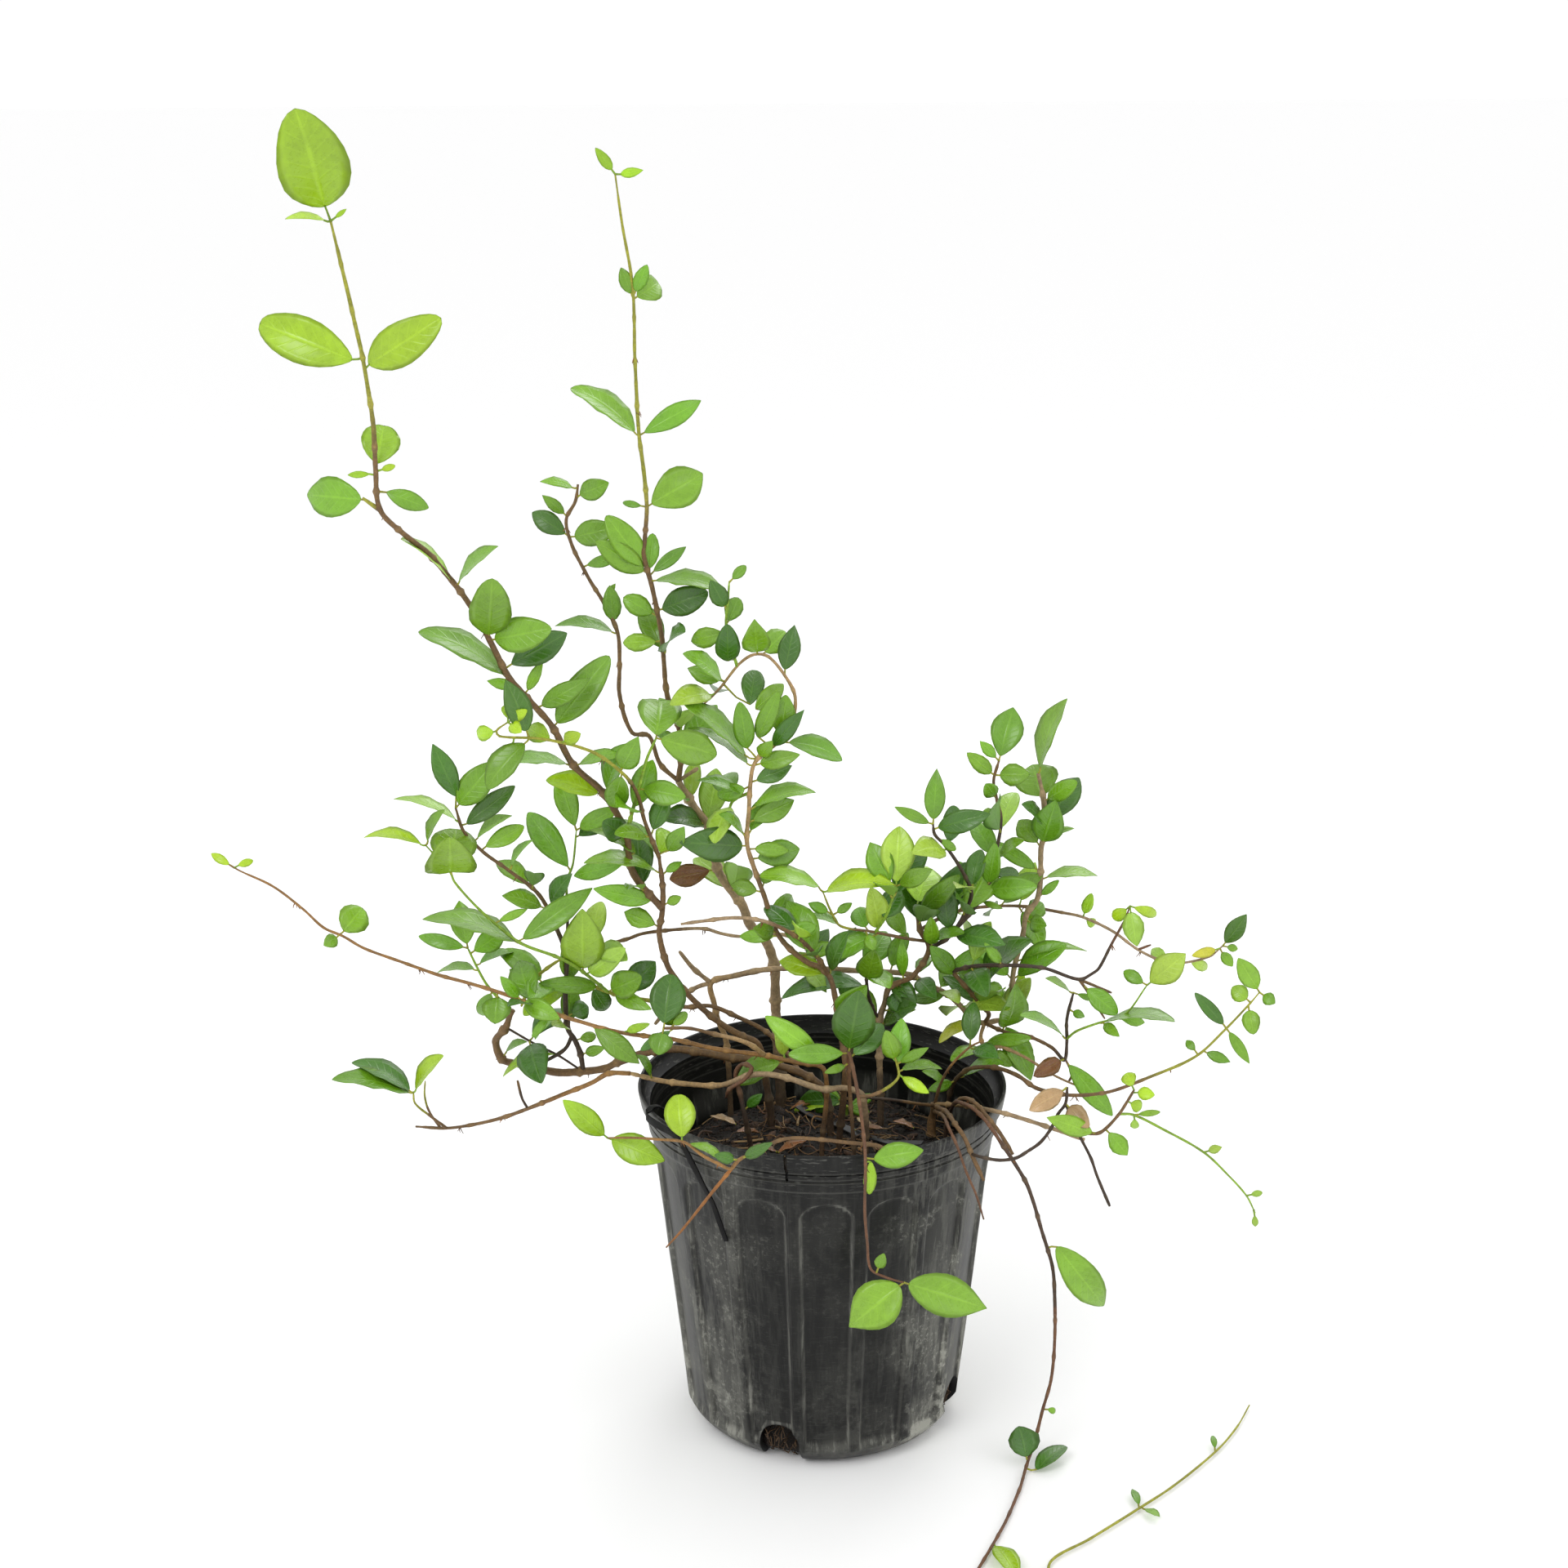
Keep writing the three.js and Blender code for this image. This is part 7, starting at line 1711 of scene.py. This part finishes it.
def chip_tree():
    tree = GrowthTree("scatter chips", [
        ("Crumbs", "Float", 150000.0),
        ("Chips", "Float", 16000.0),
        ("Seed", "Int", 3),
    ])
    parts = [tree.store(tree.given["Geometry"], "shade", 0.15)]
    for number, (name, kind) in enumerate((("Crumbs", CRUMB), ("Chips", CHIP))):
        parts.append(scatter(tree, number, tree.given[name], kind))
    return tree.close(tree.dress(tree.shade_smooth(tree.join(parts)), SOIL_FINISH))


soil = new_piece("bark_soil", soil_mesh)
chip_tree().grow(soil)
print("mound and chips have", len(soil.data.polygons), "faces")

# %% [markdown]
# Roots at the holes
#
# Fine roots have found the drain holes and curl along the opening. Splinters, curled fibres and a few dry
# leaves lie on the soil. They are lines and leaves on a plan like the vines', grown by the same tree.

# %% Fine roots at the drain holes
litter = Plan()


def draw_root(hole_angle, n):
    angle = hole_angle + 13 * (chance(n) - 0.5)
    start = 3 + 15 * chance(n + 0.3)
    radius = wall_radius(start)
    points = [around(angle, radius - 13.5, start), around(angle, radius - 8.0, start + 1)]
    for leg in range(1, 6):
        angle += 4.0 * (chance(n + leg * 0.11) - 0.5)
        height = max(0.4, start + leg * 3.0 * (chance(n + leg * 0.17) - 0.66))
        points.append(around(angle, wall_radius(height) - 4.2 + 1.4 * chance(n + leg * 0.23), height))
    curve = smooth_curve(points)
    tint = mix(BARK_COLOURS["dark"], BARK_COLOURS["ochre"], 0.3 * chance(n + 0.8))
    litter.line(curve, [0.24 - 0.14 * i / len(curve) for i in range(len(curve))], [tint] * len(curve))


for quarter, hole_angle in enumerate(HOLE_ANGLES):
    for k in range(12):
        draw_root(hole_angle, quarter * 20 + k)
print("the roots have", len(litter.points), "points")

# %% Splinters, fibres and dry leaves on the soil
LITTER_EDGE = 69


def on_soil(radius, angle):
    return around(angle, radius, mound_height(radius, signed(angle), FILL_RADIUS) + 0.9)


def draw_splinter(k):
    angle = 360 * chance(k + 0.5)
    radius = 18 + 50 * chance(k + 0.9)
    bend = 30 * (chance(k + 0.1) - 0.5)
    reach = 5 + 9 * chance(k + 0.2)
    points = [on_soil(radius, angle)]
    points += [on_soil(min(LITTER_EDGE, radius + reach * part), angle + bend * part) for part in (0.5, 1)]
    points[2].z += 3.0 * chance(k + 0.7)
    tint = mix(BARK_COLOURS["brown"], BARK_COLOURS["tan"], chance(k + 0.4))
    girth = 0.25 + 0.5 * chance(k + 0.6) ** 2
    litter.line(points, [girth, girth * 0.9, girth * 0.6], [tint] * 3)


def draw_fibre(k):
    angle = 360 * chance(k + 0.43)
    points = [on_soil(12 + 50 * chance(k + 0.73), angle)]
    heading = FULL_TURN * chance(k + 0.13)
    legs = 4 + int(3 * chance(k + 0.23))
    for leg in range(legs):
        heading += 1.9 * (chance(k + leg * 0.37) - 0.5)
        reach = 2.6 + 2.8 * chance(k + leg * 0.57)
        x = points[-1].x + reach * math.cos(heading)
        y = points[-1].y + reach * math.sin(heading)
        ground = on_soil(min(LITTER_EDGE - 1.0, math.hypot(x, y)), math.degrees(math.atan2(x, -y)))
        lift = (0.0 if leg == legs - 1 else 4.5 * chance(k + leg * 0.87) ** 2) - 0.5
        points.append(ground + Vector((0, 0, lift)))
    curve = smooth_curve(points)
    tint = mix(BARK_COLOURS["dark"], BARK_COLOURS[("red", "ochre")[k % 2]], chance(k + 0.33))
    girth = 0.26 + 0.4 * chance(k + 0.93) ** 2
    litter.line(curve, [girth * (1 - 0.5 * i / len(curve)) for i in range(len(curve))], [tint] * len(curve))


def draw_dry_leaf(k):
    base = on_soil(16 + 44 * chance(k + 0.15), 360 * chance(k + 0.35)) + Vector((0, 0, 0.8))
    heading = FULL_TURN * chance(k + 0.55)
    along = Vector((math.cos(heading), math.sin(heading), 0.12)).normalized()
    above = Vector((0.3 * (chance(k) - 0.5), 0.0, 1.0))
    above = (above - along * above.dot(along)).normalized()
    tone = "tan" if k % 4 == 0 else "dead"
    plant_leaf(litter, base, base, along, above, 10 + 5 * chance(k + 0.65), 5.5, tone, -0.1, k)


for draw, count in ((draw_splinter, 60), (draw_fibre, 100), (draw_dry_leaf, 8)):
    for k in range(count):
        draw(k)
print("roots and litter have", len(litter.points), "points")

# %% Joining the soil
roots = new_piece("litter", litter.mesh("litter"))
VINE_TREE.grow(roots)
pair = [soil, roots]
with bpy.context.temp_override(active_object=soil, selected_editable_objects=pair, selected_objects=pair):
    bpy.ops.object.join()
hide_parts("soil")
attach(soil, "root")
print("the soil has", len(soil.data.polygons), "faces")

# %% [markdown]
# Plastic strips
#
# Two cut ends of the black tie that once held the vine to its stake: one lies across the soil at the front,
# the other comes out over the lip at the left and hangs down outside the can. A strip is a rounded flat
# band drawn along a smooth route. Its broad side turns slowly, and its edges are a little thicker than its
# middle.

# %% The look of the strips
def strip_finish(title, dark, dust_and_painted_light, shine):
    boxes = Finish(title)
    place = boxes.where()
    dust = boxes.smooth(boxes.noise(place, 300.0, 4.0), 0.45, 0.72)
    bump = (0.3, 0.0002, boxes.noise(place, 800.0, 2.0))
    return boxes.coat(boxes.blend(dust, dark, dust_and_painted_light), boxes.smooth(dust, 0.0, 1.0, 0.5, 0.75), shine, bump)


# Both ends are the same black plastic: the front one is painted lighter as lit, the left one darker as in shade.
TIE_FINISH_PAINTED_LIT = strip_finish("black tie in the light", srgb(30, 31, 34), srgb(74, 72, 68), 0.5)
TIE_FINISH_PAINTED_SHADED = strip_finish("black tie", srgb(8, 8, 9), srgb(26, 25, 23), 0.15)

# %% Bending the strips
BAND = [(-1.0, 0.0), (-0.96, -0.85), (-0.85, -1.0), (0.0, -0.7), (0.85, -1.0), (0.96, -0.85),
        (1.0, 0.0), (0.96, 0.85), (0.85, 1.0), (0.0, 0.7), (-0.85, 1.0), (-0.96, 0.85)]
TIE_THICKNESS = 0.8
TWIST = 0.12
TWIST_PER_STEP = 0.35


def bend_strip(name, node, route, widths, normal_at, finish):
    path = smooth_curve([Vector(p) for p in route])
    rings = []
    for i, middle in enumerate(path):
        along = (path[min(i + 1, len(path) - 1)] - path[max(i - 1, 0)]).normalized()
        across = along.cross(normal_at(middle)).normalized()
        normal = across.cross(along)
        twist = Matrix.Rotation(TWIST * math.sin(i * TWIST_PER_STEP), 3, along)
        across.rotate(twist)
        normal.rotate(twist)
        half = between(*widths, i / (len(path) - 1)) / 2
        rings.append([middle + across * (a * half) + normal * (b * TIE_THICKNESS / 2) for a, b in BAND])
    mesh = turned_mesh(name, rings, path[0], path[-1], [1] * len(rings))
    face_outwards(mesh)
    smooth_with_edges(mesh, 50)
    mesh.materials.append(finish)
    piece = new_piece(name, mesh)
    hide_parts(node)
    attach(piece, "root")
    print(name, "has", len(mesh.polygons), "faces")


def upwards(point):
    return Vector((0, 0, 1))


def over_rim(point):
    return Vector((0, 0, 1)) if point.z > CAN_HEIGHT else Vector((point.x, point.y, 0)).normalized()


FRONT_ROUTE = [(-11.1, 32, 138), (-1.7, 22, 136.4), (8.1, 13, 136.7), (16.9, 5, 136), (25.5, -1, 135.8),
               (33, -5, 135.6), (46.6, -10, 137.8)]
LEFT_ROUTE = [(-70.5, -30, 163), (-74.3, -31.8, 166.1), (-77, -33.5, 166.1), (-78.8, -38, 163.5),
              (-66.3, -55, 162.9), (-62, -60, 160.4), (-56.5, -62.5, 150.1), (-52.2, -63, 140.7),
              (-48.7, -64, 134), (-45.5, -64.5, 124.2), (-42.7, -65, 115.5)]
bend_strip("front_tie_end", "strip_front", FRONT_ROUTE, (4.5, 4.5), upwards, TIE_FINISH_PAINTED_LIT)
bend_strip("left_tie_end", "strip_left", LEFT_ROUTE, (3.8, 2.4), over_rim, TIE_FINISH_PAINTED_SHADED)
